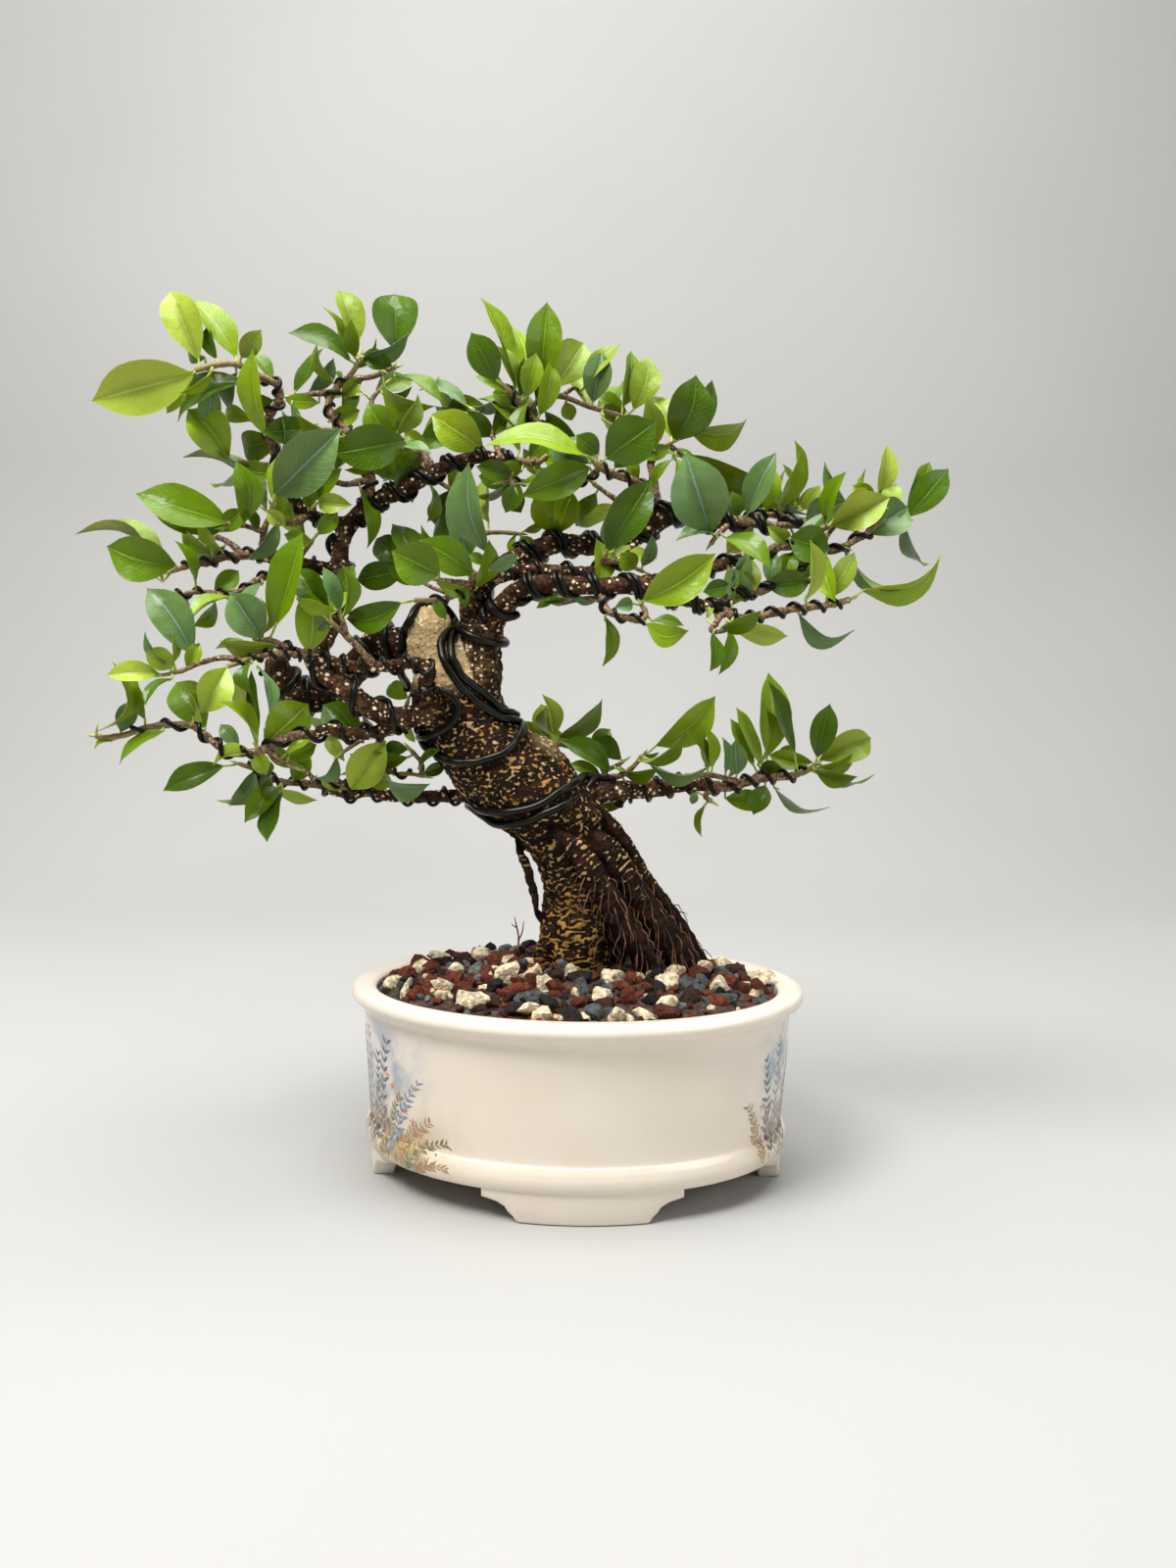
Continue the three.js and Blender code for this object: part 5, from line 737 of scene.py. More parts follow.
def rampOf(tree, value, stops, constant=False):
    node = addNode(tree, "ShaderNodeValToRGB", {"Fac": value})
    node.color_ramp.interpolation = "CONSTANT" if constant else "LINEAR"
    elements = node.color_ramp.elements
    while len(elements) < len(stops):
        elements.new(0.5)
    for element, (place, colour) in zip(elements, stops):
        element.position = place
        element.color = (*colour, 1)
    return node.outputs["Color"]


def greyRamp(tree, value, low, high):
    node = addNode(tree, "ShaderNodeMapRange", {"Value": value, "From Min": low, "From Max": high},
                   clamp=True, interpolation_type="SMOOTHSTEP")
    return node.outputs["Result"]


def startMaterial(name, **sockets):
    material = bpy.data.materials.new(name)
    material.use_nodes = True
    tree = material.node_tree
    shader = tree.nodes["Principled BSDF"]
    for label, value in sockets.items():
        shader.inputs[label.replace("_", " ")].default_value = value
    return material, tree, shader


def objectSpot(tree):
    return addNode(tree, "ShaderNodeTexCoord").outputs["Object"]


def attributeOf(tree, name, output):
    return addNode(tree, "ShaderNodeAttribute", attribute_name=name).outputs[output]


# Red, green and blue of a colour attribute of the piece
def partsOf(tree, name):
    return addNode(tree, "ShaderNodeSeparateColor", {"Color": attributeOf(tree, name, "Color")}).outputs


def addBump(tree, shader, height, strength, distance):
    bump = addNode(tree, "ShaderNodeBump", {"Strength": strength, "Distance": distance, "Height": height})
    feed(tree, shader, "Normal", bump.outputs["Normal"])


# Soft-edged patches of noise, shared by bark, stone, glaze and leaves
def patchGroup():
    group, given, out = startGroup("patches", "ShaderNodeTree", [
        ("Vector", "Vector", None), ("Scale", "Float", 5.0), ("Detail", "Float", 3.0),
        ("Low", "Float", 0.4), ("High", "Float", 0.6)], [("Mask", "Float"), ("Value", "Float")])
    cloud = addNode(group, "ShaderNodeTexNoise",
                    {label: given.outputs[label] for label in ("Vector", "Scale", "Detail")})
    mask = greyRamp(group, cloud.outputs["Fac"], given.outputs["Low"], given.outputs["High"])
    group.links.new(mask, out.inputs["Mask"])
    group.links.new(cloud.outputs["Fac"], out.inputs["Value"])
    return group


# Rounded flecks, one in some of the cells, such as lenticels
def fleckGroup():
    group, given, out = startGroup("flecks", "ShaderNodeTree", [
        ("Vector", "Vector", None), ("Scale", "Float", 0.5), ("Stretch", "Vector", (1.0, 1.0, 1.0)),
        ("Size", "Float", 0.3), ("Share", "Float", 0.5)], [("Mask", "Float")])
    vector = given.outputs["Vector"]
    wobble = addNode(group, "ShaderNodeTexNoise", {"Vector": vector, "Scale": 0.9}).outputs["Color"]
    bent = vectorNode(group, "MULTIPLY_ADD", wobble, (1.1, 1.1, 1.1), vector)
    stretched = vectorNode(group, "MULTIPLY", bent, given.outputs["Stretch"])
    cells = addNode(group, "ShaderNodeTexVoronoi",
                    {"Vector": stretched, "Scale": given.outputs["Scale"]}, feature="F1")
    parts = addNode(group, "ShaderNodeSeparateColor", {"Color": cells.outputs["Color"]})
    reach = times(group, given.outputs["Size"], mathNode(group, "ADD", parts.outputs["Green"], 0.5))
    spot = rest(group, greyRamp(group, cells.outputs["Distance"], times(group, reach, 0.7), reach))
    chosen = mathNode(group, "LESS_THAN", parts.outputs["Red"], given.outputs["Share"])
    group.links.new(times(group, spot, chosen), out.inputs["Mask"])
    return group


patches = patchGroup()
flecks = fleckGroup()


def placeGroup(tree, group, **values):
    return addNode(tree, "ShaderNodeGroup", values, node_tree=group)


# The patches' mask and their plain noise
def cloudAt(tree, scale, detail, low, high):
    node = placeGroup(tree, patches, Vector=objectSpot(tree), Scale=scale, Detail=detail, Low=low, High=high)
    return node.outputs["Mask"], node.outputs["Value"]


# The flecks' mask; their scale is for millimetres
def flecksAt(tree, scale, size, share, stretch=(1.0, 1.0, 1.0)):
    larger = vectorNode(tree, "SCALE", objectSpot(tree), Scale=1 / mm)
    node = placeGroup(tree, flecks, Vector=larger, Scale=scale, Size=size, Share=share, Stretch=stretch)
    return node.outputs["Mask"]


# Bark: gold maze low on the stem, dark with cream dashes above, red-brown limbs with pale dots
barkLook = {
    "dark": (0.008, 0.004, 0.002), "brown": (0.026, 0.012, 0.004), "gold": (0.38, 0.2, 0.045),
    "cream": (0.52, 0.35, 0.17), "limb": (0.045, 0.018, 0.009), "limbPale": (0.16, 0.08, 0.035),
    "dots": (0.95, 0.8, 0.55), "stub": (0.58, 0.41, 0.2), "stubPale": (0.95, 0.78, 0.48),
    "root": (0.008, 0.0035, 0.002), "rootBrown": (0.03, 0.011, 0.0045), "rootPale": (0.5, 0.31, 0.135),
}


def makeBark():
    look = barkLook
    material, tree, shader = startMaterial("tigerBark", Roughness=0.62, Specular_IOR_Level=0.12)
    isGold, isLimb, isStub = partsOf(tree, "zones")
    isRoot = attributeOf(tree, "zones", "Alpha")
    broad, _ = cloudAt(tree, 150.0, 4.0, 0.42, 0.64)
    mottle, grain = cloudAt(tree, 620.0, 5.0, 0.42, 0.6)
    specks = flecksAt(tree, 0.7, 0.3, 0.5, (0.75, 0.75, 1.2))
    dots = flecksAt(tree, 0.44, 0.33, 0.66, (1.0, 1.0, 1.15))
    # the ridges carved in the skin, with their edges broken up finer than the skin's own points
    ragged = mathNode(tree, "MULTIPLY_ADD", grain, 1.5, attributeOf(tree, "ridges", "Fac"))
    ridges = greyRamp(tree, ragged, 1.18, 1.42)
    dashes = layered(tree, look["cream"], (broad, look["gold"]), (specks, look["brown"], 0.6))
    stem = layered(tree, look["dark"], (broad, look["brown"]), (specks, look["gold"], 0.5), (ridges, dashes))
    old = layered(tree, look["dark"], (ridges, look["gold"]), (broad, look["brown"], 0.6))
    limb = layered(tree, look["limb"], (broad, look["limbPale"]), (mottle, look["dark"], 0.7),
                   (dots, look["dots"]))
    stub = layered(tree, look["stub"], (ridges, look["stubPale"]), (specks, look["brown"], 0.7),
                   (broad, look["brown"], 0.3))
    root = layered(tree, look["root"], (broad, look["rootBrown"]), (ridges, look["rootPale"]))
    colour = layered(tree, stem, (isGold, old), (isLimb, limb), (isStub, stub), (isRoot, root))
    feed(tree, shader, "Base Color", colour)
    addBump(tree, shader, mathNode(tree, "ADD", ridges, times(tree, grain, 1.3)), 0.8, 0.0008)
    feed(tree, shader, "Roughness", greyRamp(tree, grain, -0.2, 0.9))
    return material


# Twig bark: brown with pale specks, greener towards the young ends
twigTone = {"old": (0.07, 0.032, 0.014), "pale": (0.3, 0.18, 0.085), "young": (0.32, 0.25, 0.08),
            "specks": (0.7, 0.58, 0.38)}


def makeTwigs():
    material, tree, shader = startMaterial("twigBark", Roughness=0.66)
    mask, grain = cloudAt(tree, 700.0, 4.0, 0.4, 0.65)
    youngEnd = greyRamp(tree, partsOf(tree, "tint")["Blue"], 0.5, 1.1)
    colour = layered(tree, twigTone["old"], (mask, twigTone["pale"]), (youngEnd, twigTone["young"], 0.8),
                     (flecksAt(tree, 0.75, 0.26, 0.3), twigTone["specks"]))
    feed(tree, shader, "Base Color", colour)
    addBump(tree, shader, grain, 0.6, 0.0005)
    return material


# Leaves: tone by age, save tone 4, a grey-blue painted sheen; paler midrib and margin, faint side veins;
# waxy above and dull below
leafTone = {
    # the upper ramp's last stop, reached by tone 4, is a grey-blue painted sheen, a reflection put into the
    # colour
    "upper": [(0.0, (0.043, 0.1, 0.0005)), (0.2, (0.06, 0.128, 0.0005)), (0.3, (0.112, 0.205, 0.001)),
              (0.45, (0.145, 0.242, 0.002)), (0.55, (0.185, 0.29, 0.006)), (0.9, (0.09, 0.172, 0.034))],
    "under": [(0.0, (0.11, 0.18, 0.018)), (0.5, (0.18, 0.26, 0.02)), (1.0, (0.12, 0.18, 0.03))],
    "young": [(0.0, (0.14, 0.23, 0.01)), (1.0, (0.27, 0.36, 0.025))],
    # deep darkens the middle fold of each leaf as painted shade
    "bright": (1.6, 1.58, 2.4), "rib": (3.2, 2.3, 12.0), "deep": (0.5, 0.58, 0.6),
    "spot": (0.42, 0.25, 0.02), "veins": 13.0,
}


def makeLeaf(name, ramp, byShade, roughness, coat, ribShare, translucence):
    material, tree, shader = startMaterial(
        name, Roughness=roughness, Coat_Weight=coat, Specular_IOR_Level=0.2, Coat_Roughness=0.16,
        Subsurface_Weight=translucence, Subsurface_Scale=0.002)
    shade, ageAndSheen, spotted = partsOf(tree, "tint")
    uv = addNode(tree, "ShaderNodeUVMap", uv_map="surface").outputs["UV"]
    place = addNode(tree, "ShaderNodeSeparateXYZ", {"Vector": uv})
    side = mathNode(tree, "ABSOLUTE", mathNode(tree, "SUBTRACT", place.outputs["Y"], 0.5))
    base = rampOf(tree, shade if byShade else ageAndSheen, ramp)
    mask, cloud = cloudAt(tree, 90.0, 3.0, 0.3, 0.7)
    brighter = tinted(tree, base, leafTone["bright"])
    rib = rest(tree, greyRamp(tree, side, 0.008, 0.03))
    foldShade = rest(tree, greyRamp(tree, side, 0.03, 0.2))
    margin = greyRamp(tree, side, 0.478, 0.5)
    slant = mathNode(tree, "SUBTRACT", times(tree, place.outputs["X"], leafTone["veins"]),
                     times(tree, side, 7.0))
    wave = mathNode(tree, "ABSOLUTE", mathNode(tree, "SINE", times(tree, slant, 3.14159)))
    vein = rest(tree, greyRamp(tree, wave, 0.02, 0.2))
    lines = mathNode(tree, "MAXIMUM", times(tree, rib, ribShare), times(tree, vein, 0.18))
    lines = mathNode(tree, "MAXIMUM", lines, times(tree, margin, 0.3))
    blotch, _ = cloudAt(tree, 620.0, 2.0, 0.6, 0.66)
    isSpotted = mathNode(tree, "GREATER_THAN", spotted, 0.9)
    # painted shade darkens the trough along the middle fold; the ribs and the margin are paler
    colour = layered(tree, base, (mask, brighter, 0.5), (shade, brighter, 0.55),
                     (foldShade, tinted(tree, base, leafTone["deep"]), 0.35),
                     (lines, tinted(tree, base, leafTone["rib"])), (blotch, leafTone["spot"], isSpotted))
    feed(tree, shader, "Base Color", colour)
    height = mathNode(tree, "ADD", times(tree, vein, 0.3), times(tree, rib, -0.8))
    addBump(tree, shader, mathNode(tree, "ADD", height, times(tree, cloud, 4.0)), 0.5, 0.0007)
    return material


# Glaze: warm white, with soft washes of colour at both ends where the sprigs are painted
glazeLook = {"white": (0.84, 0.745, 0.63), "pool": (0.78, 0.67, 0.55), "speck": (0.16, 0.09, 0.06),
             "blueWash": (0.26, 0.35, 0.46), "ochreWash": (0.5, 0.35, 0.15)}


def makeGlaze():
    look = glazeLook
    material, tree, shader = startMaterial("warmWhiteGlaze", Roughness=0.2, Coat_Weight=0.6,
                                           Coat_Roughness=0.05)
    broad, _ = cloudAt(tree, 28.0, 3.0, 0.35, 0.7)
    cloudy, _ = cloudAt(tree, 75.0, 4.0, 0.4, 0.62)
    colour = layered(tree, look["white"], (broad, look["pool"], 0.5))
    # the washes lie where the pot's tint attribute is above nought: red for blue, green for ochre
    wash = partsOf(tree, "tint")
    for channel, tone in (("Red", look["blueWash"]), ("Green", look["ochreWash"])):
        share = times(tree, wash[channel], mathNode(tree, "ADD", cloudy, 0.3))
        colour = mixColour(tree, times(tree, share, 0.95, True), colour, tone)
    colour = layered(tree, colour, (flecksAt(tree, 0.06, 0.035, 0.22), look["speck"], 0.8))
    feed(tree, shader, "Base Color", colour)
    _, ripple = cloudAt(tree, 55.0, 2.0, 0.3, 0.7)
    addBump(tree, shader, ripple, 0.14, 0.001)
    return material


# Brushed colour of the painted sprigs, under the same gloss as the glaze
def makeBrushwork():
    material, tree, shader = startMaterial("brushedGlaze", Roughness=0.24, Coat_Weight=0.5,
                                           Coat_Roughness=0.05)
    thin, _ = cloudAt(tree, 500.0, 4.0, 0.4, 0.65)
    tint = attributeOf(tree, "tint", "Color")
    feed(tree, shader, "Base Color", layered(tree, tint, (thin, glazeLook["white"], 0.25)))
    return material


# Stones: each takes one of the gravel's colours by its own tone
stoneTones = [(0.0, (0.14, 0.03, 0.012)), (0.2, (0.07, 0.084, 0.085)), (0.34, (0.68, 0.56, 0.36)),
              (0.41, (0.03, 0.011, 0.006)), (0.6, (0.085, 0.02, 0.009)), (0.76, (0.14, 0.155, 0.15)),
              (0.84, (0.012, 0.01, 0.009)), (0.94, (0.76, 0.66, 0.46))]


def makeStones():
    material, tree, shader = startMaterial("mixedGravel", Roughness=0.8, Specular_IOR_Level=0.25)
    base = rampOf(tree, attributeOf(tree, "stoneTone", "Fac"), stoneTones, constant=True)
    pores, grain = cloudAt(tree, 520.0, 6.0, 0.42, 0.56)
    broad, _ = cloudAt(tree, 330.0, 3.0, 0.35, 0.7)
    colour = layered(tree, base, (pores, tinted(tree, base, (0.35, 0.3, 0.27)), 0.75),
                     (broad, tinted(tree, base, (1.35, 1.3, 1.2)), 0.35))
    feed(tree, shader, "Base Color", colour)
    addBump(tree, shader, grain, 1.0, 0.0016)
    return material


# Finishes of two tones in soft patches: the patches' scale, detail, low and high, and where they
# are given the bump's strength and distance, and the roughness of the dark and of the pale
twoToneLook = {
    "blackWire": {"tones": ((0.002, 0.002, 0.0017), (0.007, 0.0068, 0.005)),
                  "cloud": (260.0, 4.0, 0.45, 0.75), "gloss": (0.24, 0.4),
                  "sockets": {"Specular IOR Level": 0.25, "Specular Tint": (0.9, 0.88, 0.72, 1),
                              "Coat Weight": 0.08, "Coat Roughness": 0.15}},
    "greenStalk": {"tones": ((0.3, 0.38, 0.05), (0.45, 0.5, 0.12)), "cloud": (300.0, 2.0, 0.35, 0.65),
                   "sockets": {"Roughness": 0.45}},
    "darkSoil": {"tones": ((0.02, 0.012, 0.008), (0.09, 0.045, 0.028)), "cloud": (400.0, 6.0, 0.4, 0.65),
                 "bump": (0.9, 0.0012), "sockets": {"Roughness": 0.92}},
    "hairRoot": {"tones": ((0.03, 0.01, 0.005), (0.2, 0.085, 0.035)), "cloud": (120.0, 3.0, 0.42, 0.62),
                 "sockets": {"Roughness": 0.7}},
    "paleWash": {"tones": ((0.385, 0.384, 0.375), (0.415, 0.414, 0.404)), "cloud": (1.5, 3.0, 0.3, 0.7),
                 "sockets": {"Roughness": 0.85}},
}


def makeTwoTone(name):
    look = twoToneLook[name]
    material, tree, shader = startMaterial(name, **look["sockets"])
    mask, grain = cloudAt(tree, *look["cloud"])
    feed(tree, shader, "Base Color", mixColour(tree, mask, *look["tones"]))
    if "bump" in look:
        addBump(tree, shader, grain, *look["bump"])
    if "gloss" in look:
        low, high = look["gloss"]
        rough = addNode(tree, "ShaderNodeMapRange", {"Value": grain, "To Min": low, "To Max": high})
        feed(tree, shader, "Roughness", rough.outputs["Result"])
    return material


barkMaterial = makeBark()
leafMaterials = [
    makeLeaf("leafUpper", leafTone["upper"], False, 0.32, 0.14, 0.65, 0.03),
    makeLeaf("leafUnder", leafTone["under"], False, 0.55, 0.0, 0.6, 0.05),
    makeLeaf("leafYoung", leafTone["young"], True, 0.4, 0.15, 0.35, 0.06),
    makeTwigs(),
    makeTwoTone("greenStalk"),
]
wireMaterial, soilMaterial, hairMaterial, studioMaterial = [
    makeTwoTone(name) for name in ("blackWire", "darkSoil", "hairRoot", "paleWash")]
glazeMaterial = makeGlaze()
brushMaterial = makeBrushwork()
stoneMaterial = makeStones()
print("materials ready")


# Leaves: a folded, arched blade with a drawn-out tip, on a short stalk
leafShape = {
    "rows": [0.0, 0.05, 0.12, 0.21, 0.31, 0.41, 0.52, 0.63, 0.73, 0.82, 0.89, 0.94, 0.98, 1.0],
    "width": [0.05, 0.2, 0.44, 0.69, 0.87, 0.97, 1.0, 0.96, 0.83, 0.62, 0.37, 0.18, 0.06, 0.012],
    "across": [-1.0, -0.72, -0.38, 0.0, 0.38, 0.72, 1.0],
    "trueWidth": 0.44, "arch": 0.1, "fold": (0.12, 0.62), "youngFold": 1.3, "wave": 0.055, "twist": 0.7,
    "tipCurl": (-0.02, 0.09), "halfThick": 0.16, "stalkRadius": 0.62, "baseShare": 0.3,
    "nudges": [0, 4, -4, 8, -8, 13, -13, 18, -18], "seed": 5, "spotted": ("ridgeEnd", 0),
    # fill leaves take tone 4, the grey-blue painted sheen, one time in nine
    "fillEvery": 16, "fillLength": (13, 27), "fillTones": (0, 1, 1, 1, 2, 2, 2, 3, 4), "fillDepth": 30,
    # left, right, low and high of the sawn stub, which stays clear of filling leaves
    "stubWindow": (-88, -34, 186, 252),
}
leafSlots = {"upper": 0, "under": 1, "young": 2, "wood": 3, "shoot": 4}
youngTone = 3


def nearestTwigSpot(spray, x, z):
    best = None
    for thick, thin, spots in spray["twigs"]:
        for i in range(len(spots) - 1):
            for part in range(7):
                share = part / 6
                mix = [a + (b - a) * share for a, b in zip(spots[i], spots[i + 1])]
                away = math.hypot(mix[0] - x, mix[1] - z)
                radius = thick + (thin - thick) * (i + share) / (len(spots) - 1)
                if best is None or away < best[0]:
                    best = (away, mix, radius)
    return best[1], best[2]


# The leaf's own directions, from its drawn base and tip and the width that shows
def leafFrame(row, rootDepth, nudge):
    baseX, baseZ, tipX, tipZ, seenWidth, out, _, side, _ = row
    base = drawn(baseX, baseZ, rootDepth + (out + nudge) * leafShape["baseShare"])
    tip = drawn(tipX, tipZ, rootDepth + out + nudge)
    along = (tip - base).normalized()
    toViewer = eye - base
    toViewer = (toViewer - along * toViewer.dot(along)).normalized()
    flat = toViewer.cross(along)
    trueWidth = max(seenWidth, leafShape["trueWidth"] * (tip - base).length / mm)
    turn = side * math.acos(seenWidth / trueWidth)
    across = flat * math.cos(turn) + toViewer * math.sin(turn)
    return base, tip, along, across, along.cross(across), flat, trueWidth * mm


# The solid model moved some leaves in depth to keep them clear; the same move is found from it
def leafNudge(row, rootDepth, solidTree):
    def away(nudge):
        base, tip, _, _, face, flat, _ = leafFrame(row, rootDepth, nudge)
        arch = leafShape["arch"] * (tip - base).length
        bend = row[-1] * mm
        spots = [base.lerp(tip, t) + face * (arch * a) - flat * (bend * a)
                 for t, a in ((0.4, 0.96), (0.7, 0.75), (1.0, 0.0))]
        return max(solidTree.find_nearest(spot)[3] for spot in spots) + abs(nudge) * 1e-6
    return min(leafShape["nudges"], key=away)


def addLeaf(parts, spray, row, solidTree, draw, spotted=False):
    baseX, baseZ, *_, tone, _, bend = row
    (rootX, rootZ, rootDepth), rootRadius = nearestTwigSpot(spray, baseX, baseZ)
    nudge = leafNudge(row, rootDepth, solidTree) if solidTree else 0
    base, tip, along, across, face, flat, width = leafFrame(row, rootDepth, nudge)
    length = (tip - base).length
    root = drawn(rootX, rootZ, rootDepth)
    isYoung = tone == youngTone
    fold = draw.uniform(*leafShape["fold"]) * (leafShape["youngFold"] if isYoung else 1.0)
    twist = draw.uniform(-0.5, 0.5) * leafShape["twist"]
    curl = draw.uniform(*leafShape["tipCurl"]) * length
    wavePhase = draw.uniform(0, 6.28)
    shade = draw.random()
    # green carries tone / 4; tone 4 is a grey-blue painted sheen
    tint = (shade, tone / 4, 1.0 if spotted else 0.5)
    columns = leafShape["across"]
    upper, uvs = [], []
    for t, w in zip(leafShape["rows"], leafShape["width"]):
        lift = math.sin(math.pi * t)
        centre = base.lerp(tip, t) + face * (leafShape["arch"] * length * lift) - flat * (bend * mm * lift)
        centre -= face * (curl * max(0, (t - 0.6) / 0.4) ** 2)
        turn = twist * (t - 0.4)
        rowAcross = across * math.cos(turn) + face * math.sin(turn)
        rowFace = face * math.cos(turn) - across * math.sin(turn)
        for v in columns:
            ripple = math.sin(9 * t + wavePhase + (2 if v < 0 else 0))
            wave = leafShape["wave"] * length * ripple * v * v * lift
            rise = fold * abs(v) * width / 2 * w + wave * 0.35
            upper.append(centre + rowAcross * (v * w * width / 2) + rowFace * rise)
            uvs.append((t, 0.5 + v / 2))
    thick = face * (2 * leafShape["halfThick"] * mm)
    depths = [0.35 + 0.65 * (1 - abs(v)) for v in columns] * len(leafShape["rows"])
    lower = [p - thick * depth for p, depth in zip(upper, depths)]
    first = addPoints(parts, upper, tint, uvs)
    second = addPoints(parts, lower, tint, uvs)
    wide, tall = len(columns), len(leafShape["rows"])
    top, bottom, rim = [], [], []
    for r in range(tall - 1):
        for c in range(wide - 1):
            a, b = first + r * wide + c, second + r * wide + c
            top.append((a, a + wide, a + 1 + wide, a + 1))
            bottom.append((b, b + 1, b + 1 + wide, b + wide))
        a, b = first + r * wide, second + r * wide
        rim.append((a, b, b + wide, a + wide))
        a, b = a + wide - 1, b + wide - 1
        rim.append((a, a + wide, b + wide, b))
    for c in range(wide - 1):
        a, b = first + c, second + c
        rim.append((a, a + 1, b + 1, b))
        a, b = a + (tall - 1) * wide, b + (tall - 1) * wide
        rim.append((a, b, b + 1, a + 1))
    addFaces(parts, top + rim, leafSlots["young" if isYoung else "upper"])
    addFaces(parts, bottom, leafSlots["under"])
    stalkStart = root + (base - root).normalized() * (rootRadius * mm * 0.3)
    sag = Vector((0, 0, -0.04)) * (base - stalkStart).length
    stalk = [stalkStart, stalkStart.lerp(base, 0.5) + sag, base,
             base + along * (length * 0.1) - thick * 0.5]
    thin = leafShape["stalkRadius"] * mm
    addTube(parts, stalk, [thin, thin * 0.85, thin * 0.9, thin * 0.4], 6, (shade, 0.9, 0.5),
            leafSlots["shoot"])


# Smaller leaves between the drawn ones, on stalks all along the twigs
def fillLeaves(parts, spray, draw):
    low, high = cadBox
    left, right, bottom, top = leafShape["stubWindow"]
    for _, _, spots in spray["twigs"]:
        length = sum(math.dist(a, b) for a, b in zip(spots, spots[1:]))
        for _ in range(round(length / leafShape["fillEvery"])):
            place = draw.uniform(0.15, 1) * (len(spots) - 1)
            i = min(int(place), len(spots) - 2)
            x, z, depth = [a + (b - a) * (place - i) for a, b in zip(spots[i], spots[i + 1])]
            along = math.atan2(spots[i + 1][1] - spots[i][1], spots[i + 1][0] - spots[i][0])
            angle = along + draw.choice((-1, 1)) * draw.uniform(0.35, 1.5)
            angle += 0.5 * math.cos(angle)  # shoots lift towards the light
            size = draw.uniform(*leafShape["fillLength"])
            stalk = draw.uniform(2, 5)
            base = (x + math.cos(angle) * stalk, z + math.sin(angle) * stalk)
            tip = (base[0] + math.cos(angle) * size, base[1] + math.sin(angle) * size)
            out = draw.uniform(-1, 1) * leafShape["fillDepth"]
            row = (*base, *tip, size * draw.uniform(0.18, 0.44), out, draw.choice(leafShape["fillTones"]),
                   draw.choice((-1, 1)), 0)
            end = drawn(*tip, depth + out)
            hidesStub = any(left < x < right and bottom < z < top for x, z in (tip, base))
            if all(low[axis] < end[axis] < high[axis] for axis in range(3)) and not hidesStub:
                addLeaf(parts, spray, row, None, draw)


# Twigs of a spray, with knots where leaves have been, then its leaves
twigLook = {"stepsPerSpan": 4, "sides": 8, "leastRadius": 0.4, "wobble": 0.16, "knot": 0.22,
            "knotEvery": 5, "budLength": 4.5, "budRadius": 0.75}


def sprayPiece(name, spray, number):
    draw = random.Random(leafShape["seed"] * 100 + number)
    parts = newParts()
    for twig in range(len(spray["twigs"])):
        rows = [(*(drawn(x, z, depth) / mm), radius) for x, z, depth, radius in twigRows(spray, twig)]
        line = smoothLine(rows, twigLook["stepsPerSpan"])
        points = [Vector(p[:3]) * mm for p in line]
        radii = []
        for i, radius in enumerate(line[:, 3]):
            knot = twigLook["knot"] if i % twigLook["knotEvery"] == 2 else 0
            radii.append(max(radius, twigLook["leastRadius"]) * mm * (1 + knot))
        tints = [(draw.random(), 0.0, i / (len(points) - 1)) for i in range(len(points))]
        addTube(parts, points, radii, twigLook["sides"], tints, leafSlots["wood"],
                wobble=twigLook["wobble"], seed=number + twig)
        end = points[-1]
        reach = (end - points[-2]).normalized()
        bud = [end, end + reach * (twigLook["budLength"] * 0.5 * mm),
               end + reach * (twigLook["budLength"] * mm)]
        size = twigLook["budRadius"] * mm
        addTube(parts, bud, [size, size * 0.9, size * 0.15], 6, (0.5, 0.8, 0.5), leafSlots["shoot"])
    solidTree = treeOf(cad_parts[name])
    for place, row in enumerate(spray["leaves"]):
        fullRow = [*row, 1, 0][:9]  # most rows leave out their side and bend
        addLeaf(parts, spray, fullRow, solidTree, draw, (name, place) == leafShape["spotted"])
    fillLeaves(parts, spray, draw)
    return keepPiece(meshFrom("spray_" + name, parts, leafMaterials), "leaves", name)


# Trunk, surface roots and limbs: round lines grown together into one skin, then roughened
trunkLook = {
    "voxel": 0.92, "sides": 22, "stepsPerSpan": 5, "smoothing": 4, "rootShare": 0.9,
    "noduleSize": 3.0, "noduleHeight": 0.75, "fluteSize": 9, "fluteHeight": 1.6,
    "creaseDepth": 3.3, "creaseWidth": 1.8, "creaseShade": 3.2, "creaseBelow": 160,
    "wrinkleHeight": 0.5, "wrinkleEvery": 2.3, "bandEvery": 2.7, "bandBend": 7.5, "bandHeight": 0.55,
    "dashSize": (1.9, 1.35), "dashHeight": 0.4, "goldBelow": 124, "goldFade": 30,
    "stubAbove": 214, "stubFade": 10, "limbFade": 9, "shoulderPale": 0.32,
}
# a bulge of rough bark on the right shoulder, and a root deep between the stem and the outer roots
swellings = {
    "shoulder": [[-32, 177, 3, 15], [-23, 180, 2, 13.5], [-16.5, 180.5, 1, 10.5]],
    "rootInner": [[2, 128, 3, 8], [10, 108, 3, 8], [14.5, 94, 3, 8.5], [15, 88, 3, 9]],
}
rootNames = ("rootRight", "rootFront", "rootEdge", "aerialRoot", "rootInner")
boleNames = ("bole", "fork", "rootLeft", "shoulder")


def smoothShare(value, low, high):
    t = np.clip((value - low) / (high - low), 0, 1)
    return t * t * (3 - 2 * t)


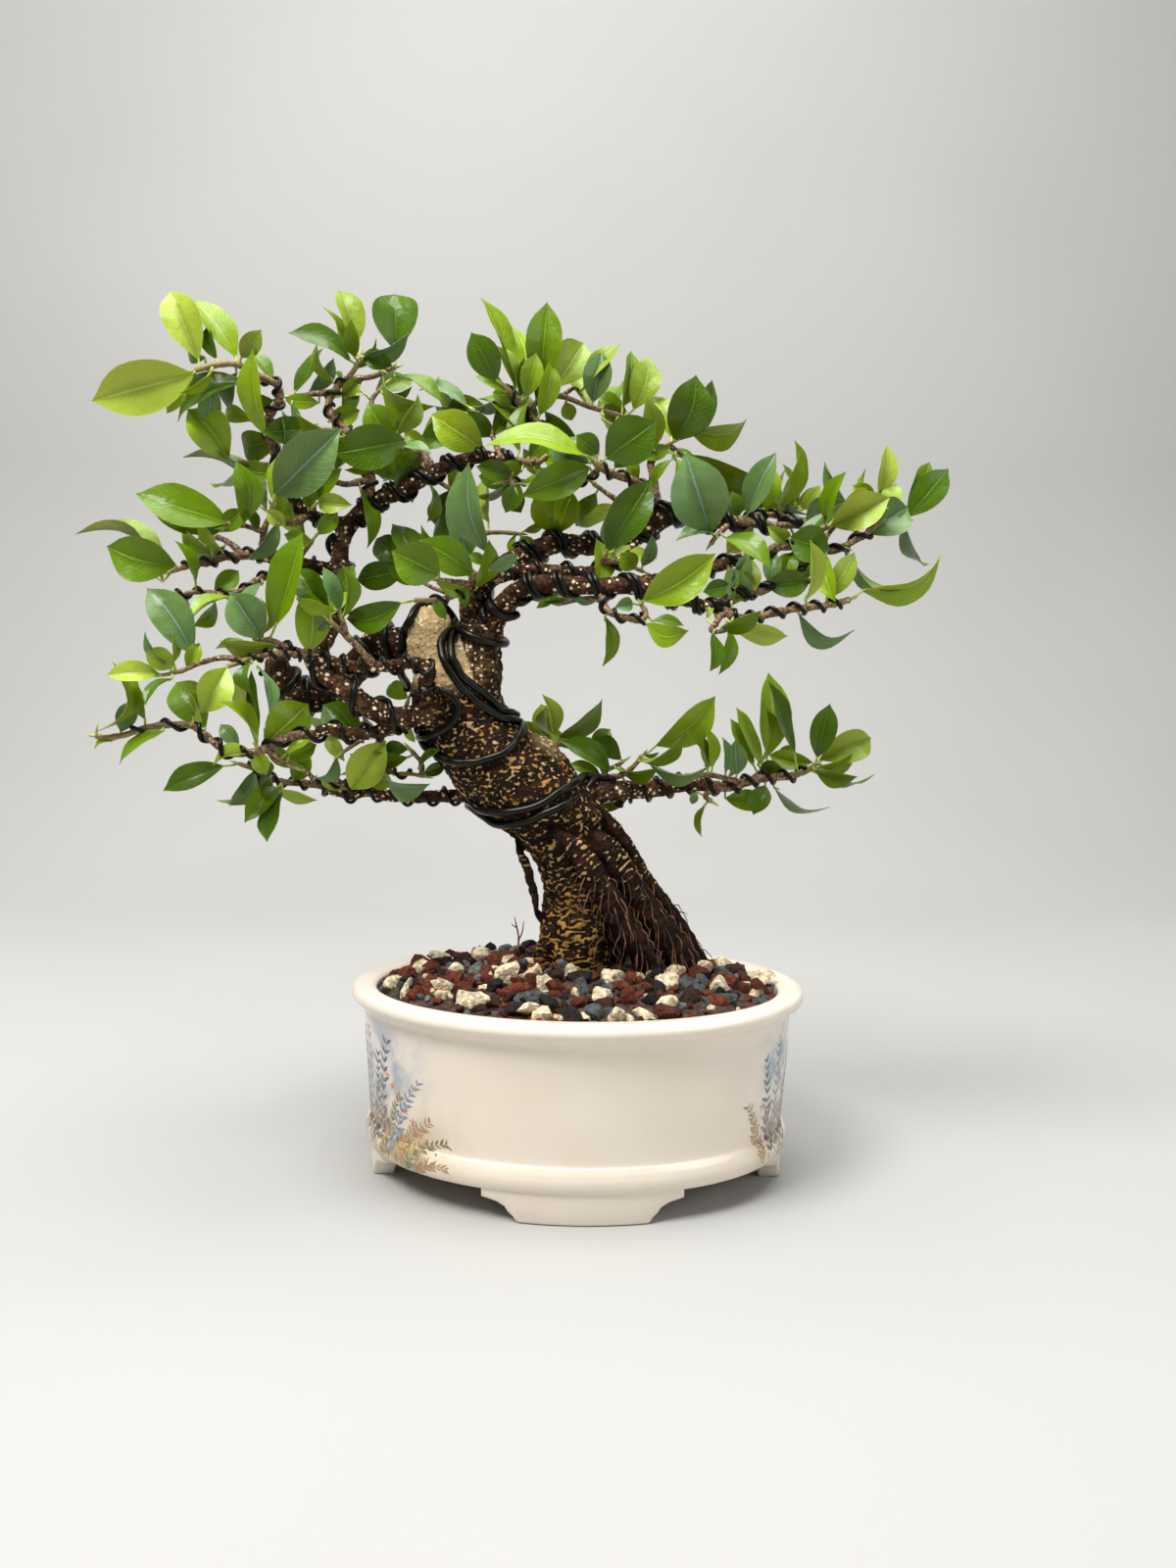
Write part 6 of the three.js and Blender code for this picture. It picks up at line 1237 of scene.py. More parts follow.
# For each point of the skin: its limb, how far along it lies and the step to the next limb
def nearestLimb(co, lines):
    overs = np.full((len(lines), len(co)), 1e9)
    best = np.full(len(co), 1e9)
    limb = np.zeros(len(co), int)
    along = np.zeros(len(co))
    for number, line in enumerate(lines):
        spots, radii = line[:, :3], line[:, 3]
        walked = 0.0
        for i in range(len(spots) - 1):
            run = spots[i + 1] - spots[i]
            length = np.linalg.norm(run)
            t = np.clip((co - spots[i]) @ run / length ** 2, 0, 1)
            distance = np.linalg.norm(co - spots[i] - t[:, None] * run, axis=1)
            over = distance - (radii[i] + (radii[i + 1] - radii[i]) * t)
            overs[number] = np.minimum(overs[number], over)
            closer = over < best
            best = np.where(closer, over, best)
            limb = np.where(closer, number, limb)
            along = np.where(closer, walked + t * length, along)
            walked += length
    ordered = np.sort(overs, axis=0)
    return limb, along, ordered[1] - ordered[0]


# Relief of the bark, from nought in the cracks to one on the ridges: wavy bands low on the stem,
# short dashes above, wrinkles across the roots
def barkRelief(co, along, isRoot, gold):
    def cloud(wide, high, shift):
        return np.array([noise.noise(Vector((x / wide, y / wide, z / high + shift))) for x, y, z in co])
    look = trunkLook
    wave = np.sin(2 * np.pi * co[:, 2] / look["bandEvery"] + look["bandBend"] * cloud(5.0, 3.4, 40))
    bands = smoothShare(wave + 1.3 * cloud(2.2, 2.2, 90), -0.15, 0.85)
    dashes = smoothShare(cloud(*look["dashSize"], 10), 0.1, 0.38)
    ripple = np.sin(2 * np.pi * along / look["wrinkleEvery"] + 4 * cloud(6.0, 6.0, 70))
    wrinkles = smoothShare(ripple + 2.4 * cloud(2.6, 2.6, 20), 0.35, 1.5)
    wrinkles *= smoothShare(co[:, 2], 108, 146)
    return np.where(isRoot, wrinkles, gold * bands + (1 - gold) * dashes)


def valuesOf(mesh, label):
    values = np.zeros(len(mesh.vertices) * 3, np.float32)
    mesh.vertices.foreach_get(label, values)
    return values.reshape(-1, 3)


def trunkPiece():
    look = trunkLook
    grown = {**limbs, **swellings}
    names = list(grown)
    lines = [smoothLine(limbLine(rows), look["stepsPerSpan"]) for rows in grown.values()]
    parts = newParts()
    for name, line in zip(names, lines):
        if name in rootNames:
            line[:, 3] *= look["rootShare"]
        addBar(parts, line, look["sides"])
    raw = meshFrom("trunkLines", parts, [])
    joined = raw.modifiers.new("joined", "REMESH")
    joined.mode = "VOXEL"
    joined.voxel_size = look["voxel"] * mm
    eased = raw.modifiers.new("eased", "SMOOTH")
    eased.factor = 0.5
    eased.iterations = look["smoothing"]
    mesh = evaluatedMesh(raw)
    bpy.data.objects.remove(raw)
    co = valuesOf(mesh, "co").astype(float) / mm
    normals = valuesOf(mesh, "normal")
    limb, along, step = nearestLimb(co, lines)
    isBole = np.isin(limb, [names.index(n) for n in boleNames])
    isRoot = np.isin(limb, [names.index(n) for n in rootNames])
    nodules = np.array([noise.noise(Vector(p) / look["noduleSize"]) for p in co])
    fine = np.array([noise.noise(Vector(p) / (look["noduleSize"] * 0.45)) for p in co])
    fluteSpots = co / np.array([look["fluteSize"], look["fluteSize"], look["fluteSize"] * 3.4])
    flutes = np.array([noise.noise(Vector(p)) for p in fluteSpots])
    height = look["noduleHeight"] * np.where(isBole | isRoot, 1.0, 0.55) * (nodules + 0.4 * fine)
    height += look["fluteHeight"] * np.where(isBole, 1.0, np.where(isRoot, 0.6, 0.12)) * flutes
    # deep creases where roots lie side by side, and wrinkles across each root
    nearRoots = isRoot | (isBole & (co[:, 2] < look["creaseBelow"]))
    height -= look["creaseDepth"] * np.exp(-(step / look["creaseWidth"]) ** 2) * nearRoots
    gold = 1 - smoothShare(co[:, 2], look["goldBelow"], look["goldBelow"] + look["goldFade"])
    gold = np.where(isBole, gold, 0)
    relief = barkRelief(co, along, isRoot, gold)
    # painted shade: in the creases between roots the pale ridge colour is taken out, so they stay dark; the
    # wrinkles there flatten too
    relief *= 1 - np.exp(-(step / look["creaseShade"]) ** 2) * isRoot
    ridge = look["dashHeight"] + (look["bandHeight"] - look["dashHeight"]) * gold
    height += np.where(isRoot, look["wrinkleHeight"], ridge * np.where(isBole, 1, 0.35)) * relief
    co += normals * height[:, None]
    mesh.vertices.foreach_set("co", (co * mm).astype(np.float32).ravel())
    sawn = smoothShare(co[:, 2], look["stubAbove"], look["stubAbove"] + look["stubFade"])
    stub = np.where(limb == names.index("bole"), sawn, 0)
    bulge = look["shoulderPale"] * smoothShare(step, 0, 4)
    stub = np.where(limb == names.index("shoulder"), bulge, stub)
    slim = np.where(isBole | isRoot, 0, smoothShare(along, look["limbFade"], look["limbFade"] * 2))
    slim = np.where(limb == names.index("fork"), 0.85 * smoothShare(co[:, 2], 204, 218), slim)
    zones = mesh.attributes.new("zones", "FLOAT_COLOR", "POINT")
    shares = np.stack([gold, slim, stub, isRoot * 1.0], 1)
    zones.data.foreach_set("color", shares.astype(np.float32).ravel())
    ridges = mesh.attributes.new("ridges", "FLOAT", "POINT")
    ridges.data.foreach_set("value", relief.astype(np.float32))
    mesh.polygons.foreach_set("use_smooth", [True] * len(mesh.polygons))
    mesh.materials.clear()
    mesh.materials.append(barkMaterial)
    mesh.update()
    print("trunk", len(mesh.polygons) * 2, "triangles")
    return keepPiece(newObject("trunkAndLimbs", mesh), "bark", "trunk")


# Training wire laid over the bark: each point rests on the skin it passes
wireLook = {"sides": 12, "press": 0.93, "swell": 1.22, "coilStep": 22, "lift": 0.1, "turnShare": 0.72,
            "wander": 0.16, "strandGap": 2.15, "castBack": 12, "castReach": 26}


def limbMiddle(x, z):
    best = None
    for rows in limbs.values():
        for (ax, az, ay, ar), (bx, bz, by, br) in zip(rows, rows[1:]):
            run = (bx - ax) ** 2 + (bz - az) ** 2
            share = min(max(((x - ax) * (bx - ax) + (z - az) * (bz - az)) / run, 0), 1)
            away = math.hypot(x - ax - share * (bx - ax), z - az - share * (bz - az))
            over = away - ar - share * (br - ar)
            if best is None or over < best[0]:
                best = (over, ay + share * (by - ay), ar + share * (br - ar))
    return best


def seatedSpot(x, z, side, wire, tree):
    over, middle, radius = limbMiddle(x, z)
    ray = (drawn(x, z, middle) - eye).normalized()
    depth = math.sqrt(max((radius + wire) ** 2 - max(over + radius, 0) ** 2, 0))
    spot = drawn(x, z, middle + side * depth)
    if abs(side) > 0.9:
        back = ray * (wireLook["castBack"] * mm)
        start = spot - back if side < 0 else spot + back
        hit = tree.ray_cast(start, ray if side < 0 else -ray, wireLook["castReach"] * mm)
        if hit[0] is not None:
            spot = hit[0]
    found, outward, *_ = tree.find_nearest(spot)
    toSpot = spot - found
    if toSpot.length > 1e-6 and toSpot.dot(outward) > 0 and abs(side) < 0.9:
        outward = toSpot.normalized()
    return found + outward * (wire * wireLook["press"] * mm)


def laidWirePiece(name, wire, rows, tree):
    wire *= wireLook["swell"]
    spots = [seatedSpot(x, z, max(-1, min(1, side)), wire, tree) for x, z, side in smoothLine(rows, 6)]
    for _ in range(3):
        eased = [(a + b * 2 + c) / 4 for a, b, c in zip(spots, spots[1:], spots[2:])]
        spots = [spots[0], *eased, spots[-1]]
    parts = newParts()
    addTube(parts, spots, [wire * mm] * len(spots), wireLook["sides"], (0.5, 0.5, 0.5), dome=0.35)
    return keepPiece(meshFrom("wire_" + name, parts, [wireMaterial]), "wire", name)


# Geometry Nodes: a wire wound round a carrier line that has a radius at each point
def windingTree():
    tree, given, out = startGeometry("wireWinding", [
        ("Wire Radius", "Float", 0.001), ("Turns", "Float", 6.0), ("Phase", "Float", 0.0),
        ("Start", "Float", 0.0), ("End", "Float", 1.0), ("Wander", "Float", 0.5), ("Points", "Int", 80)])
    inputs = given.outputs
    toCurve = addNode(tree, "GeometryNodeMeshToCurve")
    trim = addNode(tree, "GeometryNodeTrimCurve", {"Start": inputs["Start"], "End": inputs["End"]})
    resample = addNode(tree, "GeometryNodeResampleCurve", {"Count": inputs["Points"]})
    share = addNode(tree, "GeometryNodeSplineParameter").outputs["Factor"]
    angle = times(tree, share, inputs["Turns"])
    # the turns run wide here and close there, as a hand winds them
    uneven = mathNode(tree, "MULTIPLY_ADD", mathNode(tree, "SINE", angle), inputs["Wander"], angle)
    turn = addNode(tree, "ShaderNodeVectorRotate", {
        "Vector": addNode(tree, "GeometryNodeInputNormal").outputs["Normal"],
        "Axis": addNode(tree, "GeometryNodeInputTangent").outputs["Tangent"],
        "Angle": mathNode(tree, "MULTIPLY_ADD", uneven, 2 * math.pi, inputs["Phase"])})
    size = addNode(tree, "GeometryNodeInputNamedAttribute", {"Name": "limbRadius"}, data_type="FLOAT")
    reach = mathNode(tree, "ADD", size.outputs["Attribute"], inputs["Wire Radius"])
    push = vectorNode(tree, "SCALE", turn.outputs["Vector"], Scale=reach)
    move = addNode(tree, "GeometryNodeSetPosition", {"Offset": push})
    ring = addNode(tree, "GeometryNodeCurvePrimitiveCircle",
                   {"Resolution": 8, "Radius": inputs["Wire Radius"]})
    bar = addNode(tree, "GeometryNodeCurveToMesh",
                  {"Profile Curve": ring.outputs["Curve"], "Fill Caps": True})
    smooth = addNode(tree, "GeometryNodeSetShadeSmooth")
    threadGeometry(tree, given, out, toCurve, trim, resample, move, bar, smooth)
    return tree


def carrierObject(name, line):
    mesh = bpy.data.meshes.new(name)
    mesh.from_pydata([tuple(p[:3] * mm) for p in line], [(i, i + 1) for i in range(len(line) - 1)], [])
    radius = mesh.attributes.new("limbRadius", "FLOAT", "POINT")
    radius.data.foreach_set("value", ((line[:, 3] + wireLook["lift"]) * mm).astype(np.float32))
    return newObject(name, mesh)


def coilPiece(name, row, tree):
    wire, turns, start, end, phase, strands, twig, *along = row
    rows = []
    for part in along:
        source = limbs[part] if part in limbs else twigRows(sprays[part], twig)
        rows += source[1:] if rows else source
    line = smoothLine(limbLine(rows), 4)
    length = sum(math.dist(a[:3], b[:3]) for a, b in zip(line, line[1:]))
    joined = bmesh.new()
    for strand in range(strands):
        shift = strand * wireLook["strandGap"] * wire / length
        values = {
            "Wire Radius": wire * mm, "Turns": turns * wireLook["turnShare"], "Phase": float(phase),
            "Start": start + shift, "End": min(end + shift, 1.0), "Wander": wireLook["wander"],
            "Points": int(turns * wireLook["coilStep"]), "Finish": wireMaterial,
        }
        piece = madeWithNodes(carrierObject(name + "Line", line), tree, values, "wire_" + name)
        joined.from_mesh(piece.data)
        if strand + 1 < strands:
            bpy.data.objects.remove(piece)
    joined.to_mesh(piece.data)
    joined.free()
    solids = [name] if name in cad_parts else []
    return keepPiece(piece, "wire", *solids)


# Pot: a smooth oval loft with a rolled lip and a bead, on four scrolled feet
potLook = {
    "ovalOffset": 26.5, "innerRatio": 0.7, "around": 180, "stepsPerSpan": 4,
    "drains": (-42, 42), "drainRadius": 7, "drainReach": (8, 25),
    "outside": [(84, 12), (88, 12.3), (93.4, 13), (95.4, 15), (96.2, 18.6), (95.8, 22), (94.6, 24.6),
                (93.9, 26.4), (94.8, 40), (95.8, 58), (96.5, 72), (97.3, 76.2), (99.4, 78.5),
                (101.7, 80.3), (102.5, 82.6), (101.6, 84.9), (99.4, 86), (96.4, 86), (93.6, 85.8),
                (91.4, 84.6), (90.6, 82), (89.8, 70)],
    "inside": [(89.8, 70), (88, 26), (85, 21), (60, 21), (8, 21)], "underside": [(8, 12), (60, 12)],
    "footOuter": 94, "footInner": 84.5, "footTop": 13.6, "footRound": 1.5, "footCorner": 0.45,
    "frontFoot": [(27, 0), (28, 1), (28.8, 2.4), (31, 4.2), (32.2, 6.2), (35.6, 8), (42, 9.3)],
    "sideFoot": [(14.8, 0), (15.6, 1), (16.2, 2.4), (17.4, 4.2), (18.4, 6.2), (20.8, 8), (25, 9.3)],
}


def ovalDepth(halfLength):
    return max(halfLength - potLook["ovalOffset"], halfLength * potLook["innerRatio"])


def ovalSpot(halfLength, angle, height):
    across = potMiddleX + halfLength * math.cos(angle)
    return Vector((across, ovalDepth(halfLength) * math.sin(angle), height)) * mm


def ovalRing(halfLength, height, around):
    return [ovalSpot(halfLength, 2 * math.pi * k / around, height) for k in range(around)]


def footBottom(outline, across):
    for (a, low), (b, high) in zip(outline, outline[1:]):
        if across <= b:
            return low + (high - low) * max(0, (across - a) / (b - a))
    return outline[-1][1]


# One foot: walls that follow the oval, cut below by the scrolled outline
def addFoot(parts, outline, sideways, sign):
    outer, inner, top = potLook["footOuter"], potLook["footInner"], potLook["footTop"]
    rounding, corner = potLook["footRound"], potLook["footCorner"]
    cuts = {end * across for across, _ in outline for end in (-1, 1)}
    cuts |= {i * outline[0][0] / 8 for i in range(-8, 9)}
    points = []
    for across in sorted(cuts):
        low = footBottom(outline, abs(across))
        for halfLength, height in ((outer, top), (outer, low + rounding), (outer - corner, low + corner),
                                   (outer - rounding, low), (inner + rounding, low),
                                   (inner + corner, low + corner), (inner, low + rounding), (inner, top)):
            depth = ovalDepth(halfLength)
            if sideways:
                reach = halfLength * math.sqrt(1 - (across / depth) ** 2)
                points.append(Vector((potMiddleX + sign * reach, sign * across, height)) * mm)
            else:
                reach = depth * math.sqrt(1 - (across / halfLength) ** 2)
                points.append(Vector((potMiddleX + across * -sign, sign * reach, height)) * mm)
    size = len(points) // len(cuts)
    first = addPoints(parts, points, (0.0, 0.0, 0.0))
    faces = bandFaces(first, len(cuts), size, turned=True)
    faces.append(tuple(first + k for k in range(size)))
    faces.append(tuple(first + (len(cuts) - 1) * size + k for k in reversed(range(size))))
    addFaces(parts, faces)


# Share of blue and of ochre wash at an angle round the pot, in degrees, and a height
def washAt(angle, height):
    def near(value, middle, reach):
        return math.exp(-((value - middle) / reach) ** 2)
    blue = max(near(angle, 206, 15) * near(height, 54, 20), near(angle, 335, 10) * near(height, 56, 20))
    ochre = max(near(angle, 210, 20) * near(height, 24, 17), near(angle, 332, 9) * near(height, 26, 15))
    return (blue, ochre, 0.0)


def closedOutward(piece, *more):
    solid = bmesh.new()
    for part in (piece, *more):
        solid.from_mesh(part.data)
    for part in more:
        bpy.data.objects.remove(part)
    bmesh.ops.recalc_face_normals(solid, faces=solid.faces)
    solid.to_mesh(piece.data)
    solid.free()


def drillDrain(piece, x):
    bar = newParts()
    ends = [Vector((potMiddleX + x, 0, z)) * mm for z in potLook["drainReach"]]
    addTube(bar, ends, [potLook["drainRadius"] * mm] * 2, 24)
    cutter = meshFrom("drain", bar, [glazeMaterial])
    drilled = piece.modifiers.new("drain", "BOOLEAN")
    drilled.object = cutter
    drilled.solver = "EXACT"
    piece.data = evaluatedMesh(piece)
    piece.modifiers.remove(drilled)
    bpy.data.objects.remove(cutter)


def potPiece():
    around = potLook["around"]
    profile = [tuple(p) for p in smoothLine(potLook["outside"], potLook["stepsPerSpan"])]
    profile += potLook["inside"][1:] + potLook["underside"]
    floor = len(profile) - len(potLook["underside"]) - 1
    rings = [ovalRing(halfLength, height, around) for halfLength, height in profile]
    uvs = [(k / around, i) for i in range(len(rings)) for k in range(around)]
    tints = [washAt(360 * k / around, ring[k].z / mm) for ring in rings for k in range(around)]
    parts = newParts()
    addPoints(parts, [p for ring in rings for p in ring], tints, uvs)
    # a flat face closes the floor inside and another the underside
    faces = [tuple(floor * around + k for k in range(around)),
             tuple((floor + 1) * around + k for k in reversed(range(around)))]
    for i in range(len(rings)):
        if i != floor:
            a, b = i * around, (i + 1) % len(rings) * around
            faces += [(a + k, a + (k + 1) % around, b + (k + 1) % around, b + k) for k in range(around)]
    addFaces(parts, faces)
    piece = meshFrom("ovalPot", parts, [glazeMaterial], sharpAngle=80)
    closedOutward(piece)
    for x in potLook["drains"]:
        drillDrain(piece, x)
    feet = newParts()
    for sideways, outline in ((False, potLook["frontFoot"]), (True, potLook["sideFoot"])):
        for sign in (-1, 1):
            addFoot(feet, outline, sideways, sign)
    closedOutward(piece, meshFrom("potFeet", feet, [glazeMaterial], sharpAngle=50))
    return keepPiece(piece, "glaze", "pot")


# Painted sprigs at the two ends of the front
sprigLook = {
    "angles": {"left": 207, "right": 334}, "proud": 0.1, "sunk": 0.25, "stemWidth": 0.7, "lowest": 15.0,
    "stemTop": 74, "leafTop": 75, "wallTop": 77, "petals": 5, "petalLength": 2.4, "seed": 21,
    "colours": {"slate": (0.05, 0.075, 0.11), "sky": (0.15, 0.21, 0.29), "moss": (0.17, 0.16, 0.05),
                "ochre": (0.35, 0.21, 0.07), "rose": (0.52, 0.2, 0.12), "stem": (0.3, 0.24, 0.15)},
    # stems: place along the wall, foot height, length, lean in degrees, leaf colour and leaf length
    "stems": {
        "left": [(-24, 14, 34, -14, "ochre", 6), (-19, 14, 52, -5, "slate", 6.5),
                 (-14, 13, 60, -2, "sky", 7), (-9, 13, 46, 4, "slate", 6.5), (-4, 13, 58, 6, "slate", 7),
                 (0, 12, 34, 14, "moss", 6), (4, 12, 44, 18, "sky", 6.5), (9, 12, 30, 27, "ochre", 6),
                 (14, 11, 26, 36, "moss", 5.5), (19, 11, 18, 48, "ochre", 5)],
        "right": [(-11, 14, 30, -14, "ochre", 6), (-5, 13, 48, -5, "slate", 6.5),
                  (0, 13, 56, 1, "sky", 7), (5, 13, 36, 9, "ochre", 6), (9, 14, 47, 10, "slate", 6.5)],
    },
    # grass at the feet of the stems: place, from and to along the wall, its top, number of blades
    "grass": [("left", -26, 27, 33, 150), ("right", -13, 13, 34, 60)],
    "grassTones": ("ochre", "ochre", "moss", "rose", "slate"),
    "blossoms": {
        "left": [(3, 52), (10.5, 43), (18, 35), (-14, 56), (24, 27), (-4, 34), (14, 39), (21, 30),
                 (-19, 50), (6.5, 48)],
        "right": [(-11, 41), (4, 50), (-5, 29), (-8, 36), (8, 56)],
    },
}
wallLine = [spot for spot in smoothLine(potLook["outside"], potLook["stepsPerSpan"])
            if spot[1] < sprigLook["wallTop"]]


# A point on the outside wall, from a distance along it and a height, pushed out by a small lift
def wallSpot(place, across, height, lift):
    middle = math.radians(sprigLook["angles"][place])
    halfLength = float(np.interp(height, [z for _, z in wallLine], [half for half, _ in wallLine]))
    rate = math.hypot(halfLength * math.sin(middle), ovalDepth(halfLength) * math.cos(middle))
    return ovalSpot(halfLength + lift, middle + across / rate, height)


def brushStroke(parts, place, spots, widths, tone):
    points = []
    for i, (across, height) in enumerate(spots):
        before, after = spots[max(i - 1, 0)], spots[min(i + 1, len(spots) - 1)]
        along = math.atan2(after[1] - before[1], after[0] - before[0])
        dx, dz = -math.sin(along) * widths[i] / 2, math.cos(along) * widths[i] / 2
        points += [wallSpot(place, across + dx, height + dz, 0.01),
                   wallSpot(place, across, height, sprigLook["proud"]),
                   wallSpot(place, across - dx, height - dz, 0.01),
                   wallSpot(place, across, height, -sprigLook["sunk"])]
    first = addPoints(parts, points, tone)
    last = first + len(points) - 4
    faces = bandFaces(first, len(spots), 4)
    faces += [(first + 3, first + 2, first + 1, first), (last, last + 1, last + 2, last + 3)]
    addFaces(parts, faces)


# A straight line of spots on the wall, at shares of its length
def straightSpots(start, angle, length, shares):
    return [(start[0] + math.cos(angle) * length * t, start[1] + math.sin(angle) * length * t)
            for t in shares]


# A leaf or petal: one stroke, widest before its middle
def leafStroke(parts, place, root, angle, length, tone):
    spots = straightSpots(root, angle, length, (0.0, 0.2, 0.45, 0.75, 1.0))
    brushStroke(parts, place, spots, [length * w for w in (0.06, 0.3, 0.36, 0.2, 0.02)], tone)


def stemStrokes(parts, place, row, draw):
    across, foot, length, lean, tone, leafLength = row
    colours = sprigLook["colours"]
    line = []
    for i in range(14):
        t = i / 13
        angle = math.radians(90 - lean * (0.3 + t))
        height = foot + math.sin(angle) * length * t
        line.append((across + math.cos(angle) * length * t, min(height, sprigLook["stemTop"])))
    stemTone = tuple(0.5 * (a + b) for a, b in zip(colours["stem"], colours[tone]))
    widths = [sprigLook["stemWidth"] * (1.2 - 0.8 * i / 13) for i in range(14)]
    brushStroke(parts, place, line, widths, stemTone)
    for i in range(2, 14):
        for side in (-1, 1):
            along = math.atan2(line[i][1] - line[i - 1][1], line[i][0] - line[i - 1][0])
            angle = along + side * draw.uniform(0.45, 1.0)
            size = leafLength * draw.uniform(0.6, 1.1) * (1.15 - 0.04 * i)
            if line[i][1] + size < sprigLook["leafTop"]:
                leafStroke(parts, place, line[i], angle, size, colours[tone])


def sprigPiece():
    draw = random.Random(sprigLook["seed"])
    parts = newParts()
    colours = sprigLook["colours"]
    for place, rows in sprigLook["stems"].items():
        for row in rows:
            stemStrokes(parts, place, row, draw)
    for place, low, high, top, blades in sprigLook["grass"]:
        for _ in range(blades):
            share = draw.random()
            across = low + (high - low) * share
            reach = top - (top - 20) * share if place == "left" else top
            height = draw.uniform(sprigLook["lowest"], reach)
            angle = math.radians(draw.uniform(50, 130))
            spots = straightSpots((across, height), angle, draw.uniform(3, 7.5), (0, 0.5, 1))
            brushStroke(parts, place, spots, [0.75, 0.6, 0.15],
                        colours[draw.choice(sprigLook["grassTones"])])
    for place, spots in sprigLook["blossoms"].items():
        for spot in spots:
            for petal in range(sprigLook["petals"]):
                leafStroke(parts, place, spot, math.radians(72 * petal + 20), sprigLook["petalLength"],
                           colours["rose"])
    return keepPiece(meshFrom("paintedSprigs", parts, [brushMaterial]), "glaze")


# Soil mound and the gravel scattered on it
gravelLook = {
    "profile": [(0, 94), (32, 92.5), (58, 89.5), (76, 86.5), (86, 84), (89.4, 82.4)],
    "reaches": [6, 14, 22, 30, 38, 46, 54, 62, 70, 78, 84, 89.4], "base": 60, "around": 72,
    "unevenBelow": 88, "unevenHeight": 1.3, "seed": 4, "stoneKinds": 8, "stoneCuts": 9,
    # size, spacing, sink, reach from the middle, seed and lowest tone of each layer
    "layers": {
        "gravelChunks": (16.5, 21, 0.8, 82, 12, 0.93), "gravelStones": (14.5, 9.2, 0.2, 85, 3, 0.0),
        "gravelGrit": (7.4, 4.7, 0.2, 88, 8, 0.0),
    },
}


def moundHeight(reach):
    steps = gravelLook["profile"]
    for (a, low), (b, high) in zip(steps, steps[1:]):
        if reach <= b:
            return low + (high - low) * (reach - a) / (b - a)
    return steps[-1][1]


def moundPiece():
    look, around = gravelLook, gravelLook["around"]
    points = []
    for halfLength in look["reaches"]:
        for spot in ovalRing(halfLength, moundHeight(halfLength), around):
            spot = spot / mm
            if halfLength < look["unevenBelow"]:
                spot.z += look["unevenHeight"] * noise.noise(spot / 9)
            points.append(spot * mm)
    points += ovalRing(look["reaches"][-1], look["base"], around)
    parts = newParts()
    first = addPoints(parts, points, (0.5, 0.5, 0.5))
    middles = [ovalSpot(0, 0, height) for height in (moundHeight(0), look["base"])]
    top = addPoints(parts, middles, (0.5, 0.5, 0.5))
    faces = bandFaces(first, len(points) // around, around, turned=True)
    last = top - around
    for k in range(around):
        faces.append((top, first + k, first + (k + 1) % around))
        faces.append((top + 1, last + (k + 1) % around, last + k))
    addFaces(parts, faces)
    return keepPiece(meshFrom("soilMound", parts, [soilMaterial]), "gravel", "gravel")


# A handful of broken stone shapes for the scatter
def stoneShapes():
    draw = random.Random(gravelLook["seed"])
    shapes = bpy.data.collections.new("stoneShapes")
    for kind in range(gravelLook["stoneKinds"]):
        solid = bmesh.new()
        bmesh.ops.create_icosphere(solid, subdivisions=2, radius=0.5)
        cuts = []
        for _ in range(gravelLook["stoneCuts"]):
            direction = Vector([draw.uniform(-1, 1) for _ in range(3)]).normalized()
            cuts.append((direction, draw.uniform(0.22, 0.38)))
        squash = Vector((1, draw.uniform(0.6, 0.95), draw.uniform(0.5, 0.8)))
        for vert in solid.verts:
            for direction, reach in cuts:
                over = vert.co.dot(direction) - reach
                if over > 0:
                    vert.co -= direction * over * 0.9
            vert.co *= 1 + 0.22 * noise.noise(vert.co * 4 + Vector((kind * 9, 0, 0)))
            vert.co = Vector(a * b for a, b in zip(vert.co, squash))
        mesh = bpy.data.meshes.new(f"stone{kind}")
        solid.to_mesh(mesh)
        solid.free()
        mesh.polygons.foreach_set("use_smooth", [True] * len(mesh.polygons))
        mesh.set_sharp_from_angle(angle=math.radians(24))
        shapes.objects.link(bpy.data.objects.new(f"stone{kind}", mesh))
    return shapes


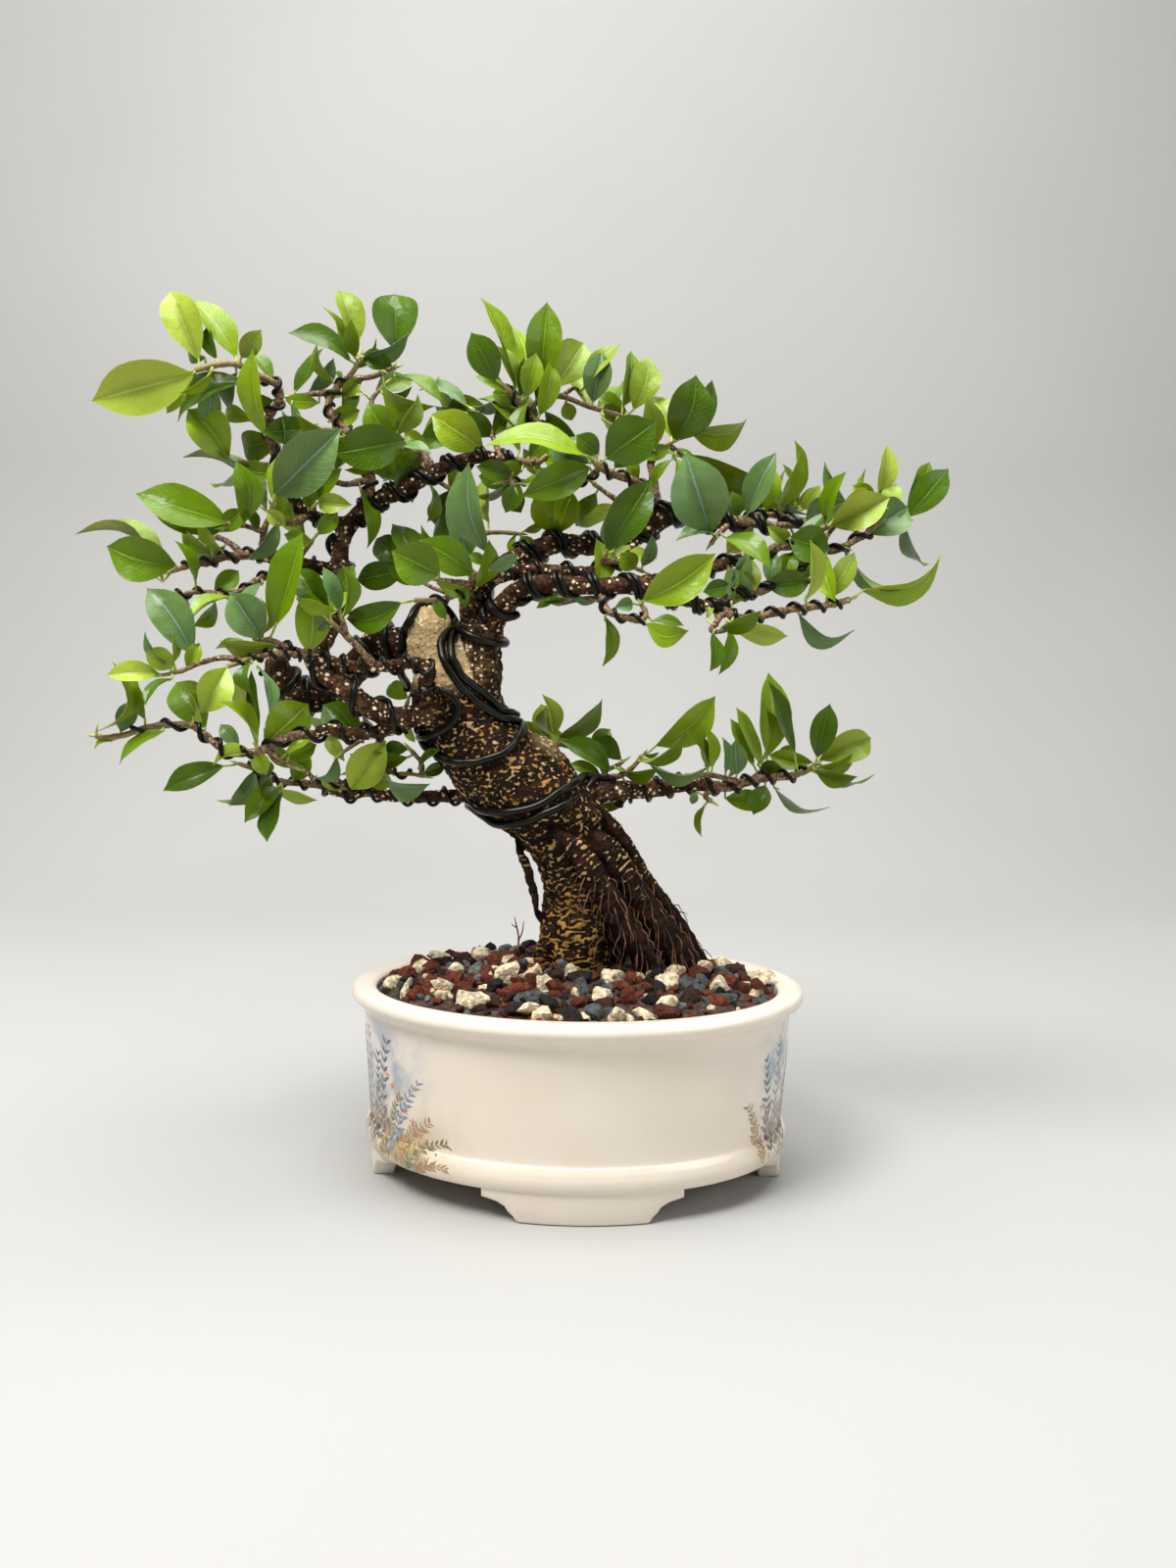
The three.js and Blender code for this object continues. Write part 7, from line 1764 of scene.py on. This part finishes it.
# Geometry Nodes: stones spread over the mound, each with its own size, turn and tone
def scatterTree():
    tree, given, out = startGeometry("gravelScatter", [
        ("Shapes", "Collection", None), ("Spacing", "Float", 0.005), ("Size", "Float", 0.007),
        ("Sink", "Float", 0.0), ("Seed", "Int", 1), ("Lowest Tone", "Float", 0.0)])
    inputs = given.outputs

    # each random value has a seed of its own
    def randomOf(shift, kind, limits):
        seed = mathNode(tree, "ADD", inputs["Seed"], shift)
        return addNode(tree, "FunctionNodeRandomValue", {**limits, "Seed": seed}, data_type=kind).outputs
    turn = randomOf(11, "FLOAT_VECTOR", {"Max": (1.0, 1.0, 6.28)})["Value"]
    sizes = randomOf(23, "FLOAT_VECTOR", {"Min": (0.55, 0.6, 0.6), "Max": (1.3, 1.15, 1.1)})["Value"]
    tone = randomOf(37, "FLOAT", {2: inputs["Lowest Tone"]})[1]
    spread = addNode(tree, "GeometryNodeDistributePointsOnFaces", {
        "Distance Min": inputs["Spacing"], "Density Max": 120000, "Seed": inputs["Seed"]},
        distribute_method="POISSON")
    down = addNode(tree, "ShaderNodeCombineXYZ", {"Z": inputs["Sink"]})
    lower = addNode(tree, "GeometryNodeSetPosition", {"Offset": down.outputs["Vector"]})
    shapes = addNode(tree, "GeometryNodeCollectionInfo", {
        "Collection": inputs["Shapes"], "Separate Children": True, "Reset Children": True})
    place = addNode(tree, "GeometryNodeInstanceOnPoints", {
        "Instance": shapes.outputs["Instances"], "Pick Instance": True, "Rotation": turn,
        "Scale": vectorNode(tree, "SCALE", sizes, Scale=inputs["Size"])})
    store = addNode(tree, "GeometryNodeStoreNamedAttribute", {"Name": "stoneTone", "Value": tone},
                    data_type="FLOAT", domain="INSTANCE")
    threadGeometry(tree, given, out, spread, lower, place, store)
    return tree


def gravelPieces(mound):
    shapes = stoneShapes()
    tree = scatterTree()
    for name, (size, spacing, sink, reach, seed, lowest) in gravelLook["layers"].items():
        # the top of the mound, as far out as this layer reaches
        def isStony(spot, normal):
            return normal.z >= 0.3 and math.hypot(spot.x, spot.y / potLook["innerRatio"]) <= reach
        values = {"Shapes": shapes, "Spacing": spacing * mm, "Size": size * mm, "Sink": sink * mm,
                  "Seed": seed, "Lowest Tone": lowest, "Finish": stoneMaterial}
        piece = madeWithNodes(patchOf(mound, name + "Ground", isStony), tree, values, name)
        keepPiece(piece, "gravel")
        print(name, len(piece.data.polygons), "faces")


# Fine hanging roots at the right foot, and a dry forked twig standing in the gravel
hairLook = {
    "low": (-2, -40, 84), "high": (64, 30, 138), "slope": 0.75, "slopeTop": 136, "seed": 6,
    "spacing": 4.2, "length": 20, "radius": 0.3, "kink": 20, "outward": 6.5,
    "dryTwig": [
        [(-27, 92, -12, 0.55), (-26.6, 98, -12, 0.5), (-27.4, 103, -12, 0.4), (-28.6, 108, -12, 0.2)],
        [(-26.8, 97, -12, 0.45), (-25, 101, -12, 0.35), (-24.4, 106, -12, 0.2)],
        [(-27.4, 103, -12, 0.4), (-29.8, 104.5, -12, 0.2)]],
}


# Geometry Nodes: hairs hanging from a surface, each bent by noise and drawn out thin
def hangingTree():
    tree, given, out = startGeometry("hangingHairs", [
        ("Spacing", "Float", 0.003), ("Length", "Float", 0.02), ("Radius", "Float", 0.0003),
        ("Kink", "Float", 0.005), ("Outward", "Float", 0.003), ("Seed", "Int", 1)])
    inputs = given.outputs
    spread = addNode(tree, "GeometryNodeDistributePointsOnFaces", {
        "Distance Min": inputs["Spacing"], "Density Max": 150000, "Seed": inputs["Seed"]},
        distribute_method="POISSON")
    keepNormal = addNode(tree, "GeometryNodeStoreNamedAttribute", {
        "Name": "outward", "Value": spread.outputs["Normal"]}, data_type="FLOAT_VECTOR")
    down = addNode(tree, "GeometryNodeCurvePrimitiveLine", {"End": (0, 0, -1)})
    fine = addNode(tree, "GeometryNodeResampleCurve", {"Curve": down.outputs["Curve"], "Count": 9})
    sizes = addNode(tree, "FunctionNodeRandomValue", {2: 0.35, 3: 1.3, "Seed": inputs["Seed"]},
                    data_type="FLOAT")
    place = addNode(tree, "GeometryNodeInstanceOnPoints", {
        "Instance": fine.outputs["Curve"], "Scale": times(tree, sizes.outputs[1], inputs["Length"])})
    real = addNode(tree, "GeometryNodeRealizeInstances")
    share = addNode(tree, "GeometryNodeSplineParameter").outputs["Factor"]
    cloud = addNode(tree, "ShaderNodeTexNoise", {"Scale": 130.0}, noise_dimensions="3D")
    middle = vectorNode(tree, "SUBTRACT", cloud.outputs["Color"], (0.5, 0.5, 0.6))
    bend = vectorNode(tree, "SCALE", middle, Scale=times(tree, share, inputs["Kink"]))
    outward = addNode(tree, "GeometryNodeInputNamedAttribute", {"Name": "outward"},
                      data_type="FLOAT_VECTOR").outputs["Attribute"]
    away = times(tree, mathNode(tree, "POWER", share, 0.5), inputs["Outward"])
    push = vectorNode(tree, "SCALE", outward, Scale=away)
    move = addNode(tree, "GeometryNodeSetPosition", {"Offset": vectorNode(tree, "ADD", bend, push)})
    taper = addNode(tree, "ShaderNodeMapRange", {"Value": share, "To Min": 1.0, "To Max": 0.3})
    ring = addNode(tree, "GeometryNodeCurvePrimitiveCircle", {"Resolution": 5, "Radius": inputs["Radius"]})
    bar = addNode(tree, "GeometryNodeCurveToMesh", {
        "Profile Curve": ring.outputs["Curve"], "Scale": taper.outputs["Result"], "Fill Caps": True})
    smooth = addNode(tree, "GeometryNodeSetShadeSmooth")
    threadGeometry(tree, given, out, spread, keepNormal, place, real, move, bar, smooth)
    return tree


def hairPieces(trunk):
    # only the right foot, below a line that falls away from the stem
    def isHairy(spot, normal):
        inBox = all(a <= c <= b for a, b, c in zip(hairLook["low"], hairLook["high"], spot))
        return inBox and spot.x >= hairLook["slope"] * (hairLook["slopeTop"] - spot.z)
    values = {label: hairLook[label.lower()] * mm
              for label in ("Spacing", "Length", "Radius", "Kink", "Outward")}
    values.update({"Seed": hairLook["seed"], "Finish": hairMaterial})
    piece = madeWithNodes(patchOf(trunk, "rootSkin", isHairy), hangingTree(), values, "hairRoots")
    keepPiece(piece, "bark")
    parts = newParts()
    for rows in hairLook["dryTwig"]:
        addBar(parts, smoothLine(limbLine(rows), 4), 6)
    keepPiece(meshFrom("dryTwig", parts, [hairMaterial]), "bark")
    print("hair roots", len(piece.data.polygons), "faces")


# Camera: the photograph's own viewpoint, in front of the pot and a little left of it
cameraLook = {"x": -33, "y": -550, "z": 225, "pitch": 5.12, "roll": 0.4, "lens": 28.125, "sensor": 36,
              "shiftX": 0.0525}


def makeCamera():
    data = bpy.data.cameras.new("viewpoint")
    data.lens = cameraLook["lens"]
    data.sensor_width = cameraLook["sensor"]
    data.sensor_fit = "AUTO"
    data.shift_x = cameraLook["shiftX"]
    data.clip_start, data.clip_end = 0.01, 20
    camera = newObject("viewpoint", data)
    camera.location = Vector((potMiddleX + cameraLook["x"], cameraLook["y"], cameraLook["z"])) * mm
    tilt = Matrix.Rotation(math.radians(90 - cameraLook["pitch"]), 4, "X")
    roll = Matrix.Rotation(math.radians(cameraLook["roll"]), 4, "Z")
    camera.rotation_euler = (tilt @ roll).to_euler()
    bpy.context.scene.camera = camera


# Studio: a pale floor that sweeps up into a cool pale wall, and large soft lamps
studioLook = {
    "floorNear": -1.6, "wallAt": 1.1, "sweep": 0.5, "wallTop": 3.0, "halfWidth": 3.2, "steps": 14,
    "aim": (0.03, 0, 0.2),
    "lamps": {
        "window": {"at": (-0.65, -0.6, 1.5), "size": 0.7, "power": 30, "colour": (1.0, 0.985, 0.96)},
        "room": {"at": (1.4, -0.9, 0.9), "size": 1.2, "power": 8, "colour": (0.95, 0.98, 1.0)},
        "ceiling": {"at": (0.1, 0.0, 1.7), "size": 1.4, "power": 33, "colour": (1.0, 0.99, 0.97)},
    },
    "world": (0.84, 0.83, 0.81), "worldStrength": 0.26,
}


def makeStudio():
    look, steps = studioLook, studioLook["steps"]
    rows = [(look["floorNear"], 0.0)]
    for i in range(steps + 1):
        angle = math.pi / 2 * i / steps
        rows.append((look["wallAt"] - look["sweep"] * (1 - math.sin(angle)),
                     look["sweep"] * (1 - math.cos(angle))))
    rows.append((look["wallAt"], look["wallTop"]))
    points = [(side * look["halfWidth"], y, z) for y, z in rows for side in (-1, 1)]
    faces = [(2 * i, 2 * i + 1, 2 * i + 3, 2 * i + 2) for i in range(len(rows) - 1)]
    mesh = bpy.data.meshes.new("paleStudio")
    mesh.from_pydata(points, [], faces)
    mesh.polygons.foreach_set("use_smooth", [True] * len(faces))
    mesh.materials.append(studioMaterial)
    newObject("paleStudio", mesh)
    for name, lamp in look["lamps"].items():
        data = bpy.data.lights.new(name, "AREA")
        data.shape = "DISK"
        data.size = lamp["size"]
        data.energy = lamp["power"]
        data.color = lamp["colour"]
        light = newObject(name, data)
        light.location = lamp["at"]
        aim = Vector(look["aim"]) - light.location
        light.rotation_euler = aim.to_track_quat("-Z", "Y").to_euler()
    world = bpy.data.worlds.new("softRoom")
    world.use_nodes = True
    sky = world.node_tree.nodes["Background"]
    sky.inputs["Color"].default_value = (*look["world"], 1)
    sky.inputs["Strength"].default_value = look["worldStrength"]
    bpy.context.scene.world = world
    bpy.context.scene.view_settings.view_transform = "Standard"


makeCamera()
makeStudio()
potPiece()
sprigPiece()
mound = moundPiece()
gravelPieces(mound)
print("pot and gravel ready")
trunk = trunkPiece()
skin = treeOf(trunk)
hairPieces(trunk)
for name, (wire, rows) in laidWires.items():
    laidWirePiece(name, wire, rows, skin)
winding = windingTree()
for name, row in coils.items():
    coilPiece(name, row, winding)
print("wood and wire ready")
for number, (name, spray) in enumerate(sprays.items()):
    sprayPiece(name, spray, number)
print("leaves ready")
